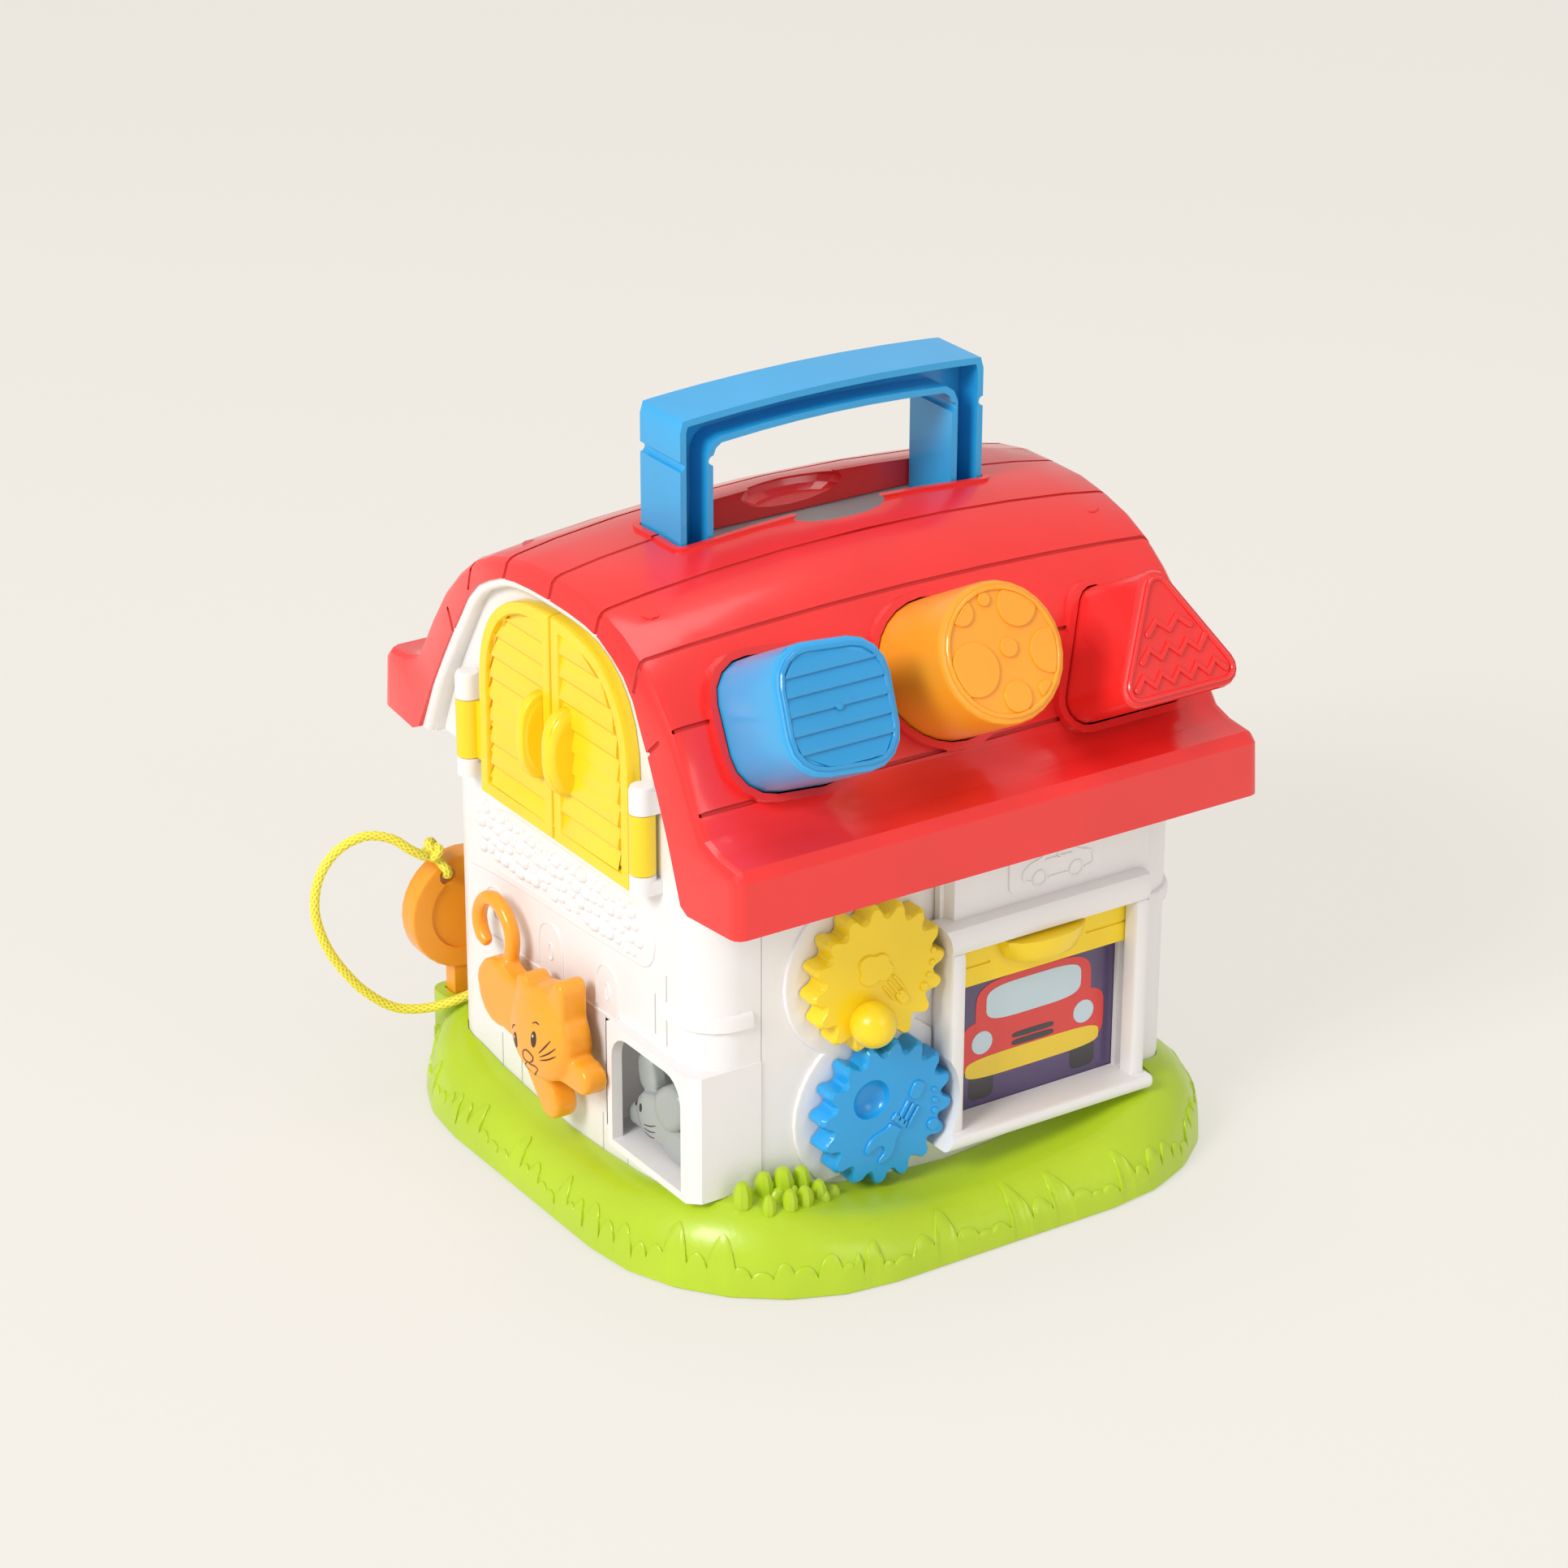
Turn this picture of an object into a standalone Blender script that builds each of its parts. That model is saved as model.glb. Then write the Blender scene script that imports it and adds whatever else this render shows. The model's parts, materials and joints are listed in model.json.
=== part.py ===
"""Activity house toy for toddlers, in metres, +Z up, standing on z = 0.

+X runs along the ridge, -Y is the garage side, -X is the gable with the shutters.
Every piece is drawn in place and its origin is then put on its own joint."""

import math

import bmesh
import bpy
import numpy as np
from mathutils import Matrix, Vector

# Clearances and common walls
GAP = 0.0003
RUNNING_GAP = 0.0005
WALL = 0.0025
OVERRUN = 0.004
SINK = 0.0006

# Green base tray
BASE_HALF_X = 0.122
BASE_HALF_Y = 0.1235
BASE_CORNER = 0.076
BASE_INSET = 0.018
BASE_FOOT_INSET = 0.006
BASE_PLATEAU_INSET = 0.046
BASE_CORNER_Z = 0.030
BASE_FRONT_Z = 0.016
BASE_SIDE_Z = 0.0198
BASE_CORNER_SHARE = 0.82
BASE_DIP_POWER = 1.5
BASE_FLOOR_Z = 0.0135
BASE_UNDER_Z = 0.011
BASE_SIDE_SHARES = ((0, 0), (0.02, 0.22), (0.1, 0.48), (0.26, 0.7), (0.5, 0.87), (0.76, 0.965), (1, 1))
LEAF_X = -0.0745
LEAF_Y = -0.0945
LEAF_LIFT_SHARE = 0.3
LEAF_SPREAD_X = 0.0145
LEAF_SPREAD_Y = 0.008
LEAF_RADIUS = 0.0032
LEAF_HEIGHT = 0.0062
LEAF_SHARES = (
    (-1, 0.3, 1.1), (-0.55, -0.5, 0.8), (-0.3, 0.6, 1.1), (0, -0.6, 0.9), (0.2, 0.5, 1.3),
    (0.45, -0.5, 0.9), (0.75, 0.6, 1.2), (1, -0.1, 0.9),
)
POST_X = 0.088
POST_Y = 0.070
POST_RADIUS = 0.004
POST_TOP_Z = 0.0290
EDGE = 0.0006

# White body
BODY_HALF_X = 0.101
BODY_HALF_Y = 0.085
BODY_CORNER = 0.016
SEAM_X = 0.0768
EAVE_Z = 0.1442
RING_Z = 0.091
RING_HEIGHT = 0.0055
RING_PROUD = 0.0016
RING_LEFT_X = 0.0808
RING_RIGHT_X = 0.0852
RING_END_Y = 0.062
SOFFIT_X = 0.0962
HOOD_X = 0.1045
HOOD_WALL = 0.0022
HOOD_GAP = 0.0005
EAR_X = 0.090
EAR_Y = 0.038
EAR_Z = 0.2035
ROOF_SCREW_REACH = 0.011
BOSS_RADIUS = 0.0036

# Red roof, half profile from ridge to eave as (y, z), then how much of the crown each point takes
ROOF_HALF_LENGTH = 0.110
ROOF_END_X = 0.1078
ROOF_END_LEAN = 0.0026
ROOF_RIM_LEAN = 0.0041
ROOF_CROWN = 0.0088
ROOF_CROWN_REACH = 0.105
ROOF_THICKNESS = 0.0028
RIDGE_Z = 0.2290
EAVE_HALF_Y = 0.1175
EAVE_LIP_Z = 0.1420
ROOF_Y_SHARES = (0, 0.14, 0.26, 0.365, 0.458, 0.545, 0.635, 0.706, 0.765, 0.805, 0.872, 0.965, 0.994, 1)
ROOF_Z_SHARES = (1, 0.997, 0.969, 0.929, 0.868, 0.778, 0.655, 0.516, 0.382, 0.306, 0.276, 0.264, 0.225, 0)
CROWN_SHARES = (0.97, 0.95, 0.9, 0.75, 0.6, 0.45, 0.3, 0.2, 0.1, 0.05, 0, 0, 0, 0)
ROOF_STATION_SHARES = (0, 0.3, 0.56, 0.78)
SHOULDER_RADIUS = 0.0042
SHOULDER_ANGLES = tuple(math.radians(a) for a in (0, 30, 60, 90))

# Opening that the roof's gable edge leaves, half outline from the ridge down as (y, z)
GABLE_HALF_Y = 0.0915
GABLE_TOP_Z = 0.2210
GABLE_Y_SHARES = (0, 0.131, 0.251, 0.35, 0.443, 0.525, 0.596, 0.656, 0.716, 0.781, 0.852, 0.923, 0.954, 1)
GABLE_Z_SHARES = (1, 0.997, 0.987, 0.966, 0.919, 0.866, 0.782, 0.668, 0.561, 0.43, 0.278, 0.101, 0.024, 0)

# Handle, its slot in the ridge and the grey guide under it
HANDLE_HALF_X = 0.062
HANDLE_HALF_Y = 0.0127
HANDLE_TOP_Z = 0.279
HANDLE_CROWN = 0.0025
HANDLE_BAR = 0.0105
HANDLE_LEG = 0.013
HANDLE_FOOT_Z = 0.192
HANDLE_FOOT_HEIGHT = 0.004
HANDLE_FOOT_PROUD = 0.0022
HANDLE_RIM = 0.0024
HANDLE_WEB = 0.0034
HANDLE_CORNER = 0.004
HANDLE_PANEL_Z = 0.212
HANDLE_TOP_SHARES = (-1, -0.93, -0.8, -0.6, -0.3, 0, 0.3, 0.6, 0.8, 0.93, 1)
HANDLE_UNDER_SHARES = (0.93, 0.6, 0.3, 0, -0.3, -0.6, -0.93)
DETENT_DROP = 0.016
DETENT_RADIUS = 0.0018
SLOT_GAP = 0.0009
SLOT_CORNER = 0.002
SLOT_RIM = 0.0024
SLOT_RIM_PROUD = 0.0011
SCOOP_HALF_X = 0.021
SCOOP_HALF_Y = 0.0087
SCOOP_DEPTH = 0.0058
SCOOP_Z = 0.2352
GUIDE_Z = 0.2262
GUIDE_THICKNESS = 0.0022
GUIDE_SCREW_X = 0.0732
GUIDE_SCREW_REACH = 0.0035
SLEEVE_WALL = 0.0018
SCREW_HEAD_RADIUS = 0.0031
SCREW_HEAD_HEIGHT = 0.0021
SCREW_RADIUS = 0.0014

# Shape blocks and the sleeves that they stand in
BLOCK_TILT = math.radians(28)
SQUARE_X = -0.065
TRIANGLE_X = 0.0675
TRIANGLE_DROP = 0.0092
BLOCK_FACE_Y = -0.112
BLOCK_FACE_Z = 0.2068
CROWN_LIFT_SHARE = 1.2
SLOPE_SHARE = 0.1
BLOCK_OUT = 0.0395
BLOCK_IN = 0.0125
BLOCK_DRAFT = 0.0004
BLOCK_EDGE = 0.002
BLOCK_CLEARANCE = 0.0005
SLEEVE_THICKNESS = 0.0026
SLEEVE_RIM = 0.0018
SLEEVE_LIFT_SHARE = 0.75
SLEEVE_IN = 0.014
SQUARE_HALF = 0.0228
SQUARE_CORNER = 0.0142
SQUARE_TURN = math.radians(-5)
ROUND_RADIUS = 0.0247
TRIANGLE_RADIUS = 0.0205
TRIANGLE_CORNER = 0.0072

# Shutters on the left gable
SHUTTER_HALF_Y = 0.0495
SHUTTER_LOW_Z = 0.1325
SHUTTER_TOP_Z = 0.2155
SHUTTER_SPRING_Z = 0.169
SHUTTER_PLATE = 0.0028
SHUTTER_RIM = 0.0045
SHUTTER_RIM_PROUD = 0.0013
SHUTTER_SLATS = 6
SLAT_PROUD = 0.0011
GRIP_Y = 0.0092
GRIP_LOW_Z = 0.153
GRIP_HEIGHT = 0.032
GRIP_PROUD = 0.0105
GRIP_HALF = 0.0038
GRIP_STEPS = 8
GRIP_SHARES = ((-1, 0.74), (-0.72, 0.92), (-0.3, 1), (0.3, 1), (0.72, 0.92), (1, 0.74))
HINGE_Y = 0.0577
HINGE_RADIUS = 0.0046
HINGE_OUT = 0.0049
KNUCKLE_LOW_Z = 0.1435
KNUCKLE_HIGH_Z = 0.1652
CAP_LOW_Z = 0.1362
CAP_HIGH_Z = 0.1755
PIN_RADIUS = 0.0014
PIN_END = 0.0035
WINDOW_HALF_Y = 0.043
WINDOW_INSET = 0.0065
SHUTTER_LEAF_GAP = 0.0003
ARCH_POWER = 0.78
FRAME_WIDTH = 0.004
FRAME_PROUD = 0.0012
WINDOW_DEPTH = 0.005

# Cat and mouse on one slider behind the left gable
CAT_BACK = 0.0048
CAT_HEAD = (-0.0055, 0.0635)
CAT_HEAD_RADIUS = 0.0175
CAT_WIDE_SHARE = 1.06
EAR_DEPTH_SHARE = 0.82
CAT_EARS_SHARES = (
    ((-0.45, 0.55), (-0.66, 1.18), 0.42, 0.22),
    ((0.6, 0.45), (0.72, 0.75), 0.4, 0.25),
)
CAT_LIMBS_SHARES = (
    ((1.95, 0.02), (1.95, 0), 0.76, 0.7),
    ((1.8, 0), (0.3, -0.1), 0.62, 0.7),
    ((-0.6, -0.5), (-1.3, -0.53), 0.36, 0.32),
    ((0.45, -0.9), (-0.08, -1.55), 0.4, 0.36),
)
TAIL_SHARES = (
    (1.95, 0.5), (1.8, 0.95), (1.78, 1.35), (2.05, 1.7), (2.45, 1.84), (2.85, 1.7),
    (3.1, 1.3), (3.02, 0.9), (2.75, 0.72),
)
DOME_SHARES = ((0.96, 0.5), (0.8, 0.85), (0.45, 1))
CAT_HEAD_DEPTH = 0.0135
CAT_LIMB_DEPTH = 0.0095
TAIL_RADIUS = 0.003
STEM_RADIUS = 0.0036
STEM_Y = 0.004
STEM_Z = 0.060
CHASE_TRAVEL = 0.012
NICHE_PROUD = 0.0042
NICHE_LOW_Y = -0.0788
NICHE_HIGH_Y = -0.0345
NICHE_LOW_Z = 0.0318
NICHE_TOP_Z = 0.0735
NICHE_DEPTH = 0.0165
NICHE_FRAME = 0.003
NICHE_FRONT = 0.0006
NICHE_SIDE = 0.013
NICHE_CORNER = 0.0095
NICHE_SETBACK = 0.0008
MOUSE_SIZE = 0.016
MOUSE_LOBES_SHARES = (
    ((-0.3, -0.1), (0.1, -0.15), 0.6, 0.55, 0.8),
    ((0.35, -0.25), (0.85, -0.45), 0.42, 0.22, 0.7),
    ((0.35, 0.6), (0.42, 0.88), 0.36, 0.33, 0.55),
    ((-0.75, 0.4), (-0.95, 0.55), 0.5, 0.5, 1),
    ((-0.7, -0.42), (-1.05, -0.44), 0.4, 0.4, 0.75),
)
SLIDER_HALF = 0.008
SLIDER_JOG_Y = -0.0072
SLIDER_END_Y = 0.030
RAIL_LOW_Y = -0.0042
RAIL_HIGH_Y = 0.034
MOUSE_Y = -0.0475
MOUSE_Z = 0.046
MOUSE_DEPTH = 0.0092
MOUSE_STEM_Y = -0.052
SLIDER_THICKNESS = 0.0024

# Gears on the front wall
GEAR_TEETH = 16
GEAR_ROOT = 0.0229
GEAR_TIP = 0.02745
GEAR_THICKNESS = 0.0083
GEAR_EDGE = 0.0013
YELLOW_GEAR_X = -0.0355
YELLOW_GEAR_Z = 0.1005
BLUE_GEAR_X = -0.0315
BLUE_GEAR_Z = 0.0476
DISC_RADIUS = 0.0328
DISC_PROUD = 0.0014
DISC_LOW_Z = 0.0236
TOOTH_POWER = 0.7
TOOTH_STEPS = 8
KNOB_ANGLE = math.radians(-21.5)
DISH_ANGLE = math.radians(-44)
GEAR_SHAFT = 0.0046
GEAR_BORE = 0.005
WASHER_RADIUS = 0.0085
WASHER_THICKNESS = 0.0015
KNOB_RADIUS = 0.0082
KNOB_REACH = 0.0152
DISH_RADIUS = 0.0074
DISH_REACH = 0.0102
DISH_DEPTH = 0.0052

# Garage on the front wall
GARAGE_LOW_X = -0.0015
GARAGE_HIGH_X = 0.071
GARAGE_LOW_Z = 0.0335
GARAGE_HIGH_Z = 0.1008
POST_WIDTH = 0.0115
POST_INSET = 0.0055
POST_FOOT = 0.0015
SILL_HEIGHT = 0.0050
PLAQUE_X = 0.0185
PLAQUE_WIDTH = 0.040
PLAQUE_Z = 0.1165
PLAQUE_HEIGHT = 0.0155
PLAQUE_PROUD = 0.0008
DOOR_GRIP_RISE = 0.0064
DOOR_GROOVE_SHARES = (0.12, 0.3, 0.45, 0.6, 0.75, 0.9)
POST_PROUD = 0.0130
POST_STEP = 0.0035
LINTEL_HEIGHT = 0.0117
LINTEL_PROUD = 0.0133
HEADER_PROUD = 0.0078
HEADER_SLOPE = 0.0036
HEADER_TOP_DROP = 0.0009
SILL_PROUD = 0.0165
SILL_OVER = 0.003
SILL_END = 0.002
LINTEL_OVER = 0.0045
BAR_ROUNDING = 0.0018
DOOR_LOW_Z = 0.0846
DOOR_HEIGHT = 0.0582
DOOR_FORWARD = 0.0060
DOOR_THICKNESS = 0.0024
DOOR_OVER = 0.0032
DOOR_OVER_LEFT = 0.0006
DOOR_GRIP_X = 0.0335
DOOR_GRIP_HALF = 0.0165
DOOR_GRIP_PROUD = 0.0100
DOOR_GRIP_HEIGHT = 0.0090
DOOR_GRIP_SHARES = ((0, 0.8), (0.2, 0.93), (0.6, 1.03), (1, 1.08))
DOOR_GROOVE = 0.0005
CARD_THICKNESS = 0.0008
CARD_OVER = 0.0012

# Back door, its lock, the key in its socket and the key's rope
BACK_DOOR_HALF_X = 0.034
BACK_DOOR_LOW_Z = 0.036
BACK_DOOR_HIGH_Z = 0.112
BACK_DOOR_THICKNESS = 0.003
BACK_DOOR_CORNER = 0.010
LOCK_X = -0.022
LOCK_RADIUS = 0.0085
LOCK_PROUD = 0.005
LOCK_Z = 0.074
LOCK_BODY = 0.005
BACK_DOOR_OVER = 0.003
BACK_KNUCKLE = 0.0035
LATCH_REACH = 0.0195
LATCH_HALF = 0.0042
KEY_X = -0.0875
KEY_Y = 0.1
KEY_BOW_Z = 0.0625
KEY_BOW_RADIUS = 0.0230
KEY_THICKNESS = 0.0095
KEY_SHANK_HALF = 0.0058
KEY_SHANK_THICKNESS = 0.0068
KEY_RECESS = 0.0012
KEY_END_Z = 0.0115
KEY_HOLE_RADIUS = 0.0034
KEY_HOLE_DROP = 0.0175
SOCKET_WALL = 0.0042
SOCKET_CORNER = 0.0055
SOCKET_TOP_Z = 0.0290
KEY_PANEL_SHARE = 0.66
KEY_HOLE_ANGLE = math.radians(27.2)
KNOT_REACH = 0.0308
KNOT_FORWARD = 0.0048
KNOT_SIDE_SHARE = 1.1
LOOP_RADIAL = 0.0045
LOOP_Y = 0.0078
SOCKET_FLOOR_Z = 0.0085
ROPE_RADIUS = 0.0018
ROPE_STEP = 0.0074
KNOT_RADIUS = 0.0041
ROPE_ROUTE = (
    (-0.0600, 0.0795, 0.0400), (-0.0600, 0.0840, 0.0400), (-0.0608, 0.0876, 0.0396),
    (-0.0660, 0.0892, 0.0376), (-0.0740, 0.0886, 0.0348), (-0.0820, 0.0882, 0.0330),
    (-0.0900, 0.0884, 0.0320), (-0.0975, 0.0896, 0.0302), (-0.1060, 0.0935, 0.0280),
    (-0.1170, 0.0965, 0.0296), (-0.1285, 0.0980, 0.0380), (-0.1380, 0.0990, 0.0500),
    (-0.1450, 0.0995, 0.0635), (-0.1480, 0.0995, 0.0780), (-0.1455, 0.0990, 0.0900),
    (-0.1380, 0.0982, 0.0986), (-0.1280, 0.0966, 0.1018), (-0.1185, 0.0944, 0.0992),
    (-0.1116, 0.0928, 0.0936),
)
ROPE_ANCHOR = (-0.0600, 0.0853, 0.0400)

COLOURS = {
    "lime_plastic": ((0.42, 0.70, 0.07), 0.32),
    "white_plastic": ((0.88, 0.87, 0.88), 0.34),
    "red_plastic": ((0.82, 0.05, 0.04), 0.25),
    "blue_plastic": ((0.03, 0.30, 0.74), 0.3),
    "sky_plastic": ((0.08, 0.45, 0.90), 0.3),
    "yellow_plastic": ((0.92, 0.72, 0.06), 0.3),
    "orange_plastic": ((1.0, 0.34, 0.03), 0.3),
    "grey_plastic": ((0.42, 0.45, 0.43), 0.4),
    "printed_card": ((0.10, 0.06, 0.16), 0.3),
    "steel": ((0.55, 0.55, 0.56), 0.35),
    "yellow_rope": ((0.85, 0.75, 0.02), 0.75),
}


def material(slot):
    found = bpy.data.materials.get(slot)
    if found:
        return found
    colour, roughness = COLOURS[slot]
    made = bpy.data.materials.new(slot)
    made.use_nodes = True
    shader = made.node_tree.nodes["Principled BSDF"]
    shader.inputs["Base Color"].default_value = (*colour, 1)
    shader.inputs["Roughness"].default_value = roughness
    shader.inputs["Metallic"].default_value = 1 if slot == "steel" else 0
    return made


def new_object(name, mesh):
    made = bpy.data.objects.new(name, mesh)
    bpy.context.scene.collection.objects.link(made)
    return made


def from_bmesh(shape, name="piece"):
    """An object from a closed bmesh, its faces turned outwards."""
    bmesh.ops.recalc_face_normals(shape, faces=shape.faces)
    mesh = bpy.data.meshes.new(name)
    shape.to_mesh(mesh)
    shape.free()
    return new_object(name, mesh)


def skin(rings, name="piece"):
    """A closed body through rings of equal point counts, capped at both ends."""
    shape = bmesh.new()
    rows = [[shape.verts.new(point) for point in ring] for ring in rings]
    count = len(rows[0])
    for low, high in zip(rows, rows[1:]):
        for i in range(count):
            j = (i + 1) % count
            shape.faces.new((low[i], low[j], high[j], high[i]))
    shape.faces.new(rows[0])
    shape.faces.new(rows[-1])
    bmesh.ops.recalc_face_normals(shape, faces=shape.faces)
    bmesh.ops.triangulate(shape, faces=shape.faces)
    return from_bmesh(shape, name)


def place(axis, flat, along):
    """A point from two coordinates in a plane and one along the plane's normal axis."""
    first, second = flat
    return {"x": (along, first, second), "y": (first, along, second), "z": (first, second, along)}[axis]


def prism(outline, axis, low, high, edge=0):
    """An outline drawn out along an axis, with a chamfered rim of the given size at the high end."""
    sign = 1 if high > low else -1
    if edge:
        small = shrink(outline, edge)
        middle = shrink(outline, edge * (1 - math.sqrt(0.5)))
        levels = ((outline, low), (outline, high - sign * edge))
        levels += ((middle, high - sign * edge * (1 - math.sqrt(0.5))), (small, high))
    else:
        levels = ((outline, low), (outline, high))
    return skin([[place(axis, point, along) for point in ring] for ring, along in levels])


def shrink(outline, distance):
    """The outline moved inwards, each point along the bisector of its two sides."""
    points = np.array(outline, float)
    before = points - np.roll(points, 1, 0)
    after = np.roll(points, -1, 0) - points
    area = np.sum(points[:, 0] * np.roll(points[:, 1], -1) - points[:, 1] * np.roll(points[:, 0], -1))
    turn = 1 if area > 0 else -1

    def normals(sides):
        sides = sides / np.linalg.norm(sides, axis=1)[:, None]
        return np.stack([-sides[:, 1], sides[:, 0]], 1) * turn

    n1, n2 = normals(before), normals(after)
    bisector = n1 + n2
    bisector /= np.maximum(np.sum(bisector * n1, axis=1), 0.35)[:, None]
    return [tuple(p) for p in points + bisector * distance]


def rounded_rectangle(low_u, high_u, low_v, high_v, radius, steps=5):
    """Corner arcs of a rectangle, counter-clockwise from the high corner."""
    centres = (
        (high_u - radius, high_v - radius, 0),
        (low_u + radius, high_v - radius, 1),
        (low_u + radius, low_v + radius, 2),
        (high_u - radius, low_v + radius, 3),
    )
    points = []
    for u, v, quarter in centres:
        for i in range(steps + 1):
            angle = (quarter + i / steps) * math.pi / 2
            points.append((u + radius * math.cos(angle), v + radius * math.sin(angle)))
    return points


def circle(u, v, radius, count=32, start=0):
    angles = [start + 2 * math.pi * i / count for i in range(count)]
    return [(u + radius * math.cos(a), v + radius * math.sin(a)) for a in angles]


def capsule(a, b, radius, steps=7, end_radius=None):
    """Outline of a bar with round ends from a to b."""
    end_radius = end_radius or radius
    heading = math.atan2(b[1] - a[1], b[0] - a[0])
    points = []
    for centre, size, start in ((b, end_radius, heading - math.pi / 2), (a, radius, heading + math.pi / 2)):
        for i in range(steps + 1):
            angle = start + math.pi * i / steps
            points.append((centre[0] + size * math.cos(angle), centre[1] + size * math.sin(angle)))
    return points


def box(low, high, edge=0):
    shape = bmesh.new()
    bmesh.ops.create_cube(shape, size=1)
    middle = [(a + b) / 2 for a, b in zip(low, high)]
    bmesh.ops.scale(shape, verts=shape.verts, vec=[b - a for a, b in zip(low, high)])
    bmesh.ops.translate(shape, verts=shape.verts, vec=middle)
    if edge:
        bmesh.ops.bevel(shape, geom=shape.edges[:], offset=edge, segments=2, profile=0.5, affect="EDGES")
    return from_bmesh(shape)


def ellipsoid(centre, radii, segments=20, rings=12):
    shape = bmesh.new()
    bmesh.ops.create_uvsphere(shape, u_segments=segments, v_segments=rings, radius=1)
    bmesh.ops.scale(shape, verts=shape.verts, vec=radii)
    bmesh.ops.translate(shape, verts=shape.verts, vec=centre)
    return from_bmesh(shape)


def combine(target, tool, operation):
    """One exact Boolean, kept as the target's mesh; the tool goes."""
    tool.hide_render = True
    tool.display_type = "WIRE"
    step = target.modifiers.new(operation.title(), "BOOLEAN")
    step.operation = operation
    step.solver = "EXACT"
    step.object = tool
    graph = bpy.context.evaluated_depsgraph_get()
    mesh = bpy.data.meshes.new_from_object(target.evaluated_get(graph))
    target.modifiers.clear()
    target.data = mesh
    bpy.data.objects.remove(tool)
    return target


def join(target, *tools):
    for tool in tools:
        combine(target, tool, "UNION")
    return target


def cut(target, *tools):
    for tool in tools:
        combine(target, tool, "DIFFERENCE")
    return target


def copy_of(obj):
    return new_object(obj.name, obj.data.copy())


def finish(obj, name, slot, origin=(0, 0, 0), smooth=40):
    """Name, material, smooth shading, and the origin on the piece's own joint."""
    obj.name = name
    obj.data.name = name
    obj.data.materials.clear()
    obj.data.materials.append(material(slot))
    obj.data.transform(Matrix.Translation(-Vector(origin)))
    obj.location = origin
    obj.data.shade_smooth()
    obj.data.set_sharp_from_angle(angle=math.radians(smooth))
    return obj


def screw(name, x, y, head_z, tip_z, axis="z"):
    """A pan screw along an axis: its head outwards at head_z, its shank to tip_z."""
    sign = 1 if tip_z > head_z else -1
    neck = head_z + sign * SCREW_HEAD_HEIGHT
    head = prism(circle(x, y, SCREW_HEAD_RADIUS, 10), axis, head_z, neck)
    shank = prism(circle(x, y, SCREW_RADIUS, 6), axis, neck - sign * SINK, tip_z)
    return finish(join(head, shank), name, "steel")


def pillow(inset, arc_steps=6, side_steps=4):
    """Outline of the base at an inset, with points along its straight sides too."""
    points = rounded_rectangle(
        -BASE_HALF_X + inset, BASE_HALF_X - inset, -BASE_HALF_Y + inset, BASE_HALF_Y - inset,
        BASE_CORNER - inset, arc_steps,
    )
    arc = arc_steps + 1
    full = []
    for corner in range(4):
        full += points[corner * arc:(corner + 1) * arc]
        last, first = Vector(full[-1]), Vector(points[(corner + 1) * arc % len(points)])
        full += [tuple(last.lerp(first, i / side_steps)) for i in range(1, side_steps)]
    return full


def base_rims():
    """Height of the base's top edge round the outline: raised at the corners, dipped at the sides."""
    return [rim_height(x, y) for x, y in pillow(0)]


def rim_height(x, y):
    u, v = abs(x) / BASE_HALF_X, abs(y) / BASE_HALF_Y
    low = BASE_FRONT_Z if v > u else BASE_SIDE_Z
    rise = min(min(u, v) / BASE_CORNER_SHARE, 1) ** BASE_DIP_POWER
    return low + (BASE_CORNER_Z - low) * rise


def base_surface(x, y):
    """Height of the base's top side over a place, by its distance from the outline."""
    outline = np.array(pillow(0, 14, 12))
    low = np.roll(outline, -1, 0)
    side = low - outline
    share = ((np.array((x, y)) - outline) * side).sum(1) / (side ** 2).sum(1)
    near = outline + side * np.clip(share, 0, 1)[:, None]
    gap = np.linalg.norm(near - (x, y), axis=1)
    px, py = near[gap.argmin()]
    insets = [a * BASE_INSET for a, _ in BASE_SIDE_SHARES]
    return rim_height(px, py) * float(np.interp(gap.min(), insets, [b for _, b in BASE_SIDE_SHARES]))


def footprint(grow):
    return rounded_rectangle(
        -BODY_HALF_X - grow, BODY_HALF_X + grow, -BODY_HALF_Y - grow, BODY_HALF_Y + grow,
        BODY_CORNER + grow, 5,
    )


def post_places():
    return [(sx * POST_X, sy * POST_Y) for sx in (-1, 1) for sy in (-1, 1)]


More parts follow.
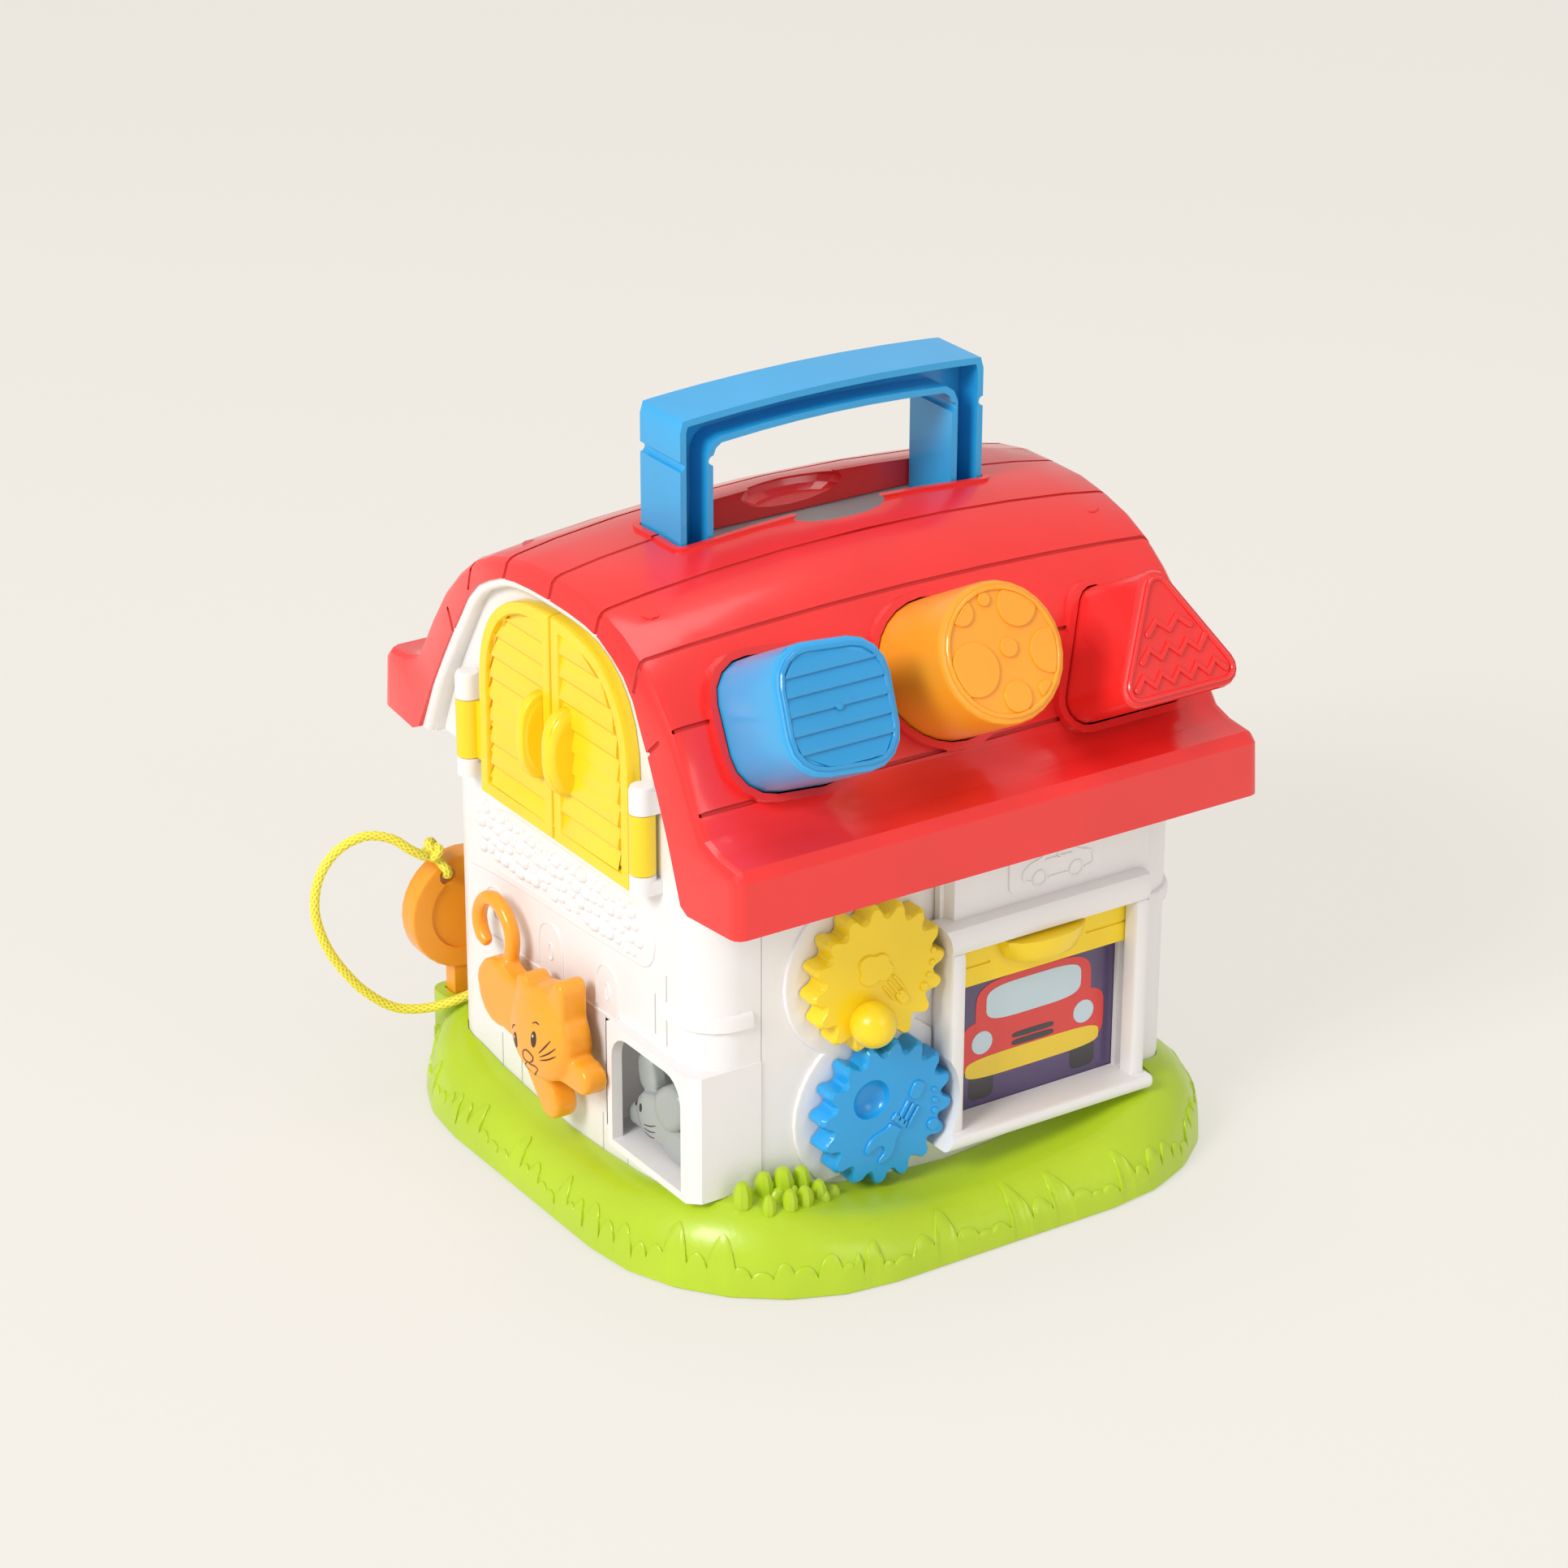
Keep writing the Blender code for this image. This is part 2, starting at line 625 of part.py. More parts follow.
def make_base():
    rims = base_rims()

    def ring(inset, heights):
        return [(x, y, z) for (x, y), z in zip(pillow(inset), heights)]

    def level(inset, z):
        return ring(inset, [z] * len(rims))

    rings = [level(BASE_PLATEAU_INSET, BASE_UNDER_Z), level(BASE_FOOT_INSET + WALL, BASE_UNDER_Z)]
    rings.append(level(WALL, 0))
    for inset_share, height_share in BASE_SIDE_SHARES:
        rings.append(ring(inset_share * BASE_INSET, [z * height_share for z in rims]))
    rings.append(ring(BASE_PLATEAU_INSET - BASE_FOOT_INSET, rims))
    rings.append(level(BASE_PLATEAU_INSET, BASE_FRONT_Z))
    base = skin(rings)
    pocket = prism(footprint(GAP), "z", BASE_FLOOR_Z, BASE_CORNER_Z + OVERRUN)
    cut(base, pocket)
    mouth = NICHE_LOW_Z - NICHE_FRAME - GAP
    low_x, low_y = -BODY_HALF_X - NICHE_PROUD - GAP, -BODY_HALF_Y - NICHE_FRONT - GAP
    cut(base, box((low_x, low_y, mouth), (0, 0, mouth + SINK * 4)))
    sill = GARAGE_LOW_Z - SILL_HEIGHT - GAP
    reach = GARAGE_HIGH_X + POST_WIDTH + POST_FOOT + GAP
    low_x = surround_low_x() - SILL_OVER * 2 - GAP
    cut(base, box((low_x, -BODY_HALF_Y - SILL_PROUD - GAP * 2, sill), (reach, 0, sill + SINK * 4)))
    boss_x = KEY_SHANK_HALF + RUNNING_GAP + SOCKET_WALL
    boss_y = KEY_SHANK_THICKNESS / 2 + RUNNING_GAP + SOCKET_WALL
    boss = rounded_rectangle(KEY_X - boss_x, KEY_X + boss_x, KEY_Y - boss_y, KEY_Y + boss_y, SOCKET_CORNER)
    join(base, prism(boss, "z", SOCKET_FLOOR_Z - WALL, SOCKET_TOP_Z, EDGE))
    hole = box(
        (KEY_X - KEY_SHANK_HALF - RUNNING_GAP, KEY_Y - KEY_SHANK_THICKNESS / 2 - RUNNING_GAP, SOCKET_FLOOR_Z),
        (KEY_X + KEY_SHANK_HALF + RUNNING_GAP, KEY_Y + KEY_SHANK_THICKNESS / 2 + RUNNING_GAP,
         SOCKET_TOP_Z + OVERRUN),
    )
    cut(base, hole)
    for x_share, y_share, size in LEAF_SHARES:
        x, y = LEAF_X + x_share * LEAF_SPREAD_X, LEAF_Y + y_share * LEAF_SPREAD_Y
        centre = (x, y, base_surface(x, y) + LEAF_HEIGHT * size * LEAF_LIFT_SHARE)
        join(base, ellipsoid(centre, (LEAF_RADIUS * size, LEAF_RADIUS * size, LEAF_HEIGHT * size), 8, 5))
    for x, y in post_places():
        cut(base, prism(circle(x, y, SCREW_RADIUS + RUNNING_GAP, 12), "z", 0, BASE_FLOOR_Z + OVERRUN))
    return finish(base, "base_tray", "lime_plastic")


def make_base_screws():
    head = BASE_UNDER_Z - GAP - SCREW_HEAD_HEIGHT
    for i, (x, y) in enumerate(post_places()):
        screw(f"base_screw_{i + 1}", x, y, head, POST_TOP_Z - WALL)


# Roof surfaces

def roof_profile():
    """Half profile from the ridge down, and its outward normals."""
    rise = RIDGE_Z - EAVE_LIP_Z
    points = [(EAVE_HALF_Y * a, EAVE_LIP_Z + rise * b) for a, b in zip(ROOF_Y_SHARES, ROOF_Z_SHARES)]
    return points, outward(points)


def outward(points):
    """Normals of an open half profile that runs from the ridge (y = 0) down and out."""
    mirrored = [(-points[1][0], points[1][1])] + list(points)
    mirrored.append((points[-1][0], points[-1][1] * 2 - points[-2][1]))
    normals = []
    for a, b, c in zip(mirrored, mirrored[1:], mirrored[2:]):
        d1, d2 = (Vector(b) - Vector(a)).normalized(), (Vector(c) - Vector(b)).normalized()
        n = Vector((-(d1 + d2).y, (d1 + d2).x)).normalized()
        scale = 1 / max(n.dot(Vector((-d1.y, d1.x)).normalized()), 0.5)
        normals.append(n * scale)
    return normals


def gable_half():
    """The edge that the roof leaves open at a gable, at as many points as the roof profile has."""
    rise = GABLE_TOP_Z - EAVE_LIP_Z
    return [
        (GABLE_HALF_Y * across, EAVE_LIP_Z + rise * up)
        for across, up in zip(GABLE_Y_SHARES, GABLE_Z_SHARES)
    ]


def leaning(x, lean, z):
    """How far out an end stands at a height: x at the eave and less by the lean at the ridge."""
    return x - lean * (z - EAVE_LIP_Z) / (RIDGE_Z - EAVE_LIP_Z)


def both_sides(half):
    return [(-y, z) for y, z in half[:0:-1]] + list(half)


def crown_at(x):
    return ROOF_CROWN * max(0, 1 - (x / ROOF_CROWN_REACH) ** 2)


def roof_row(x, inset, inner):
    """Profile points at one station: the crown out, the inset and the wall in."""
    points, normals = roof_profile()
    row = []
    for (y, z), n, share in zip(points, normals, CROWN_SHARES):
        move = crown_at(x) * share - inset - (ROOF_THICKNESS if inner else 0)
        row.append((y + n.x * move, max(z + n.y * move, EAVE_LIP_Z)))
    return both_sides(row)


def roof_rings():
    """Pairs of outer and inner rows of points from the middle of the roof to one end."""
    pairs = []
    for share in ROOF_STATION_SHARES:
        x = share * ROOF_HALF_LENGTH
        pairs.append([[(x, y, z) for y, z in roof_row(x, 0, inner)] for inner in (False, True)])
    for angle in SHOULDER_ANGLES:
        back = SHOULDER_RADIUS * (1 - math.sin(angle))
        inset = SHOULDER_RADIUS * (1 - math.cos(angle))
        pair = []
        for inner in (False, True):
            wall = ROOF_THICKNESS * math.sin(angle) if inner else 0
            row = roof_row(ROOF_END_X - back, inset, inner)
            pair.append([(leaning(ROOF_END_X, ROOF_END_LEAN, z) - back - wall, y, z) for y, z in row])
        pairs.append(pair)
    edge = [(leaning(ROOF_HALF_LENGTH, ROOF_RIM_LEAN, z), y, z) for y, z in both_sides(gable_half())]
    pairs.append([edge, [(x - ROOF_THICKNESS, y, z) for x, y, z in edge]])
    return pairs


def make_roof():
    half = roof_rings()
    pairs = [[[(-x, y, z) for x, y, z in row] for row in pair] for pair in half[:0:-1]] + half
    shape = bmesh.new()
    outer = [[shape.verts.new(point) for point in row] for row, _ in pairs]
    inner = [[shape.verts.new(point) for point in row] for _, row in pairs]
    count = len(outer[0])
    for near, far in ((outer[k], outer[k + 1]) for k in range(len(outer) - 1)):
        for i in range(count - 1):
            shape.faces.new((near[i], near[i + 1], far[i + 1], far[i]))
    for near, far in ((inner[k], inner[k + 1]) for k in range(len(inner) - 1)):
        for i in range(count - 1):
            shape.faces.new((near[i], far[i], far[i + 1], near[i + 1]))
    for k in range(len(outer) - 1):
        for i in (0, count - 1):
            shape.faces.new((outer[k][i], outer[k + 1][i], inner[k + 1][i], inner[k][i]))
    for k in (0, len(outer) - 1):
        for i in range(count - 1):
            shape.faces.new((outer[k][i], outer[k][i + 1], inner[k][i + 1], inner[k][i]))
    bmesh.ops.recalc_face_normals(shape, faces=shape.faces)
    bmesh.ops.triangulate(shape, faces=shape.faces)
    roof = from_bmesh(shape)

    # Slot for the handle, with its rim, trough and finger scoops
    floor = GUIDE_Z + GAP
    slot_x, slot_y = HANDLE_HALF_X + SLOT_GAP, HANDLE_HALF_Y + SLOT_GAP
    rim = both_rims(slot_x + SLOT_RIM, slot_y + SLOT_RIM)
    join(roof, rim_skin(rim, floor, SLOT_RIM_PROUD))
    for side in (-1, 1):
        bowl = ellipsoid(
            (0, side * slot_y, SCOOP_Z),
            (SCOOP_HALF_X + WALL, SCOOP_HALF_Y + WALL, SCOOP_DEPTH + WALL), 12, 6,
        )
        clear = SCOOP_HALF_X + SCOOP_HALF_Y
        cut(bowl, box((-clear, -clear, SCOOP_Z), (clear, clear, SCOOP_Z + clear)))
        join(roof, bowl)
    cut(roof, prism(rounded_rectangle(-slot_x, slot_x, -slot_y, slot_y, SLOT_CORNER, 3), "z",
                    floor - OVERRUN * 2, RIDGE_Z + ROOF_CROWN * 2))
    for side in (-1, 1):
        cut(roof, ellipsoid((0, side * slot_y, SCOOP_Z), (SCOOP_HALF_X, SCOOP_HALF_Y, SCOOP_DEPTH), 16, 8))

    # Raised sleeves round the three block openings
    for outline, centre in block_outlines():
        grown = shrink(outline, -BLOCK_CLEARANCE - SLEEVE_THICKNESS)
        hole = shrink(outline, -BLOCK_CLEARANCE)
        rim = SLEEVE_RIM + (crown_at(0) - crown_at(centre.x)) * SLEEVE_LIFT_SHARE
        top = [rim - SLOPE_SHARE * (v + lift(centre)) for _, v in grown]
        sleeve = skin([tilted(grown, centre, [-SLEEVE_IN] * len(grown)), tilted(grown, centre, top)])
        join(roof, sleeve)
        cut(roof, skin([tilted(hole, centre, [w] * len(hole)) for w in (-SLEEVE_IN * 2, SLEEVE_IN * 2)]))

    # Bosses for the screws of the guide and of the gables
    bosses = [(side * GUIDE_SCREW_X, 0, floor) for side in (-1, 1)]
    bosses += [(x, y, EAR_Z + GAP) for x, y in ear_places()]
    for x, y, low in bosses:
        top = roof_height(x, y) - SINK
        join(roof, prism(circle(x, y, BOSS_RADIUS, 10), "z", low, top))
        cut(roof, prism(circle(x, y, SCREW_RADIUS + GAP, 8), "z", low - OVERRUN, top - ROOF_THICKNESS * 0.6))
    return finish(roof, "roof_shell", "red_plastic", smooth=32)


def roof_height(x, y):
    """Outer height of the roof over a place."""
    row = roof_row(x, 0, False)
    return float(np.interp(y, [p[0] for p in row], [p[1] for p in row]))


def both_rims(half_x, half_y):
    return rounded_rectangle(-half_x, half_x, -half_y, half_y, SLOT_CORNER + SLOT_RIM, 3)


def rim_skin(outline, low, proud):
    """A collar that rises a little out of the roof and follows its crown."""
    points = []
    for (x, y), (nx, ny) in zip(outline, outline[1:] + outline[:1]):
        steps = 6 if math.hypot(nx - x, ny - y) > SLOT_RIM * 4 else 1
        for i in range(steps):
            points.append((x + (nx - x) * i / steps, y + (ny - y) * i / steps))
    rings = [[(x, y, low) for x, y in points], [(x, y, roof_height(x, y) + proud) for x, y in points]]
    shape = bmesh.new()
    rows = [[shape.verts.new(point) for point in ring] for ring in rings]
    count = len(points)
    for i in range(count):
        j = (i + 1) % count
        shape.faces.new((rows[0][i], rows[0][j], rows[1][j], rows[1][i]))
    for row, z in zip(rows, (low, roof_height(0, 0) + proud)):
        centre = shape.verts.new((0, 0, z))
        for i in range(count):
            shape.faces.new((row[i], row[(i + 1) % count], centre))
    return from_bmesh(shape)


def block_axis():
    return Vector((0, -math.cos(BLOCK_TILT), math.sin(BLOCK_TILT)))


def seat(x, drop):
    """Where a block's axis crosses the roof: the face centre taken back along the axis."""
    up = Vector((0, math.sin(BLOCK_TILT), math.cos(BLOCK_TILT)))
    face = Vector((x, BLOCK_FACE_Y, BLOCK_FACE_Z + crown_at(x) * CROWN_LIFT_SHARE)) - up * drop
    return face - block_axis() * BLOCK_OUT


def lift(centre):
    """How far a seat lies above the ordinary line of seats, along the slope."""
    return -TRIANGLE_DROP if abs(centre.x - TRIANGLE_X) < GAP else 0


def tilted(outline, centre, alongs):
    """Outline points in the plane across the block axis, each at its own place along the axis."""
    up = Vector((0, math.sin(BLOCK_TILT), math.cos(BLOCK_TILT)))
    return [centre + Vector((u, 0, 0)) + up * v + block_axis() * w for (u, v), w in zip(outline, alongs)]


def square_outline():
    points = rounded_rectangle(-SQUARE_HALF, SQUARE_HALF, -SQUARE_HALF, SQUARE_HALF, SQUARE_CORNER, 4)
    c, s = math.cos(SQUARE_TURN), math.sin(SQUARE_TURN)
    return [(c * u - s * v, s * u + c * v) for u, v in points]


def triangle_outline():
    points = []
    for corner in range(3):
        middle = math.pi / 2 + corner * 2 * math.pi / 3
        u, v = TRIANGLE_RADIUS * math.cos(middle), TRIANGLE_RADIUS * math.sin(middle)
        for i in range(6):
            angle = middle - math.pi / 3 + i / 5 * 2 * math.pi / 3
            points.append((u + TRIANGLE_CORNER * math.cos(angle), v + TRIANGLE_CORNER * math.sin(angle)))
    return points


def block_outlines():
    return (
        (square_outline(), seat(SQUARE_X, 0)),
        (circle(0, 0, ROUND_RADIUS, 28), seat(0, 0)),
        (triangle_outline(), seat(TRIANGLE_X, TRIANGLE_DROP)),
    )


def make_blocks():
    named = (
        ("square_block", "sky_plastic"),
        ("round_block", "orange_plastic"),
        ("triangle_block", "red_plastic"),
    )
    for (name, slot), (outline, centre) in zip(named, block_outlines()):
        levels = (
            (BLOCK_EDGE, -BLOCK_IN), (0, -BLOCK_IN + BLOCK_EDGE), (BLOCK_DRAFT, BLOCK_OUT - BLOCK_EDGE),
            (BLOCK_DRAFT + BLOCK_EDGE * 0.3, BLOCK_OUT - BLOCK_EDGE * 0.3),
            (BLOCK_DRAFT + BLOCK_EDGE, BLOCK_OUT),
        )
        rings = []
        for inset, w in levels:
            ring = shrink(outline, inset)
            rings.append(tilted(ring, centre, [w] * len(ring)))
        finish(skin(rings), name, slot, centre)


# Handle and its guide

def make_handle():
    top = [(HANDLE_HALF_X * t, HANDLE_TOP_Z + HANDLE_CROWN * (1 - t * t)) for t in HANDLE_TOP_SHARES]
    corner = HANDLE_CORNER
    outline = [(-HANDLE_HALF_X, HANDLE_FOOT_Z), (-HANDLE_HALF_X, HANDLE_TOP_Z - corner)]
    outline += [(x * (1 - corner / HANDLE_HALF_X * 0.3), z) for x, z in top[:1]] + top[1:-1]
    outline += [(top[-1][0] * (1 - corner / HANDLE_HALF_X * 0.3), top[-1][1])]
    outline += [(HANDLE_HALF_X, HANDLE_TOP_Z - corner), (HANDLE_HALF_X, HANDLE_FOOT_Z)]
    inside = HANDLE_HALF_X - HANDLE_LEG
    under = HANDLE_TOP_Z - HANDLE_BAR
    bend = corner * 0.3
    outline += [(inside, HANDLE_FOOT_Z), (inside, under - corner), (inside - bend, under - bend)]
    outline += [(inside * t, under + HANDLE_CROWN * (1 - t * t) * 0.9) for t in HANDLE_UNDER_SHARES]
    outline += [(bend - inside, under - bend), (-inside, under - corner), (-inside, HANDLE_FOOT_Z)]
    handle = prism(outline, "y", -HANDLE_HALF_Y, HANDLE_HALF_Y)
    for side in (-1, 1):
        hollow = shrink(outline, HANDLE_RIM)
        hollow = [(x, max(z, HANDLE_PANEL_Z)) for x, z in hollow]
        cut(handle, prism(hollow, "y", side * HANDLE_WEB / 2, side * (HANDLE_HALF_Y + OVERRUN)))
    for side in (-1, 1):
        low = (side * inside, -HANDLE_HALF_Y - HANDLE_FOOT_PROUD, HANDLE_FOOT_Z)
        high = (side * HANDLE_HALF_X, HANDLE_HALF_Y + HANDLE_FOOT_PROUD, HANDLE_FOOT_Z + HANDLE_FOOT_HEIGHT)
        low, high = [tuple(sorted(pair)) for pair in zip(low, high)], None
        join(handle, box([a for a, _ in low], [b for _, b in low]))
        for x in (side * inside, side * HANDLE_HALF_X):
            groove = circle(x, HANDLE_TOP_Z - DETENT_DROP, DETENT_RADIUS, 12)
            cut(handle, prism(groove, "y", -HANDLE_HALF_Y - OVERRUN, HANDLE_HALF_Y + OVERRUN))
    return finish(handle, "carry_handle", "blue_plastic", (0, 0, HANDLE_FOOT_Z))


def make_guide():
    half_x = GUIDE_SCREW_X + SCREW_HEAD_RADIUS + SLEEVE_WALL
    half_y = HANDLE_HALF_Y + RUNNING_GAP + SLEEVE_WALL
    low = HANDLE_FOOT_Z + HANDLE_FOOT_HEIGHT + RUNNING_GAP
    plate = prism(rounded_rectangle(-half_x, half_x, -half_y, half_y, SLOT_CORNER, 3), "z",
                  GUIDE_Z - GUIDE_THICKNESS, GUIDE_Z)
    for side in (-1, 1):
        xs = sorted((side * (HANDLE_HALF_X - HANDLE_LEG - RUNNING_GAP), side * (HANDLE_HALF_X + RUNNING_GAP)))
        y = HANDLE_HALF_Y + RUNNING_GAP
        wall = SLEEVE_WALL
        join(plate, box((xs[0] - wall, -y - wall, low), (xs[1] + wall, y + wall, GUIDE_Z - SINK)))
        cut(plate, box((xs[0], -y, low - OVERRUN), (xs[1], y, GUIDE_Z + OVERRUN)))
        hole = circle(side * GUIDE_SCREW_X, 0, SCREW_RADIUS + GAP, 12)
        cut(plate, prism(hole, "z", GUIDE_Z - GUIDE_THICKNESS - OVERRUN, GUIDE_Z + OVERRUN))
        head = GUIDE_Z - GUIDE_THICKNESS - GAP - SCREW_HEAD_HEIGHT
        screw(f"guide_screw_{'left' if side < 0 else 'right'}", side * GUIDE_SCREW_X, 0, head,
              GUIDE_Z + GUIDE_SCREW_REACH)
    return finish(plate, "handle_guide", "grey_plastic")


# White walls

def ear_places():
    return [(sx * EAR_X, sy * EAR_Y) for sx in (-1, 1) for sy in (-1, 1)]


def make_gable(side):
    """One end moulding; side -1 is the gable with the shutters."""
    outer = rounded_rectangle(-BODY_HALF_X, BODY_HALF_X, -BODY_HALF_Y, BODY_HALF_Y, BODY_CORNER, 5)
    inner = rounded_rectangle(
        -BODY_HALF_X + WALL, BODY_HALF_X - WALL, -BODY_HALF_Y + WALL, BODY_HALF_Y - WALL, BODY_CORNER - WALL, 5,
    )
    low = BASE_FLOOR_Z + GAP
    wall = prism(outer, "z", low, EAVE_Z)
    cut(wall, prism(inner, "z", low - OVERRUN, EAVE_Z + OVERRUN))
    reach = BODY_HALF_X * 2
    far = sorted((side * (SEAM_X + GAP / 2), -side * reach))
    cut(wall, box((far[0], -reach, 0), (far[1], reach, reach)))
    ring = prism(shrink(outer, -RING_PROUD), "z", RING_Z, RING_Z + RING_HEIGHT, RING_PROUD * 0.9)
    cut(ring, prism(inner, "z", 0, reach))
    keep = -RING_LEFT_X if side < 0 else RING_RIGHT_X
    cut(ring, box((min(keep, -side * reach), -reach, 0), (max(keep, -side * reach), reach, reach)))
    cut(ring, box((-reach, -RING_END_Y, 0), (reach, RING_END_Y, reach)))
    for y in (-1, 1) if side > 0 else (-1,):
        lobe = copy_of(ring)
        cut(lobe, box((-reach, min(0, -y * reach), 0), (reach, max(0, -y * reach), reach)))
        join(wall, lobe)
    bpy.data.objects.remove(ring)

    # Arched panel and hood that follow the roof's open edge
    edge = shrink(both_sides(gable_half()), HOOD_GAP)
    tab = [(BODY_HALF_Y - BODY_CORNER, edge[-1][1]), (BODY_HALF_Y - BODY_CORNER, EAVE_Z - OVERRUN)]
    panel_outline = edge + tab + [(-y, z) for y, z in reversed(tab)]
    face = side * BODY_HALF_X
    panel = prism(panel_outline, "x", face - side * WALL, face)
    hood = prism(edge, "x", face - side * SINK, side * HOOD_X)
    low_edge = [(y, z if z > EAVE_LIP_Z + OVERRUN else z - OVERRUN) for y, z in shrink(edge, HOOD_WALL)]
    cut(hood, prism(low_edge, "x", face - side * OVERRUN, side * (HOOD_X + OVERRUN)))
    join(panel, hood)
    join(wall, panel)
    for x, y in post_places():
        if x * side < 0:
            continue
        post = prism(circle(x, y, POST_RADIUS, 16), "z", low, POST_TOP_Z)
        web = sorted((x, face - side * SINK))
        join(post, box((web[0], y - WALL / 2, low), (web[1], y + WALL / 2, POST_TOP_Z - SINK)))
        join(wall, post)
        cut(wall, prism(circle(x, y, SCREW_RADIUS + GAP, 10), "z", low - OVERRUN, POST_TOP_Z - WALL / 2))
    for x, y in ear_places():
        if x * side < 0:
            continue
        xs = sorted((x - side * BOSS_RADIUS, face - side * SINK))
        ear = box((xs[0], y - BOSS_RADIUS, EAR_Z - WALL), (xs[1], y + BOSS_RADIUS, EAR_Z))
        cut(ear, prism(circle(x, y, SCREW_RADIUS + GAP, 10), "z", EAR_Z - OVERRUN, EAR_Z + OVERRUN))
        join(wall, ear)
    return wall


def shutter_outline(side):
    """Half of a round-headed window, side -1 at -Y."""
    points = [(SHUTTER_LEAF_GAP, SHUTTER_LOW_Z), (SHUTTER_HALF_Y, SHUTTER_LOW_Z)]
    rise = SHUTTER_TOP_Z - SHUTTER_SPRING_Z
    for i in range(9):
        angle = i / 8 * math.pi / 2
        y = SHUTTER_HALF_Y * math.cos(angle) ** ARCH_POWER
        points.append((max(y, SHUTTER_LEAF_GAP), SHUTTER_SPRING_Z + rise * math.sin(angle) ** ARCH_POWER))
    return [(side * y, z) for y, z in points]


def window_outline(inset):
    half = [(y, z) for y, z in shutter_outline(1)[1:]]
    full = [(-y, z) for y, z in half] + half[::-1]
    points = []
    for y, z in full:
        if not points or abs(y - points[-1][0]) + abs(z - points[-1][1]) > GAP:
            points.append((y, z))
    return shrink(points, inset)


def make_left_gable():
    wall = make_gable(-1)
    face = -BODY_HALF_X
    # Blind window behind the shutters
    depth = face + WINDOW_DEPTH
    join(wall, prism(window_outline(WINDOW_INSET - WALL), "x", depth + WALL, face + SINK))
    cut(wall, prism(window_outline(WINDOW_INSET), "x", depth, face - OVERRUN))
    # Hinge cups above and below each shutter knuckle
    for y in (-HINGE_Y, HINGE_Y):
        cups = ((CAP_LOW_Z, KNUCKLE_LOW_Z - GAP, False), (KNUCKLE_HIGH_Z + GAP, CAP_HIGH_Z, True))
        for low, high, domed in cups:
            x = face - HINGE_OUT
            cup = prism(circle(x, y, HINGE_RADIUS, 20), "z", low, high, HINGE_RADIUS * 0.45 if domed else EDGE)
            web_top = high - HINGE_RADIUS * 0.45
            join(cup, box((x, y - HINGE_RADIUS, low), (face + SINK, y + HINGE_RADIUS, web_top)))
            join(wall, cup)
        bore = prism(circle(face - HINGE_OUT, y, PIN_RADIUS + GAP, 10), "z",
                     KNUCKLE_LOW_Z - PIN_END * 2, KNUCKLE_HIGH_Z + PIN_END * 2)
        cut(wall, bore)
    # Mouse hole at the front corner, hollow behind a rounded opening
    out = face - NICHE_PROUD
    front = -BODY_HALF_Y - NICHE_FRONT
    inside = face + NICHE_DEPTH
    plan = [
        (out, NICHE_HIGH_Y + NICHE_FRAME), (out, NICHE_LOW_Y - NICHE_FRAME), (face, front),
        (-SEAM_X - GAP, front), (-SEAM_X - GAP, -BODY_HALF_Y + SINK), (inside + WALL, -BODY_HALF_Y + SINK),
        (inside + WALL, NICHE_HIGH_Y + NICHE_SIDE), (face + SINK, NICHE_HIGH_Y + NICHE_SIDE),
        (face + SINK, NICHE_HIGH_Y + NICHE_FRAME),
    ]
    top = NICHE_TOP_Z + NICHE_FRAME
    join(wall, prism(plan, "z", NICHE_LOW_Z - NICHE_FRAME, top))
    cut(wall, box((face, front + WALL, NICHE_LOW_Z), (inside, NICHE_HIGH_Y + NICHE_SIDE - WALL, NICHE_TOP_Z)))
    opening = rounded_rectangle(NICHE_LOW_Y, NICHE_HIGH_Y, NICHE_LOW_Z, NICHE_TOP_Z, NICHE_CORNER, 5)
    opening = [(y, z if z > (NICHE_LOW_Z + NICHE_TOP_Z) / 2 else NICHE_LOW_Z) for y, z in opening]
    opening = [p for i, p in enumerate(opening) if i == 0 or math.dist(p, opening[i - 1]) > GAP]
    cut(wall, prism(opening, "x", face + OVERRUN, out - OVERRUN))
    # Slots for the cat's and the mouse's stems, and rails for the slider
    slot_top = STEM_RADIUS + RUNNING_GAP
    cat_slot = capsule((STEM_Y, STEM_Z), (STEM_Y - CHASE_TRAVEL, STEM_Z), slot_top)
    cut(wall, prism(cat_slot, "x", face + OVERRUN, face - OVERRUN))
    mouse_slot = capsule((MOUSE_STEM_Y, MOUSE_Z), (MOUSE_STEM_Y - CHASE_TRAVEL, MOUSE_Z), slot_top)
    cut(wall, prism(mouse_slot, "x", inside - OVERRUN / 2, inside + WALL + OVERRUN))
    back = face + WALL
    for up in (-1, 1):
        edge = STEM_Z + up * (SLIDER_HALF + RUNNING_GAP)
        zs = sorted((edge, edge + up * WALL))
        far = back + GAP * 2 + SLIDER_THICKNESS + WALL
        rail = box((back - SINK, RAIL_LOW_Y, zs[0]), (far, RAIL_HIGH_Y, zs[1]))
        lip = sorted((edge + up * WALL, edge - up * WALL))
        join(rail, box((far - WALL + GAP, RAIL_LOW_Y, lip[0]), (far, RAIL_HIGH_Y, lip[1])))
        join(wall, rail)
    return finish(wall, "left_gable_wall", "white_plastic")


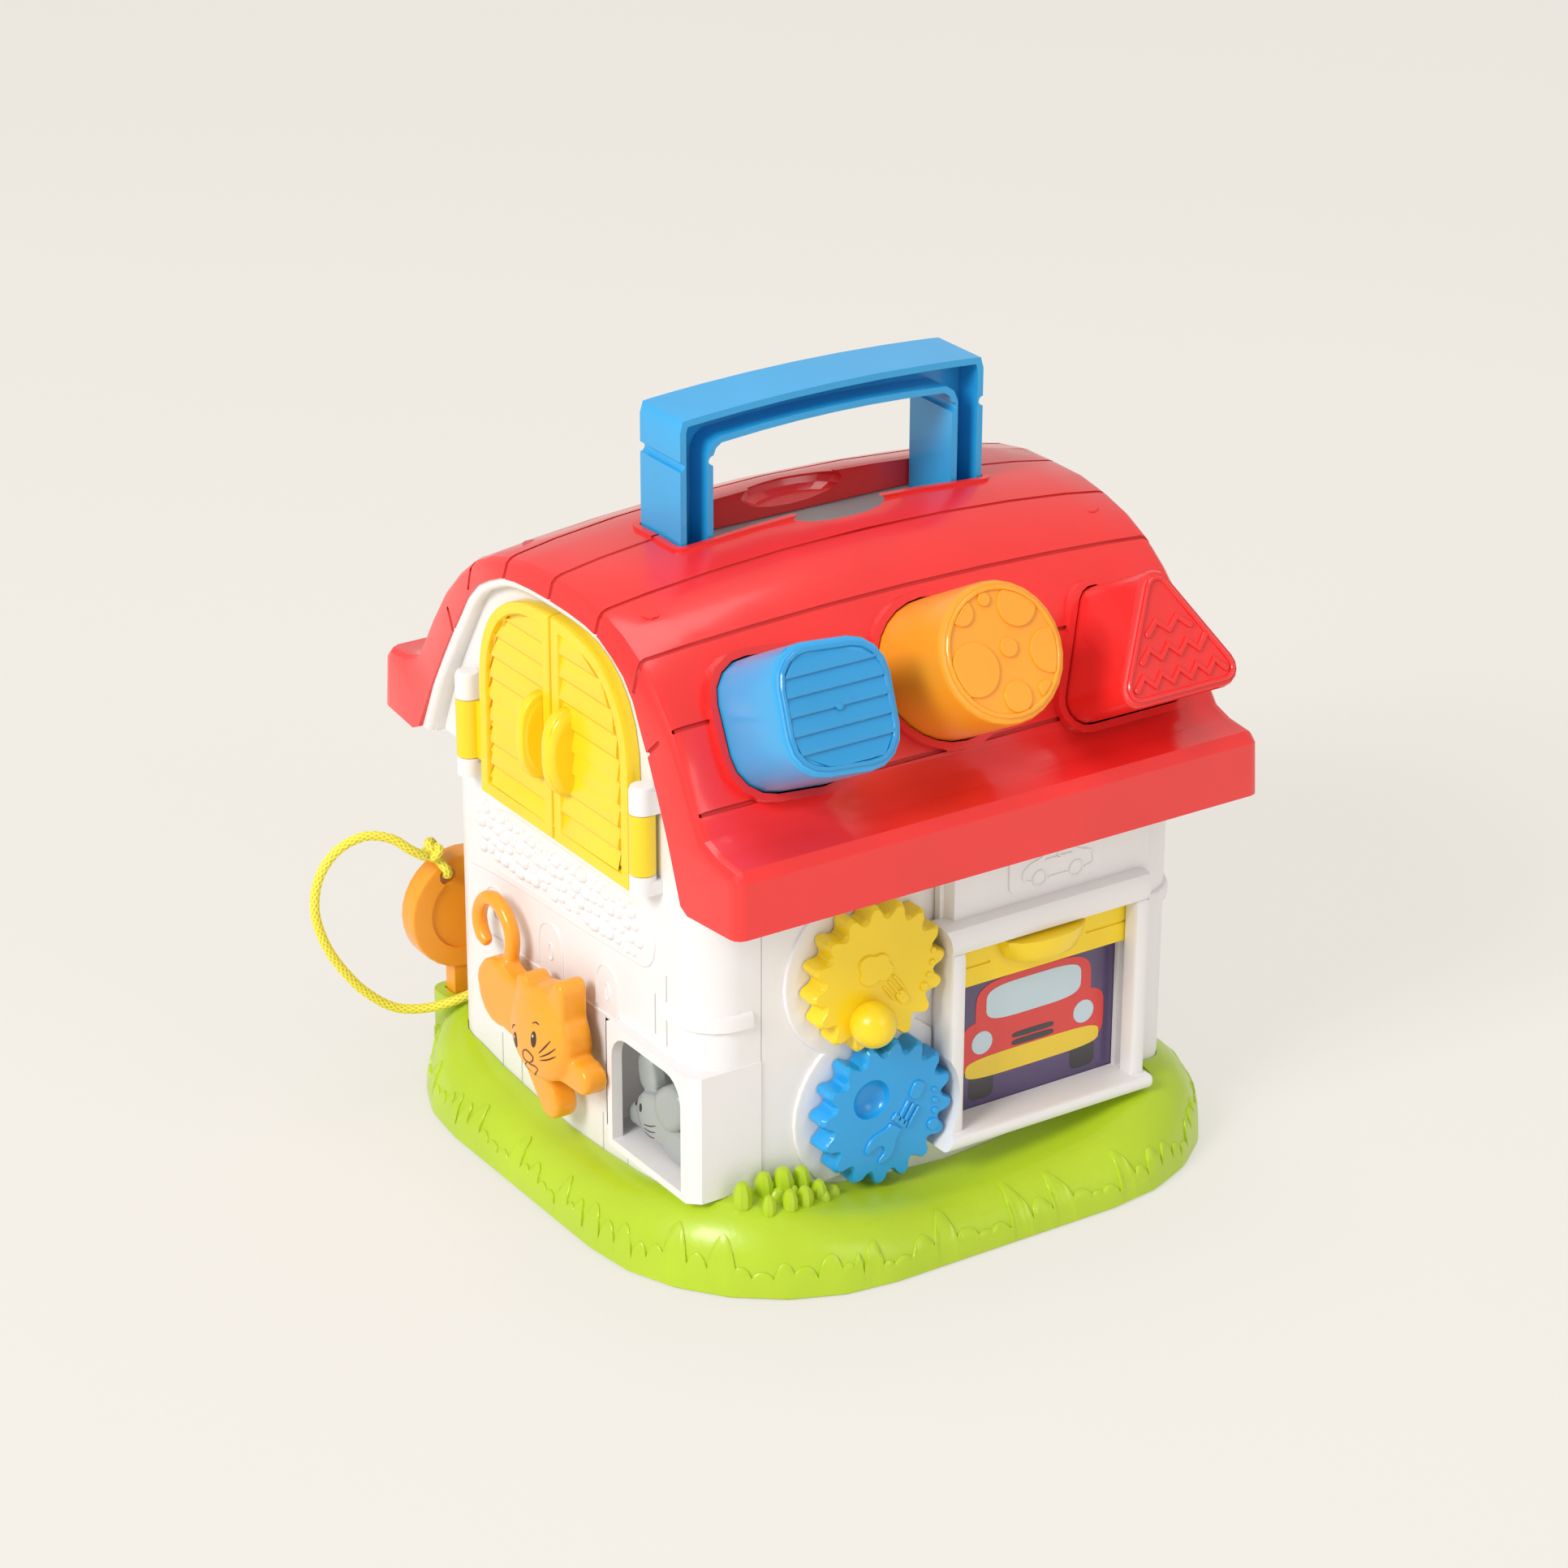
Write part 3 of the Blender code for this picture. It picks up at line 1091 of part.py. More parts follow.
def make_right_gable():
    wall = make_gable(1)
    face = BODY_HALF_X
    # Blind round-headed window
    outline = [(y, z) for y, z in window_outline(WINDOW_INSET)]
    join(wall, prism(shrink(outline, -FRAME_WIDTH), "x", face - SINK, face + FRAME_PROUD, FRAME_PROUD * 0.5))
    join(wall, prism(window_outline(WINDOW_INSET - WALL), "x", face - WINDOW_DEPTH - WALL, face - SINK))
    cut(wall, prism(outline, "x", face - WINDOW_DEPTH, face + FRAME_PROUD + OVERRUN))
    bar = box((face - WINDOW_DEPTH - SINK, -WALL, SHUTTER_LOW_Z + WINDOW_INSET - SINK),
              (face - SINK, WALL, SHUTTER_TOP_Z - WINDOW_INSET + SINK))
    cross = box((face - WINDOW_DEPTH - SINK, -WINDOW_HALF_Y, SHUTTER_SPRING_Z - WALL),
                (face - SINK, WINDOW_HALF_Y, SHUTTER_SPRING_Z + WALL))
    join(wall, join(bar, cross))
    return finish(wall, "right_gable_wall", "white_plastic")


def gear_centres():
    return ((YELLOW_GEAR_X, YELLOW_GEAR_Z), (BLUE_GEAR_X, BLUE_GEAR_Z))


def make_front_wall():
    low = BASE_FLOOR_Z + GAP
    face = -BODY_HALF_Y
    wall = box((-SEAM_X + GAP / 2, face, low), (SEAM_X - GAP / 2, face + WALL, EAVE_Z))
    soffit = box((-SOFFIT_X, -EAVE_HALF_Y + ROOF_THICKNESS + RUNNING_GAP, EAVE_Z - SINK),
                 (SOFFIT_X, face + WALL, EAVE_Z + WALL))
    cut(soffit, box((-SOFFIT_X - OVERRUN, -EAVE_HALF_Y, 0), (-SEAM_X + GAP / 2, 0, EAVE_Z + GAP)))
    cut(soffit, box((SEAM_X - GAP / 2, -EAVE_HALF_Y, 0), (SOFFIT_X + OVERRUN, 0, EAVE_Z + GAP)))
    join(wall, soffit)
    for x, z in gear_centres():
        disc = prism(circle(x, z, DISC_RADIUS, 32), "y", face + SINK, face - DISC_PROUD, DISC_PROUD * 0.6)
        cut(disc, box((-SEAM_X, face - OVERRUN, 0), (SEAM_X, face + OVERRUN, DISC_LOW_Z)))
        for low, reach_x in (
            (0, SILL_OVER * 2), (GARAGE_LOW_Z + GAP, 0), (GARAGE_HIGH_Z - GAP, LINTEL_OVER),
            (GARAGE_HIGH_Z + LINTEL_HEIGHT + GAP, 0),
        ):
            high = {0: GARAGE_LOW_Z + GAP, GARAGE_LOW_Z + GAP: GARAGE_HIGH_Z - GAP}.get(low, EAVE_Z)
            side_x = surround_low_x() - reach_x - GAP
            cut(disc, box((side_x, face - OVERRUN, low), (SEAM_X, face + OVERRUN, high)))
        join(wall, disc)
    for x, z in gear_centres():
        cut(wall, prism(circle(x, z, GEAR_BORE, 24), "y", face + OVERRUN * 2, face - OVERRUN * 2))
    return finish(wall, "front_wall", "white_plastic")


def make_back_wall():
    low = BASE_FLOOR_Z + GAP
    face = BODY_HALF_Y
    wall = box((-SEAM_X + GAP / 2, face - WALL, low), (SEAM_X - GAP / 2, face, EAVE_Z))
    soffit = box((-SOFFIT_X, face - WALL, EAVE_Z - SINK),
                 (SOFFIT_X, EAVE_HALF_Y - ROOF_THICKNESS - RUNNING_GAP, EAVE_Z + WALL))
    cut(soffit, box((-SOFFIT_X - OVERRUN, 0, 0), (-SEAM_X + GAP / 2, EAVE_HALF_Y, EAVE_Z + GAP)))
    cut(soffit, box((SEAM_X - GAP / 2, 0, 0), (SOFFIT_X + OVERRUN, EAVE_HALF_Y, EAVE_Z + GAP)))
    join(wall, soffit)
    inset = BACK_DOOR_OVER
    opening = rounded_rectangle(
        -BACK_DOOR_HALF_X + inset, BACK_DOOR_HALF_X - inset, BACK_DOOR_LOW_Z + inset, BACK_DOOR_HIGH_Z - inset,
        BACK_DOOR_CORNER - inset,
    )
    cut(wall, prism(opening, "y", face - OVERRUN, face + OVERRUN))
    x, y = back_hinge()
    for low, high in back_cups():
        cup = prism(circle(x, y, BACK_KNUCKLE, 18), "z", low, high, EDGE)
        join(cup, box((x - BACK_KNUCKLE, face - SINK, low), (x + BACK_KNUCKLE, y, high - EDGE)))
        join(wall, cup)
    bore = prism(circle(x, y, PIN_RADIUS + GAP, 10), "z", BACK_DOOR_LOW_Z + GAP, BACK_DOOR_HIGH_Z - GAP)
    cut(wall, bore)
    ax, ay, az = ROPE_ANCHOR
    cut(wall, prism(circle(ax, az, ROPE_RADIUS + RUNNING_GAP * 2, 16), "y", ay - OVERRUN * 2, ay + OVERRUN))
    return finish(wall, "back_wall", "white_plastic")


def back_hinge():
    return BACK_DOOR_HALF_X + BACK_KNUCKLE + RUNNING_GAP, BODY_HALF_Y + GAP + BACK_KNUCKLE


def back_cups():
    third = (BACK_DOOR_HIGH_Z - BACK_DOOR_LOW_Z) / 3
    return (
        (BACK_DOOR_LOW_Z, BACK_DOOR_LOW_Z + third - GAP),
        (BACK_DOOR_HIGH_Z - third + GAP, BACK_DOOR_HIGH_Z),
    )


def make_back_door():
    near = BODY_HALF_Y + GAP
    half = BACK_DOOR_HALF_X
    outline = rounded_rectangle(-half, half, BACK_DOOR_LOW_Z, BACK_DOOR_HIGH_Z, BACK_DOOR_CORNER)
    door = prism(outline, "y", near, near + BACK_DOOR_THICKNESS, EDGE)
    panel = shrink(outline, BACK_DOOR_CORNER * 0.6)
    cut(door, prism(panel, "y", near + BACK_DOOR_THICKNESS - EDGE, near + BACK_DOOR_THICKNESS + OVERRUN))
    x, y = back_hinge()
    (_, low), (high, _) = back_cups()
    low, high = low + GAP * 2, high - GAP * 2
    knuckle = prism(circle(x, y, BACK_KNUCKLE, 18), "z", low, high)
    join(knuckle, box((BACK_DOOR_HALF_X - OVERRUN, near, low), (x, near + BACK_DOOR_THICKNESS, high)))
    cut(knuckle, prism(circle(x, y, PIN_RADIUS + GAP, 10), "z", low - OVERRUN, high + OVERRUN))
    join(door, knuckle)
    cut(door, prism(circle(LOCK_X, LOCK_Z, LOCK_BODY + RUNNING_GAP, 24), "y", near - OVERRUN, near + OVERRUN))
    finish(door, "back_door", "yellow_plastic", (x, y, BACK_DOOR_LOW_Z))
    pin = prism(circle(x, y, PIN_RADIUS, 10), "z", BACK_DOOR_LOW_Z + GAP * 2, BACK_DOOR_HIGH_Z - GAP * 2)
    finish(pin, "back_door_pin", "steel")
    # Lock: a barrel through the door, a latch behind the wall, a screw through both
    front = near + BACK_DOOR_THICKNESS + GAP
    back = BODY_HALF_Y - WALL - RUNNING_GAP
    barrel = prism(circle(LOCK_X, LOCK_Z, LOCK_RADIUS, 28), "y", front, front + LOCK_PROUD, EDGE)
    join(barrel, prism(circle(LOCK_X, LOCK_Z, LOCK_BODY, 20), "y", back + GAP, front + SINK))
    half_x, half_z = KEY_SHANK_THICKNESS / 2 + GAP, KEY_SHANK_HALF + GAP
    cut(barrel, box((LOCK_X - half_x, front + EDGE, LOCK_Z - half_z),
                    (LOCK_X + half_x, front + LOCK_PROUD + OVERRUN, LOCK_Z + half_z)))
    cut(barrel, prism(circle(LOCK_X, LOCK_Z, SCREW_RADIUS + GAP, 10), "y", back - OVERRUN, near))
    origin = (LOCK_X, front, LOCK_Z)
    finish(barrel, "lock_barrel", "orange_plastic", origin)
    latch = prism(capsule((LOCK_X, LOCK_Z), (LOCK_X, LOCK_Z + LATCH_REACH - LATCH_HALF), LATCH_HALF), "y",
                  back - WALL, back)
    hole = circle(LOCK_X, LOCK_Z, SCREW_RADIUS + GAP, 10)
    cut(latch, prism(hole, "y", back - WALL - OVERRUN, back + OVERRUN))
    finish(latch, "lock_latch", "grey_plastic", origin)
    made = screw("lock_screw", LOCK_X, LOCK_Z, back - WALL - GAP - SCREW_HEAD_HEIGHT, near - WALL / 2, "y")
    move_origin(made, origin)


def move_origin(obj, origin):
    obj.data.transform(Matrix.Translation(-Vector(origin)))
    obj.location = origin


# Gears

def make_gear(x, z, phase):
    face = -BODY_HALF_Y - DISC_PROUD - RUNNING_GAP
    front = face - GEAR_THICKNESS

    def outline(inset):
        points = []
        count = GEAR_TEETH * TOOTH_STEPS
        for i in range(count):
            a = phase + 2 * math.pi * (i + 0.5) / count
            swing = math.cos(GEAR_TEETH * (a - phase))
            wave = (1 + math.copysign(abs(swing) ** TOOTH_POWER, swing)) / 2
            r = GEAR_ROOT + (GEAR_TIP - GEAR_ROOT) * wave - inset
            points.append((x + r * math.cos(a), z + r * math.sin(a)))
        return points

    levels = ((0, face), (0, front + GEAR_EDGE), (GEAR_EDGE, front))
    gear = skin([[(px, y, pz) for px, pz in outline(inset)] for inset, y in levels])
    end = -BODY_HALF_Y + WALL + GAP
    join(gear, prism(circle(x, z, GEAR_SHAFT, 20), "y", face - SINK, end))
    cut(gear, prism(circle(x, z, SCREW_RADIUS + GAP, 10), "y", end + OVERRUN, face + RUNNING_GAP))
    return gear, front, end


def gear_pins(name, x, z, end, origin):
    washer = prism(circle(x, z, WASHER_RADIUS, 24), "y", end + GAP, end + GAP + WASHER_THICKNESS)
    cut(washer, prism(circle(x, z, SCREW_RADIUS + GAP, 10), "y", end - OVERRUN, end + OVERRUN))
    finish(washer, f"{name}_washer", "grey_plastic", origin)
    head = end + WASHER_THICKNESS + GAP * 2 + SCREW_HEAD_HEIGHT
    made = screw(f"{name}_screw", x, z, head, -BODY_HALF_Y - DISC_PROUD, "y")
    move_origin(made, origin)


def make_gears():
    (yx, yz), (bx, bz) = gear_centres()
    heading = math.atan2(bz - yz, bx - yx)
    gear, front, end = make_gear(yx, yz, heading)
    knob_x = yx + KNOB_REACH * math.sin(KNOB_ANGLE)
    knob = (knob_x, front - KNOB_RADIUS * 0.5, yz - KNOB_REACH * math.cos(KNOB_ANGLE))
    join(gear, ellipsoid(knob, (KNOB_RADIUS, KNOB_RADIUS, KNOB_RADIUS), 20, 12))
    origin = (yx, front, yz)
    finish(gear, "yellow_gear", "yellow_plastic", origin, smooth=35)
    gear_pins("yellow_gear", yx, yz, end, origin)
    gear, front, end = make_gear(bx, bz, heading + math.pi + math.pi / GEAR_TEETH)
    dish = (bx + DISH_REACH * math.sin(DISH_ANGLE), front, bz + DISH_REACH * math.cos(DISH_ANGLE))
    cut(gear, ellipsoid(dish, (DISH_RADIUS, DISH_DEPTH, DISH_RADIUS), 20, 12))
    origin = (bx, front, bz)
    finish(gear, "blue_gear", "blue_plastic", origin, smooth=35)
    gear_pins("blue_gear", bx, bz, end, origin)


# Shutters

def make_shutter(side):
    name = "right_shutter" if side < 0 else "left_shutter"
    face = -BODY_HALF_X - GAP
    outer = face - SHUTTER_PLATE
    outline = shutter_outline(side)
    plate = prism(outline, "x", face, outer - SHUTTER_RIM_PROUD, EDGE)
    panel = shrink(outline, SHUTTER_RIM)
    cut(plate, prism(panel, "x", outer, outer - OVERRUN))
    step = (SHUTTER_SPRING_Z + (SHUTTER_TOP_Z - SHUTTER_SPRING_Z) * 0.6 - SHUTTER_LOW_Z - SHUTTER_RIM)
    for i in range(SHUTTER_SLATS):
        z = SHUTTER_LOW_Z + SHUTTER_RIM * 1.3 + step * i / SHUTTER_SLATS
        far = SHUTTER_HALF_Y - SHUTTER_RIM * (0.9 if i < 4 else 2.2)
        ends = sorted((side * SHUTTER_RIM * 0.9, side * far))
        pitch = step / SHUTTER_SLATS
        slat = [
            (outer + SINK, z), (outer + SINK, z + pitch * 0.9),
            (outer - SLAT_PROUD * 0.2, z + pitch * 0.8), (outer - SLAT_PROUD, z + pitch * 0.12),
        ]
        join(plate, skin([[(x, y, zz) for x, zz in slat] for y in ends]))
    join(plate, shutter_grip(side * GRIP_Y, outer))
    hx, hy = -BODY_HALF_X - HINGE_OUT, side * HINGE_Y
    knuckle = prism(circle(hx, hy, HINGE_RADIUS, 20), "z", KNUCKLE_LOW_Z, KNUCKLE_HIGH_Z)
    arm = sorted((side * (SHUTTER_HALF_Y - SHUTTER_RIM / 2), hy))
    join(knuckle, box((outer - SHUTTER_RIM_PROUD, arm[0], KNUCKLE_LOW_Z), (face - GAP, arm[1], KNUCKLE_HIGH_Z)))
    hole = circle(hx, hy, PIN_RADIUS + GAP, 10)
    cut(knuckle, prism(hole, "z", KNUCKLE_LOW_Z - OVERRUN, KNUCKLE_HIGH_Z + OVERRUN))
    join(plate, knuckle)
    finish(plate, name, "yellow_plastic", (hx, hy, KNUCKLE_LOW_Z), smooth=35)
    pin = prism(circle(hx, hy, PIN_RADIUS, 10), "z", KNUCKLE_LOW_Z - PIN_END, KNUCKLE_HIGH_Z + PIN_END)
    finish(pin, f"{name}_pin", "steel")


def shutter_grip(y, outer):
    """A D-shaped pull with rounded edges, its flat back sunk into the leaf."""
    half = GRIP_HEIGHT / 2
    rings = []
    for across, share in GRIP_SHARES:
        ring = []
        for i in range(GRIP_STEPS + 1):
            angle = math.pi * (i / GRIP_STEPS - 0.5)
            ring.append((
                outer - GRIP_PROUD * share * max(math.cos(angle), 0) ** ARCH_POWER,
                y + GRIP_HALF * across,
                GRIP_LOW_Z + half + half * share * math.sin(angle),
            ))
        ring += [(outer + SINK, ring[0][1], ring[-1][2]), (outer + SINK, ring[0][1], ring[0][2])]
        rings.append(ring)
    return skin(rings)


# Garage

def surround_low_x():
    return GARAGE_LOW_X - POST_WIDTH + POST_INSET


def make_garage():
    back = -BODY_HALF_Y - GAP
    left, right = surround_low_x(), GARAGE_HIGH_X + POST_WIDTH
    outer = right - POST_INSET
    sill_low = GARAGE_LOW_Z - SILL_HEIGHT
    top = EAVE_Z - HEADER_TOP_DROP
    plate = box((left + SINK, back - POST_STEP, sill_low + SINK), (right + POST_FOOT - SINK, back, top), EDGE)
    profile = [
        (left + SINK * 2, back - SINK), (left + HEADER_SLOPE, back - HEADER_PROUD),
        (outer + HEADER_SLOPE / 2, back - HEADER_PROUD), (right - SINK, back - SINK),
    ]
    join(plate, skin([[(x, y, z) for x, y in profile] for z in (GARAGE_HIGH_Z + SINK, top - SINK)]))
    for low, high in ((left, GARAGE_LOW_X), (GARAGE_HIGH_X, outer)):
        corners = (low, back - POST_PROUD, sill_low + SINK * 2), (high, back - SINK, GARAGE_HIGH_Z + SINK * 2)
        join(plate, box(*corners, BAR_ROUNDING))
    low = (left - LINTEL_OVER, back - LINTEL_PROUD, GARAGE_HIGH_Z)
    high = (outer + POST_FOOT, back, GARAGE_HIGH_Z + LINTEL_HEIGHT)
    join(plate, box(low, high, BAR_ROUNDING * 2))
    corners = (left - SILL_OVER * 2, back - SILL_PROUD, sill_low), (outer + SILL_END, back, GARAGE_LOW_Z)
    join(plate, box(*corners, BAR_ROUNDING))
    sides = (PLAQUE_X, PLAQUE_X + PLAQUE_WIDTH, PLAQUE_Z, PLAQUE_Z + PLAQUE_HEIGHT)
    plaque = rounded_rectangle(*sides, PLAQUE_HEIGHT / 5)
    header = back - HEADER_PROUD
    join(plate, prism(plaque, "y", header + SINK, header - PLAQUE_PROUD, PLAQUE_PROUD / 2))
    for x, z in gear_centres():
        sweep = GEAR_TIP + RUNNING_GAP
        cut(plate, prism(circle(x, z, sweep, 48), "y", back + OVERRUN, back - SILL_PROUD - OVERRUN))
    low = (GARAGE_LOW_X, back - SILL_PROUD * 2, GARAGE_LOW_Z)
    cut(plate, box(low, (GARAGE_HIGH_X, back + OVERRUN, GARAGE_HIGH_Z)))
    # Channel for the door, pocket for the picture
    door_front = back - DOOR_FORWARD
    door_back = door_front + DOOR_THICKNESS
    low_x, high_x = GARAGE_LOW_X - DOOR_OVER_LEFT, GARAGE_HIGH_X + DOOR_OVER
    cut(plate, box((low_x - RUNNING_GAP, door_front - RUNNING_GAP, GARAGE_LOW_Z),
                   (high_x + RUNNING_GAP, door_back + RUNNING_GAP, top + OVERRUN)))
    card_front = back - CARD_THICKNESS
    card_low = (GARAGE_LOW_X - CARD_OVER, card_front, GARAGE_LOW_Z - CARD_OVER)
    card_high = (GARAGE_HIGH_X + CARD_OVER, back, GARAGE_HIGH_Z + CARD_OVER)
    pocket_low = [a - GAP for a in card_low]
    pocket_high = [card_high[0] + GAP, back + OVERRUN, card_high[2] + GAP]
    cut(plate, box(pocket_low, pocket_high))
    finish(plate, "garage_surround", "white_plastic")
    finish(box(card_low, card_high), "garage_picture", "printed_card")

    door = box((low_x, door_front, DOOR_LOW_Z), (high_x, door_back, DOOR_LOW_Z + DOOR_HEIGHT))
    rings = []
    for rise, share in DOOR_GRIP_SHARES:
        ring = []
        for i in range(GRIP_STEPS + 1):
            angle = math.pi * i / GRIP_STEPS
            ring.append((
                DOOR_GRIP_X + DOOR_GRIP_HALF * share * math.cos(angle),
                door_front - DOOR_GRIP_PROUD * share * math.sin(angle) ** ARCH_POWER,
                DOOR_LOW_Z + DOOR_GRIP_RISE + DOOR_GRIP_HEIGHT * rise,
            ))
        ring += [(ring[-1][0], door_front + SINK, ring[0][2]), (ring[0][0], door_front + SINK, ring[0][2])]
        rings.append(ring)
    join(door, skin(rings))
    sides = (
        (low_x - OVERRUN, DOOR_GRIP_X - DOOR_GRIP_HALF - OVERRUN),
        (DOOR_GRIP_X + DOOR_GRIP_HALF + OVERRUN, high_x + OVERRUN),
    )
    for share in DOOR_GROOVE_SHARES:
        z = DOOR_LOW_Z + DOOR_HEIGHT * share
        for near_x, far_x in sides:
            deep = door_front + DOOR_GROOVE
            cut(door, box((near_x, door_front - OVERRUN, z), (far_x, deep, z + DOOR_GROOVE * 2)))
    finish(door, "garage_door", "yellow_plastic", (DOOR_GRIP_X, door_front, DOOR_LOW_Z))


# Cat, mouse and the slider that carries both

def make_chase():
    face = -BODY_HALF_X
    back = face - CAT_BACK
    head = []
    hy, hz = CAT_HEAD
    for i in range(24):
        a = 2 * math.pi * i / 24
        head.append((hy + CAT_HEAD_RADIUS * CAT_WIDE_SHARE * math.cos(a), hz + CAT_HEAD_RADIUS * math.sin(a)))
    cat = dome_prism(head, back, back - CAT_HEAD_DEPTH)
    for (ay, az), (by, bz), size, tip in CAT_EARS_SHARES:
        ear = capsule((hy + ay * CAT_HEAD_RADIUS, hz + az * CAT_HEAD_RADIUS),
                      (hy + by * CAT_HEAD_RADIUS, hz + bz * CAT_HEAD_RADIUS),
                      size * CAT_HEAD_RADIUS, 6, tip * CAT_HEAD_RADIUS)
        join(cat, prism(ear, "x", back, back - CAT_HEAD_DEPTH * EAR_DEPTH_SHARE, EDGE * 2))
    for (ay, az), (by, bz), size, tip in CAT_LIMBS_SHARES:
        limb = capsule((hy + ay * CAT_HEAD_RADIUS, hz + az * CAT_HEAD_RADIUS),
                       (hy + by * CAT_HEAD_RADIUS, hz + bz * CAT_HEAD_RADIUS),
                       size * CAT_HEAD_RADIUS, 7, tip * CAT_HEAD_RADIUS)
        join(cat, prism(limb, "x", back, back - CAT_LIMB_DEPTH, EDGE * 3))
    tail = [(back - TAIL_RADIUS, hy + y * CAT_HEAD_RADIUS, hz + z * CAT_HEAD_RADIUS) for y, z in TAIL_SHARES]
    join(cat, tube(tail, TAIL_RADIUS, 10))
    stem_end = face + WALL - GAP
    join(cat, prism(circle(STEM_Y, STEM_Z, STEM_RADIUS, 16), "x", back - SINK * 2, stem_end))
    cut(cat, prism(circle(STEM_Y, STEM_Z, SCREW_RADIUS + GAP, 10), "x", stem_end + OVERRUN, back))
    origin = (face, STEM_Y, STEM_Z)
    finish(cat, "cat", "orange_plastic", origin, smooth=35)

    near = face + NICHE_SETBACK
    inside = face + NICHE_DEPTH
    deep = near + MOUSE_DEPTH
    mouse = None
    for (ay, az), (by, bz), size, tip, depth in MOUSE_LOBES_SHARES:
        lobe = capsule((MOUSE_Y + ay * MOUSE_SIZE, MOUSE_Z + az * MOUSE_SIZE),
                       (MOUSE_Y + by * MOUSE_SIZE, MOUSE_Z + bz * MOUSE_SIZE), size * MOUSE_SIZE, 7, tip * MOUSE_SIZE)
        made = dome_prism(lobe, deep, deep - MOUSE_DEPTH * depth)
        mouse = join(mouse, made) if mouse else made
    end = inside + WALL - GAP
    join(mouse, prism(circle(MOUSE_STEM_Y, MOUSE_Z, STEM_RADIUS, 16), "x", deep - SINK * 2, end))
    cut(mouse, prism(circle(MOUSE_STEM_Y, MOUSE_Z, SCREW_RADIUS + GAP, 10), "x", end + OVERRUN, deep - WALL))
    finish(mouse, "mouse", "grey_plastic", origin, smooth=35)

    wall_back = face + WALL + GAP
    rear = inside + WALL + GAP
    low_z, high_z = STEM_Z - SLIDER_HALF, STEM_Z + SLIDER_HALF
    slider = box((wall_back, SLIDER_JOG_Y, low_z), (wall_back + SLIDER_THICKNESS, SLIDER_END_Y, high_z))
    jog_x, jog_y = rear + SLIDER_THICKNESS, SLIDER_JOG_Y + SLIDER_THICKNESS
    jog = box((wall_back, SLIDER_JOG_Y, low_z), (jog_x, jog_y, high_z))
    join(slider, jog)
    tail_y = MOUSE_STEM_Y - STEM_RADIUS - WALL
    join(slider, box((rear, tail_y, MOUSE_Z - STEM_RADIUS - WALL), (jog_x, jog_y, high_z)))
    for y, z in ((STEM_Y, STEM_Z), (MOUSE_STEM_Y, MOUSE_Z)):
        cut(slider, prism(circle(y, z, SCREW_RADIUS + GAP, 10), "x", face, rear + OVERRUN))
    finish(slider, "chase_slider", "grey_plastic", origin)
    for name, y, z, start, tip in (
        ("cat_screw", STEM_Y, STEM_Z, wall_back + SLIDER_THICKNESS, face - WALL),
        ("mouse_screw", MOUSE_STEM_Y, MOUSE_Z, rear + SLIDER_THICKNESS, inside - WALL),
    ):
        move_origin(screw(name, y, z, start + GAP + SCREW_HEAD_HEIGHT, tip, "x"), origin)


def dome_prism(outline, low, high):
    """A block with a softly domed face at its high end."""
    sign = 1 if high > low else -1
    size = abs(high - low)
    centre = np.mean(outline, axis=0)
    rings = [[place("x", p, low) for p in outline], [place("x", p, high - sign * size * 0.3) for p in outline]]
    for share, rise in DOME_SHARES:
        shrunk = [centre + (np.array(p) - centre) * share for p in outline]
        rings.append([place("x", tuple(p), high - sign * size * 0.3 * (1 - rise)) for p in shrunk])
    return skin(rings)


def smooth_path(route, step):
    """Points at even steps along a Catmull-Rom curve through the route."""
    knots = np.array([route[0]] + list(route) + [route[-1]], float)
    fine = []
    for i in range(1, len(knots) - 2):
        p0, p1, p2, p3 = knots[i - 1:i + 3]
        for t in np.linspace(0, 1, 24, endpoint=False):
            fine.append(0.5 * (2 * p1 + (p2 - p0) * t + (2 * p0 - 5 * p1 + 4 * p2 - p3) * t * t
                               + (3 * p1 - p0 - 3 * p2 + p3) * t ** 3))
    fine.append(knots[-1])
    fine = np.array(fine)
    along = np.concatenate([[0], np.cumsum(np.linalg.norm(np.diff(fine, axis=0), axis=1))])
    at = np.linspace(0, along[-1], max(2, int(round(along[-1] / step)) + 1))
    return np.stack([np.interp(at, along, fine[:, k]) for k in range(3)], 1)


def tube(route, radius, sides):
    """A round bar swept along a smooth path, its ends domed by a smaller ring."""
    path = [Vector(p) for p in smooth_path(route, radius * 1.3)]
    rings = []
    guide = Vector((1, 0, 0))
    for i, point in enumerate(path):
        ahead = (path[min(i + 1, len(path) - 1)] - path[max(i - 1, 0)]).normalized()
        across = ahead.cross(guide).normalized()
        other = ahead.cross(across).normalized()
        scale = radius * (0.75 if i in (0, len(path) - 1) else 1)
        rings.append([point + (across * math.cos(a) + other * math.sin(a)) * scale
                      for a in (2 * math.pi * k / sides for k in range(sides))])
    return skin(rings)


# Key, knot and rope

def key_radial():
    return Vector((-math.sin(KEY_HOLE_ANGLE), 0, math.cos(KEY_HOLE_ANGLE)))


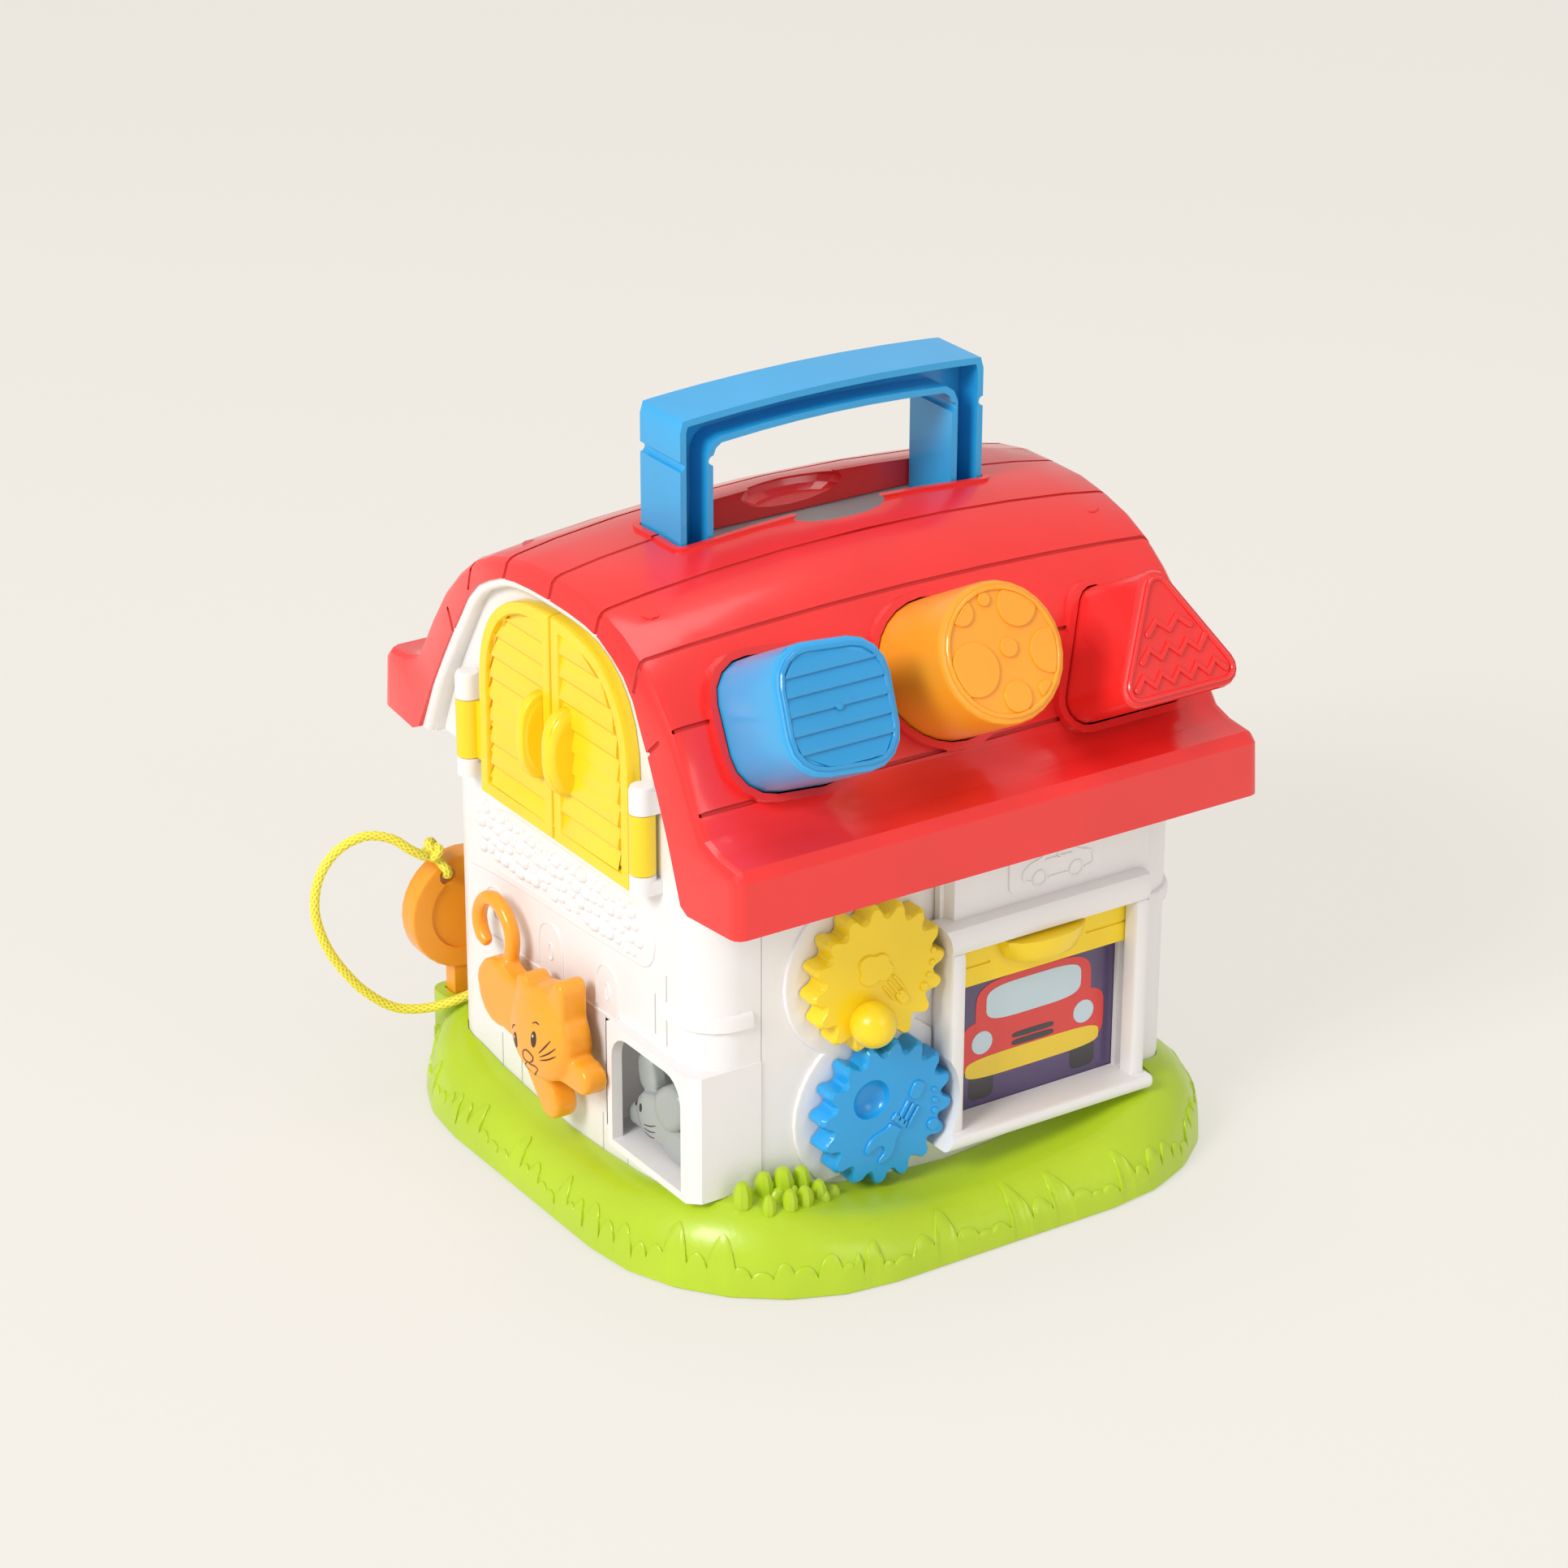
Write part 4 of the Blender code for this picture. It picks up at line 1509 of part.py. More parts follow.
def make_key():
    half = KEY_THICKNESS / 2
    bow = prism(circle(KEY_X, KEY_BOW_Z, KEY_BOW_RADIUS, 32), "y", KEY_Y, KEY_Y - half, EDGE * 2)
    join(bow, prism(circle(KEY_X, KEY_BOW_Z, KEY_BOW_RADIUS, 32), "y", KEY_Y - SINK, KEY_Y + half, EDGE * 2))
    join(bow, box((KEY_X - KEY_SHANK_HALF, KEY_Y - KEY_SHANK_THICKNESS / 2, KEY_END_Z),
                  (KEY_X + KEY_SHANK_HALF, KEY_Y + KEY_SHANK_THICKNESS / 2, KEY_BOW_Z - KEY_BOW_RADIUS / 2), EDGE))
    for side in (-1, 1):
        panel = circle(KEY_X, KEY_BOW_Z, KEY_BOW_RADIUS * KEY_PANEL_SHARE, 28)
        cut(bow, prism(panel, "y", KEY_Y + side * (half - KEY_RECESS), KEY_Y + side * (half + OVERRUN)))
    hole = Vector((KEY_X, KEY_Y, KEY_BOW_Z)) + key_radial() * KEY_HOLE_DROP
    cut(bow, prism(circle(hole.x, hole.z, KEY_HOLE_RADIUS, 18), "y", KEY_Y - half * 2, KEY_Y + half * 2))
    finish(bow, "key", "orange_plastic", (KEY_X, KEY_Y, KEY_END_Z))


def knot_place():
    return Vector((KEY_X, KEY_Y - KNOT_FORWARD, KEY_BOW_Z)) + key_radial() * KNOT_REACH


def make_rope():
    # A loop through the bow and its knot, one piece of cord
    ring_centre = Vector((KEY_X, KEY_Y, KEY_BOW_Z)) + key_radial() * (KEY_HOLE_DROP + LOOP_RADIAL)
    count, sides = 20, 7
    shape = bmesh.new()
    rows = []
    for i in range(count):
        a = 2 * math.pi * i / count
        centre = ring_centre + key_radial() * (LOOP_RADIAL * math.cos(a)) + Vector((0, LOOP_Y * math.sin(a), 0))
        out = (key_radial() * (math.cos(a) / LOOP_RADIAL) + Vector((0, math.sin(a) / LOOP_Y, 0))).normalized()
        side = key_radial().cross(Vector((0, 1, 0))).normalized()
        rows.append([
            shape.verts.new(centre + (out * math.cos(b) + side * math.sin(b)) * ROPE_RADIUS)
            for b in (2 * math.pi * k / sides for k in range(sides))
        ])
    for near, far in zip(rows, rows[1:] + rows[:1]):
        for k in range(sides):
            j = (k + 1) % sides
            shape.faces.new((near[k], near[j], far[j], far[k]))
    knot = from_bmesh(shape)
    middle = knot_place()
    join(knot, ellipsoid(middle, (KNOT_RADIUS * 1.1, KNOT_RADIUS * 0.95, KNOT_RADIUS), 12, 8))
    finish(knot, "rope_knot", "yellow_rope", tuple(middle), smooth=60)

    route = rope_route()
    points = smooth_path(route, ROPE_STEP)
    curve = bpy.data.curves.new("key_rope", "CURVE")
    curve.dimensions = "3D"
    curve.bevel_depth = ROPE_RADIUS
    curve.bevel_resolution = 2
    curve.use_fill_caps = True
    spline = curve.splines.new("POLY")
    spline.points.add(len(points) - 1)
    spline.points.foreach_set("co", np.hstack([points, np.ones((len(points), 1))]).ravel())
    rope = bpy.data.objects.new("key_rope", curve)
    curve.materials.append(material("yellow_rope"))
    bpy.context.scene.collection.objects.link(rope)


def rope_route():
    """The rope's way from inside the back wall, round the corner and up to the knot."""
    route = [Vector(p) for p in ROPE_ROUTE]
    end = knot_place()
    away = Vector((-1, 0, 0))
    end.y = route[-1].y
    route.append(end + away * (KNOT_RADIUS * KNOT_SIDE_SHARE + GAP))
    return route


def main():
    for obj in list(bpy.data.objects):
        bpy.data.objects.remove(obj)
    make_base()
    make_base_screws()
    make_left_gable()
    make_right_gable()
    make_front_wall()
    make_back_wall()
    make_roof()
    for i, (x, y) in enumerate(ear_places()):
        screw(f"roof_screw_{i + 1}", x, y, EAR_Z - WALL - GAP - SCREW_HEAD_HEIGHT, EAR_Z + ROOF_SCREW_REACH)
    make_guide()
    make_handle()
    make_blocks()
    make_shutter(-1)
    make_shutter(1)
    make_gears()
    make_garage()
    make_chase()
    make_back_door()
    make_key()
    make_rope()


main()
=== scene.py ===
# %% [markdown]
# # A toddler's activity house, dressed for its picture
#
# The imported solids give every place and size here. This lesson lays smooth skins, reliefs, a braided rope,
# moulded plastic and soft light over them. Each cell says what it makes, and prints it.

# %% Load the frame
import bpy
import bmesh
import json
import math
import numpy as np
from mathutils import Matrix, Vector
from mathutils.bvhtree import BVHTree


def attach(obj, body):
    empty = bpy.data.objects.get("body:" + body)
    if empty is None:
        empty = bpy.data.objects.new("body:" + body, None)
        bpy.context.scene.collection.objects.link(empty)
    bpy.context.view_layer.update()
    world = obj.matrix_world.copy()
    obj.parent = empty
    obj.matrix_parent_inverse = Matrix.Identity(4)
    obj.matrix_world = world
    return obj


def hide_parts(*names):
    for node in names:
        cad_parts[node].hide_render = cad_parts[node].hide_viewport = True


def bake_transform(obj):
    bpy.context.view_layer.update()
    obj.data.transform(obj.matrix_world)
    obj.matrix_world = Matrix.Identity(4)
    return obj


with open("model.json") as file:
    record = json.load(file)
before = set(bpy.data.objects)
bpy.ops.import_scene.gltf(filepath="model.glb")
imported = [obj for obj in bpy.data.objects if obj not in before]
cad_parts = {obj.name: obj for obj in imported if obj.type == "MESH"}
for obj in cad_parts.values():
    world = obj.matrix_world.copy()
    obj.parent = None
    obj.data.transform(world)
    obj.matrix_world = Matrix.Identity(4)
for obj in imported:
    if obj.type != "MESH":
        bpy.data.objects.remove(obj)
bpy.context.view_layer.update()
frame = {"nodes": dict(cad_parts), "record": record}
MM = 0.001

# %% [markdown]
# ## Camera
#
# A long lens looks down a little at the corner between the shuttered gable and the garage side. The square
# picture is 1932 dots wide, and the focal length is given in those dots.

# %% Camera at the picture's angle
FOCAL_DOTS = 5534.79
PICTURE_DOTS = 1932
TARGET = np.array([-15.64, -5.82, 133.55]) * MM
DISTANCE = 1577.59 * MM
BACK = Vector((-0.5027, -0.7601, 0.4118)).normalized()
ROLL = math.radians(0.18)
SENSOR_WIDTH = 36
FAR_CLIP = 20

camera = bpy.data.objects.new("camera", bpy.data.cameras.new("camera"))
bpy.context.scene.collection.objects.link(camera)
bpy.context.scene.camera = camera
camera.data.sensor_width = SENSOR_WIDTH
camera.data.lens = SENSOR_WIDTH * FOCAL_DOTS / PICTURE_DOTS
camera.data.clip_end = FAR_CLIP
right = Vector((0, 0, 1)).cross(BACK).normalized()
up = BACK.cross(right)
right, up = right * math.cos(ROLL) + up * math.sin(ROLL), up * math.cos(ROLL) - right * math.sin(ROLL)
place = camera.matrix_world.copy()
for row in range(3):
    place[row][0], place[row][1], place[row][2] = right[row], up[row], BACK[row]
    place[row][3] = TARGET[row] + BACK[row] * DISTANCE
camera.matrix_world = place
print("camera stands at", [round(v, 3) for v in place.translation])

# %% [markdown]
# ## Small tools for surfaces
#
# A surface is a grid of points, rows by columns. The tools turn whole arrays into closed meshes. Each mesh
# joins the scene at the origin, and rides on a body of the toy where one is given.

# %% Mesh tools
TINY = 1e-9
SHORTEST_BISECTOR = 0.6
FRAME_START = (0.3, 0.2, 1)


def body_of_node(node):
    bodies = frame["record"]["behaviour"]["bodies"]
    return next(name for name, nodes in bodies.items() if node in nodes)


def new_piece(name, points, faces, material, body, angle=40):
    mesh = bpy.data.meshes.new(name)
    mesh.from_pydata(np.asarray(points, float).tolist(), [], faces)
    piece = bpy.data.objects.new(name, mesh)
    bpy.context.scene.collection.objects.link(piece)
    face_outward(mesh)
    soften(mesh, angle)
    mesh.materials.append(material)
    if body:
        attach(piece, body)
    return piece


def face_outward(mesh):
    shape = bmesh.new()
    shape.from_mesh(mesh)
    bmesh.ops.recalc_face_normals(shape, faces=shape.faces)
    shape.to_mesh(mesh)
    shape.free()


def soften(mesh, angle):
    """Smooth shading, kept sharp at edges that turn by more than the angle."""
    mesh.polygons.foreach_set("use_smooth", np.ones(len(mesh.polygons), bool))
    mesh.set_sharp_from_angle(angle=math.radians(angle))


def skin_faces(rows, columns, closed=True):
    """Quads of a grid of rows by columns. A closed one joins its last column to its first."""
    i = np.arange(rows - 1)[:, None]
    j = np.arange(columns if closed else columns - 1)[None, :]
    k = (j + 1) % columns
    a, b, c, d = i * columns + j, i * columns + k, (i + 1) * columns + k, (i + 1) * columns + j
    return np.stack(np.broadcast_arrays(a, b, c, d), -1).reshape(-1, 4).tolist()


def loft(rings):
    """Closed solid through rings of equal length: points, and quads with one flat cap at each end."""
    rings = np.asarray(rings, float)
    rows, columns = rings.shape[:2]
    faces = skin_faces(rows, columns)
    faces += [list(range(columns))[::-1], [(rows - 1) * columns + j for j in range(columns)]]
    return rings.reshape(-1, 3), faces


def angles(count):
    """Evenly spaced angles round a full turn."""
    return np.linspace(0, 2 * math.pi, count, endpoint=False)


def hoop(rings):
    """Closed solid like a bent tube: quads through the rings, the last one joined to the first."""
    rings = np.asarray(rings, float)
    rows, columns = rings.shape[:2]
    last = (rows - 1) * columns
    faces = skin_faces(rows, columns)
    faces += [[last + j, last + (j + 1) % columns, (j + 1) % columns, j] for j in range(columns)]
    return rings.reshape(-1, 3), faces


def merged(parts):
    """Several (points, faces) as one."""
    points, faces, start = [], [], 0
    for some, quads in parts:
        points.append(some)
        faces += [[start + i for i in quad] for quad in quads]
        start += len(some)
    return np.concatenate(points), faces


def ways_along(path):
    """Unit direction of a path at each of its points."""
    way = np.gradient(path, axis=0)
    return way / np.linalg.norm(way, axis=1, keepdims=True)


def arc_length(path):
    """Distance along a path up to each of its points."""
    return np.concatenate([[0], np.cumsum(np.linalg.norm(np.diff(path, axis=0), axis=1))])


def spaced(path, at):
    """Points of a path at the given distances along it."""
    gone = arc_length(path)
    return np.stack([np.interp(at, gone, path[:, k]) for k in range(path.shape[1])], 1)


def carried_frame(path):
    """Two unit vectors square to a path at each point, carried along it without twist."""
    way = ways_along(path)
    side = np.cross(way[0], FRAME_START)
    sides = []
    for w in way:
        side = side - w * np.dot(side, w)
        side /= np.linalg.norm(side)
        sides.append(side)
    return np.array(sides), np.cross(way, np.array(sides))


def inset(outline, distance):
    """The closed outline moved inwards, each point along the bisector of its two sides."""
    outline = np.asarray(outline, float)
    ahead = np.roll(outline, -1, 0) - outline
    ahead /= np.maximum(np.linalg.norm(ahead, axis=1, keepdims=True), TINY)
    behind = np.roll(ahead, 1, 0)
    way = np.stack([-(ahead + behind)[:, 1], (ahead + behind)[:, 0]], 1)
    length = np.maximum(np.linalg.norm(way, axis=1, keepdims=True), SHORTEST_BISECTOR)
    area = np.sum(outline[:, 0] * np.roll(outline[:, 1], -1) - outline[:, 1] * np.roll(outline[:, 0], -1))
    return outline + way / length * distance * np.sign(area)


def rings_on_plane(outline, levels, plane, inwards=inset):
    """The outline drawn in by each level's step and raised by its rise: origin + a u + b v + rise n.
    A plane is its origin, u and v."""
    origin, u, v = np.array(plane, float)
    n = np.cross(u, v)
    rings = []
    for step, rise in levels:
        ring = inwards(outline, step)
        rings.append(origin + ring[:, :1] * u + ring[:, 1:] * v + rise * n)
    return rings


def pad(outline, plane, height, edge, sink=0.4 * MM):
    """A raised pad with a rounded rim on a plane."""
    levels = ((0, -sink), (0, height * 0.45), (edge * 0.3, height * 0.8), (edge, height),
              (edge * 1.3, height))
    return loft(rings_on_plane(outline, levels, plane))


def oval(a, b, half_a, half_b, power=2.0, turn=0.0, count=24):
    """Superellipse |x/A|^p + |y/B|^p = 1 round (a, b), turned by an angle."""
    t = angles(count)
    x = half_a * np.sign(np.cos(t)) * np.abs(np.cos(t)) ** (2 / power)
    y = half_b * np.sign(np.sin(t)) * np.abs(np.sin(t)) ** (2 / power)
    c, s = math.cos(turn), math.sin(turn)
    return np.stack([a + x * c - y * s, b + x * s + y * c], 1)


def stripe(path, half, count=5):
    """Outline of a round-ended stripe of the given half width along an open path."""
    path = np.asarray(path, float)
    way = ways_along(path)
    side = np.stack([way[:, 1], -way[:, 0]], 1)
    bend = np.linspace(0, math.pi, count + 2)[1:-1, None]
    tip = path[-1] + half * (side[-1] * np.cos(bend) + way[-1] * np.sin(bend))
    tail = path[0] - half * (side[0] * np.cos(bend) + way[0] * np.sin(bend))
    return np.concatenate([path + side * half, tip, (path - side * half)[::-1], tail])


def tube(path, radius, sides=8):
    """Round tube along a path: c + r (cos q N + sin q B), with N and B carried along it."""
    path = np.asarray(path, float)
    side, other = carried_frame(path)
    q = angles(sides)[None, :, None]
    return loft(path[:, None] + radius * (np.cos(q) * side[:, None] + np.sin(q) * other[:, None]))


def smooth_path(points, count, rounds=3):
    """A curve through points, evenly spaced: corners cut by Chaikin's rule, then spaced by arc length."""
    points = np.asarray(points, float)
    for _ in range(rounds):
        low = points[:-1] * 0.75 + points[1:] * 0.25
        high = points[:-1] * 0.25 + points[1:] * 0.75
        between = np.stack([low, high], 1).reshape(-1, points.shape[1])
        points = np.concatenate([points[:1], between, points[-1:]])
    return spaced(points, np.linspace(0, arc_length(points)[-1], count))


def tree_of(mesh):
    return BVHTree.FromPolygons([v.co for v in mesh.vertices], [tuple(p.vertices) for p in mesh.polygons])


# %% [markdown]
# ## Materials
#
# Moulded plastic has one colour through and through. Slow drifts of tone, a faint orange-peel skin and a
# thin clear gloss keep it from looking flat. The numbers follow the sizes of the real thing in metres.

# %% Moulded plastic
PLASTIC_IOR, COAT_ROUGHNESS = 1.49, 0.12
CLOUD_SCALE, CLOUD_DETAIL = 22, 3
PEEL_SCALE, PEEL_DETAIL, PEEL_DEPTH = 420, 2, 0.4 * MM


def add_nodes(material, *kinds):
    nodes = material.node_tree.nodes
    return [nodes.new(f"ShaderNode{kind}") for kind in kinds]


def plastic(name, colour, roughness, peel, coat, drift=0.05, grain_scale=PEEL_SCALE):
    """Noise in the tone, colour (1 - d) to colour (1 + d), and finer noise in the bump."""
    material = bpy.data.materials.new(name)
    material.use_nodes = True
    tree = material.node_tree
    shader = tree.nodes["Principled BSDF"]
    shader.inputs["Roughness"].default_value = roughness
    shader.inputs["Coat Weight"].default_value = coat
    shader.inputs["Coat Roughness"].default_value = COAT_ROUGHNESS
    shader.inputs["IOR"].default_value = PLASTIC_IOR
    place, cloud, ramp, grain, bump = add_nodes(
        material, "TexCoord", "TexNoise", "ValToRGB", "TexNoise", "Bump")
    cloud.inputs["Scale"].default_value = CLOUD_SCALE
    cloud.inputs["Detail"].default_value = CLOUD_DETAIL
    grain.inputs["Scale"].default_value = grain_scale
    grain.inputs["Detail"].default_value = PEEL_DETAIL
    low, high = (tuple(min(c * k, 1) for c in colour) + (1,) for k in (1 - drift, 1 + drift))
    ramp.color_ramp.elements[0].position, ramp.color_ramp.elements[0].color = 0.3, low
    ramp.color_ramp.elements[1].position, ramp.color_ramp.elements[1].color = 0.7, high
    bump.inputs["Strength"].default_value = peel
    bump.inputs["Distance"].default_value = PEEL_DEPTH
    link = tree.links.new
    link(place.outputs["Object"], cloud.inputs["Vector"])
    link(place.outputs["Object"], grain.inputs["Vector"])
    link(cloud.outputs["Fac"], ramp.inputs["Fac"])
    link(ramp.outputs["Color"], shader.inputs["Base Color"])
    link(grain.outputs["Fac"], bump.inputs["Height"])
    link(bump.outputs["Normal"], shader.inputs["Normal"])
    return material


LIME = plastic("lime_moulded", (0.45, 0.62, 0.018), 0.34, 0.2, 0.15)
WHITE = plastic("white_moulded", (0.83, 0.81, 0.81), 0.36, 0.16, 0.12, drift=0.015)
RED = plastic("red_moulded", (0.82, 0.024, 0.022), 0.24, 0.06, 0.5)
# Darker red for the walls of the roof grooves: painted shade in the grooves.
RED_GROOVE_SHADE = plastic("red_groove_painted_shade", (0.58, 0.014, 0.012), 0.5, 0.08, 0.0)
BLUE = plastic("blue_moulded", (0.022, 0.38, 0.76), 0.28, 0.08, 0.3)
SKY = plastic("sky_moulded", (0.028, 0.37, 0.74), 0.28, 0.08, 0.35)
GEAR_BLUE = plastic("gear_blue_moulded", (0.012, 0.35, 0.78), 0.28, 0.06, 0.3)
YELLOW = plastic("yellow_moulded", (0.93, 0.66, 0.012), 0.3, 0.08, 0.2)
# Darker yellow for strips and triangles under the shutter slats: painted shade.
YELLOW_SLAT_SHADE = plastic("yellow_painted_shade", (0.80, 0.42, 0.006), 0.45, 0.06, 0.0)
# Darker copy of the sky blue for the square block's face: painted shade, for a face turned from the light.
SKY_FACE_SHADE = plastic("sky_face_painted_shade", (0.014, 0.28, 0.60), 0.3, 0.08, 0.3)
ORANGE = plastic("orange_moulded", (0.95, 0.36, 0.018), 0.3, 0.08, 0.25)
JOINT_GREY = plastic("board_joint", (0.52, 0.50, 0.50), 0.6, 0.1, 0.0, drift=0.03)
GREY = plastic("grey_moulded", (0.36, 0.39, 0.375), 0.3, 0.08, 0.3)
INK = plastic("ink_print", (0.035, 0.016, 0.01), 0.45, 0.02, 0.1)
STEEL = plastic("steel_screw", (0.5, 0.5, 0.52), 0.35, 0.3, 0.0)
STEEL.node_tree.nodes["Principled BSDF"].inputs["Metallic"].default_value = 1.0
SLOTS = {
    "lime_plastic": LIME, "white_plastic": WHITE, "red_plastic": RED, "blue_plastic": BLUE,
    "sky_plastic": SKY, "yellow_plastic": YELLOW, "orange_plastic": ORANGE, "grey_plastic": GREY,
    "steel": STEEL,
}
print("materials:", len(bpy.data.materials))

# %% [markdown]
# ## The rope
#
# A free cord of 3.6 mm leaves the house low at its back corner, bows out past the gable and ends in a knot
# through the key. Two families of strands wind round it, one each way, and its skin rises where either of
# them passes over.

# %% Braided rope
ROPE_POINTS = np.array([
    (-60, 79.5, 40), (-60, 84, 40), (-60.8, 87.6, 39.6), (-66, 89.2, 37.6), (-74, 88.6, 34.8),
    (-82, 88.2, 33), (-90, 88.4, 32), (-97.5, 89.6, 30.2), (-106, 93.5, 28), (-117, 96.5, 29.6),
    (-128.5, 98, 38), (-138, 99, 50), (-145, 99.5, 63.5), (-148, 99.5, 78), (-145.5, 99, 90),
    (-138, 98.2, 98.6), (-128, 96.6, 101.8), (-118.5, 94.4, 99.2), (-111.6, 92.8, 93.6),
    (-106.4, 92.8, 89.9),
]) * MM
ROPE_RADIUS = 1.8 * MM
ROPE_EXIT = np.array([-60, 85.3, 40]) * MM
ROPE_SPACING = 0.42 * MM
YARN_SCALE = 2600
BRAID_CREST = 2.5
CURVE_STEPS = 4000


def rope_material(name):
    """Twisted yarn: fine fuzz in the bump, and painted shade: darker in the valleys of the weave, lighter on
    its crests.
    """
    material = plastic(name, (0.86, 0.80, 0.03), 0.6, 0.6, 0.0, grain_scale=YARN_SCALE)
    tree = material.node_tree
    weave, tone = add_nodes(material, "Attribute", "ValToRGB")
    weave.attribute_name = "weave"
    # Painted shade: dark yellow in the valleys of the weave, bright yellow on its crests.
    tone.color_ramp.elements[0].position, tone.color_ramp.elements[0].color = 0.15, (0.66, 0.53, 0.012, 1)
    tone.color_ramp.elements[1].position, tone.color_ramp.elements[1].color = 0.75, (0.96, 0.88, 0.10, 1)
    tree.links.new(weave.outputs["Fac"], tone.inputs["Fac"])
    tree.links.new(tone.outputs["Color"], tree.nodes["Principled BSDF"].inputs["Base Color"])
    return material


ROPE = rope_material("rope_braid_painted_shade")


def braid(path, radius, strands=6, pitch=6.0 * MM, sides=36, relief=0.2):
    """Tube whose skin rises where strands pass over, and the height of its weave. With w the higher of
    |cos(n q / 2 + 2 pi s / p)| and |cos(n q / 2 - 2 pi s / p)|, the radius is R (1 - k + k w^2.5)."""
    path = np.asarray(path, float)
    side, other = carried_frame(path)
    q = angles(sides)
    turn = 2 * math.pi * arc_length(path)[:, None] / pitch
    left = np.abs(np.cos(strands * q[None] / 2 + turn))
    right = np.abs(np.cos(strands * q[None] / 2 - turn))
    wave = np.maximum(left, right) ** BRAID_CREST
    r = radius * (1 - relief + relief * wave)
    ring = np.cos(q)[None, :, None] * side[:, None] + np.sin(q)[None, :, None] * other[:, None]
    return *loft(path[:, None] + r[:, :, None] * ring), wave.ravel()


def rope_piece(name, paths, radius):
    """Braided tubes, with the height of their weave kept as an attribute for the painted shade of the weave.
    """
    tubes = [braid(path, radius) for path in paths]
    piece = new_piece(name, *merged([tube[:2] for tube in tubes]), ROPE, None, 80)
    wave = np.concatenate([tube[2] for tube in tubes])
    piece.data.attributes.new("weave", "FLOAT", "POINT").data.foreach_set("value", wave.astype(np.float32))
    return piece


def even_path(points, spacing):
    """Points at an even spacing on a smooth cubic through the given ones."""
    t = arc_length(points)
    slope = np.gradient(points, t, axis=0)
    fine = np.linspace(0, t[-1], CURVE_STEPS)
    k = np.clip(np.searchsorted(t, fine, side="right") - 1, 0, len(t) - 2)
    h = (t[k + 1] - t[k])[:, None]
    w = (fine - t[k])[:, None] / h
    curve = ((1 + 2 * w) * (1 - w) ** 2 * points[k] + w * (1 - w) ** 2 * h * slope[k]
             + w ** 2 * (3 - 2 * w) * points[k + 1] + w ** 2 * (w - 1) * h * slope[k + 1])
    whole = arc_length(curve)[-1]
    return spaced(curve, np.linspace(0, whole, int(whole / spacing)))


rope_line = even_path(ROPE_POINTS, ROPE_SPACING)
start = int(np.argmin(np.linalg.norm(rope_line - ROPE_EXIT, axis=1)))
rope_shown = rope_line[start:]
rope = rope_piece("braided_rope", [rope_shown], ROPE_RADIUS)
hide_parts("key_rope")
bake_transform(rope)

# %% [markdown]
# ## Smooth skins over the solids
#
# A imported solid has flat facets. Its skin is the same mesh with its points merged and its shading smoothed
# by face area, so that small chamfers read as soft moulded edges.

# %% Skins
WELD, SLIVER, FLAT = 2e-6, 1e-6, math.radians(0.6)
CROWN_DEPTH = 5 * MM
AREA_WEIGHT = 60


def skin_of(node, material=None, angle=34):
    """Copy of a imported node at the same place: merged, smoothed, and standing for it."""
    source = frame["nodes"][node]
    mesh = source.data.copy()
    if "custom_normal" in mesh.attributes:
        mesh.attributes.remove(mesh.attributes["custom_normal"])
    shape = bmesh.new()
    shape.from_mesh(mesh)
    bmesh.ops.remove_doubles(shape, verts=shape.verts, dist=WELD)
    bmesh.ops.dissolve_degenerate(shape, edges=shape.edges, dist=SLIVER)
    bmesh.ops.dissolve_limit(shape, angle_limit=FLAT, verts=shape.verts, edges=shape.edges)
    shape.to_mesh(mesh)
    shape.free()
    piece = bpy.data.objects.new(f"{node}_skin", mesh)
    bpy.context.scene.collection.objects.link(piece)
    slot = source.material_slots[0].material.name
    mesh.materials.clear()
    mesh.materials.append(material or SLOTS[slot])
    soften(mesh, angle)
    lean = piece.modifiers.new("area_shading", "WEIGHTED_NORMAL")
    lean.keep_sharp = True
    lean.weight = AREA_WEIGHT
    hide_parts(node)
    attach(piece, body_of_node(node))
    return piece


def cut_with(piece, cutter):
    """One exact difference, kept as the piece's own mesh."""
    change = piece.modifiers.new("cut", "BOOLEAN")
    change.operation, change.solver, change.object = "DIFFERENCE", "EXACT", cutter
    graph = bpy.context.evaluated_depsgraph_get()
    result = bpy.data.meshes.new_from_object(piece.evaluated_get(graph))
    piece.modifiers.clear()
    piece.data = result
    bpy.data.objects.remove(cutter)


def figure_skin(node, voxel, rounds, crown=None):
    """A rounded skin: an even net laid over the solid, each point then moved to the mean of its neighbours.
    A crown (y, z, half y, half z, turn, height) swells the front by height (1 - r^2) inside an ellipse."""
    piece = skin_of(node)
    piece.modifiers.clear()
    net = piece.modifiers.new("even_net", "REMESH")
    net.mode, net.voxel_size, net.use_smooth_shade = "VOXEL", voxel, True
    rounding = piece.modifiers.new("rounding", "SMOOTH")
    rounding.factor, rounding.iterations = 0.5, rounds
    mesh = bpy.data.meshes.new_from_object(piece.evaluated_get(bpy.context.evaluated_depsgraph_get()))
    piece.modifiers.clear()
    piece.data = mesh
    if crown:
        y, z, half_y, half_z, turn, height = crown
        points = np.array([v.co for v in mesh.vertices])
        dy, dz = points[:, 1] - y, points[:, 2] - z
        p, q = dy * math.cos(turn) + dz * math.sin(turn), dz * math.cos(turn) - dy * math.sin(turn)
        swell = np.clip(1 - (p / half_y) ** 2 - (q / half_z) ** 2, 0, 1) ** 0.8
        front = np.clip((points[:, 0].min() + CROWN_DEPTH - points[:, 0]) / CROWN_DEPTH, 0, 1)
        points[:, 0] -= height * swell * front
        mesh.vertices.foreach_set("co", points.ravel())
    soften(mesh, 60)
    return piece


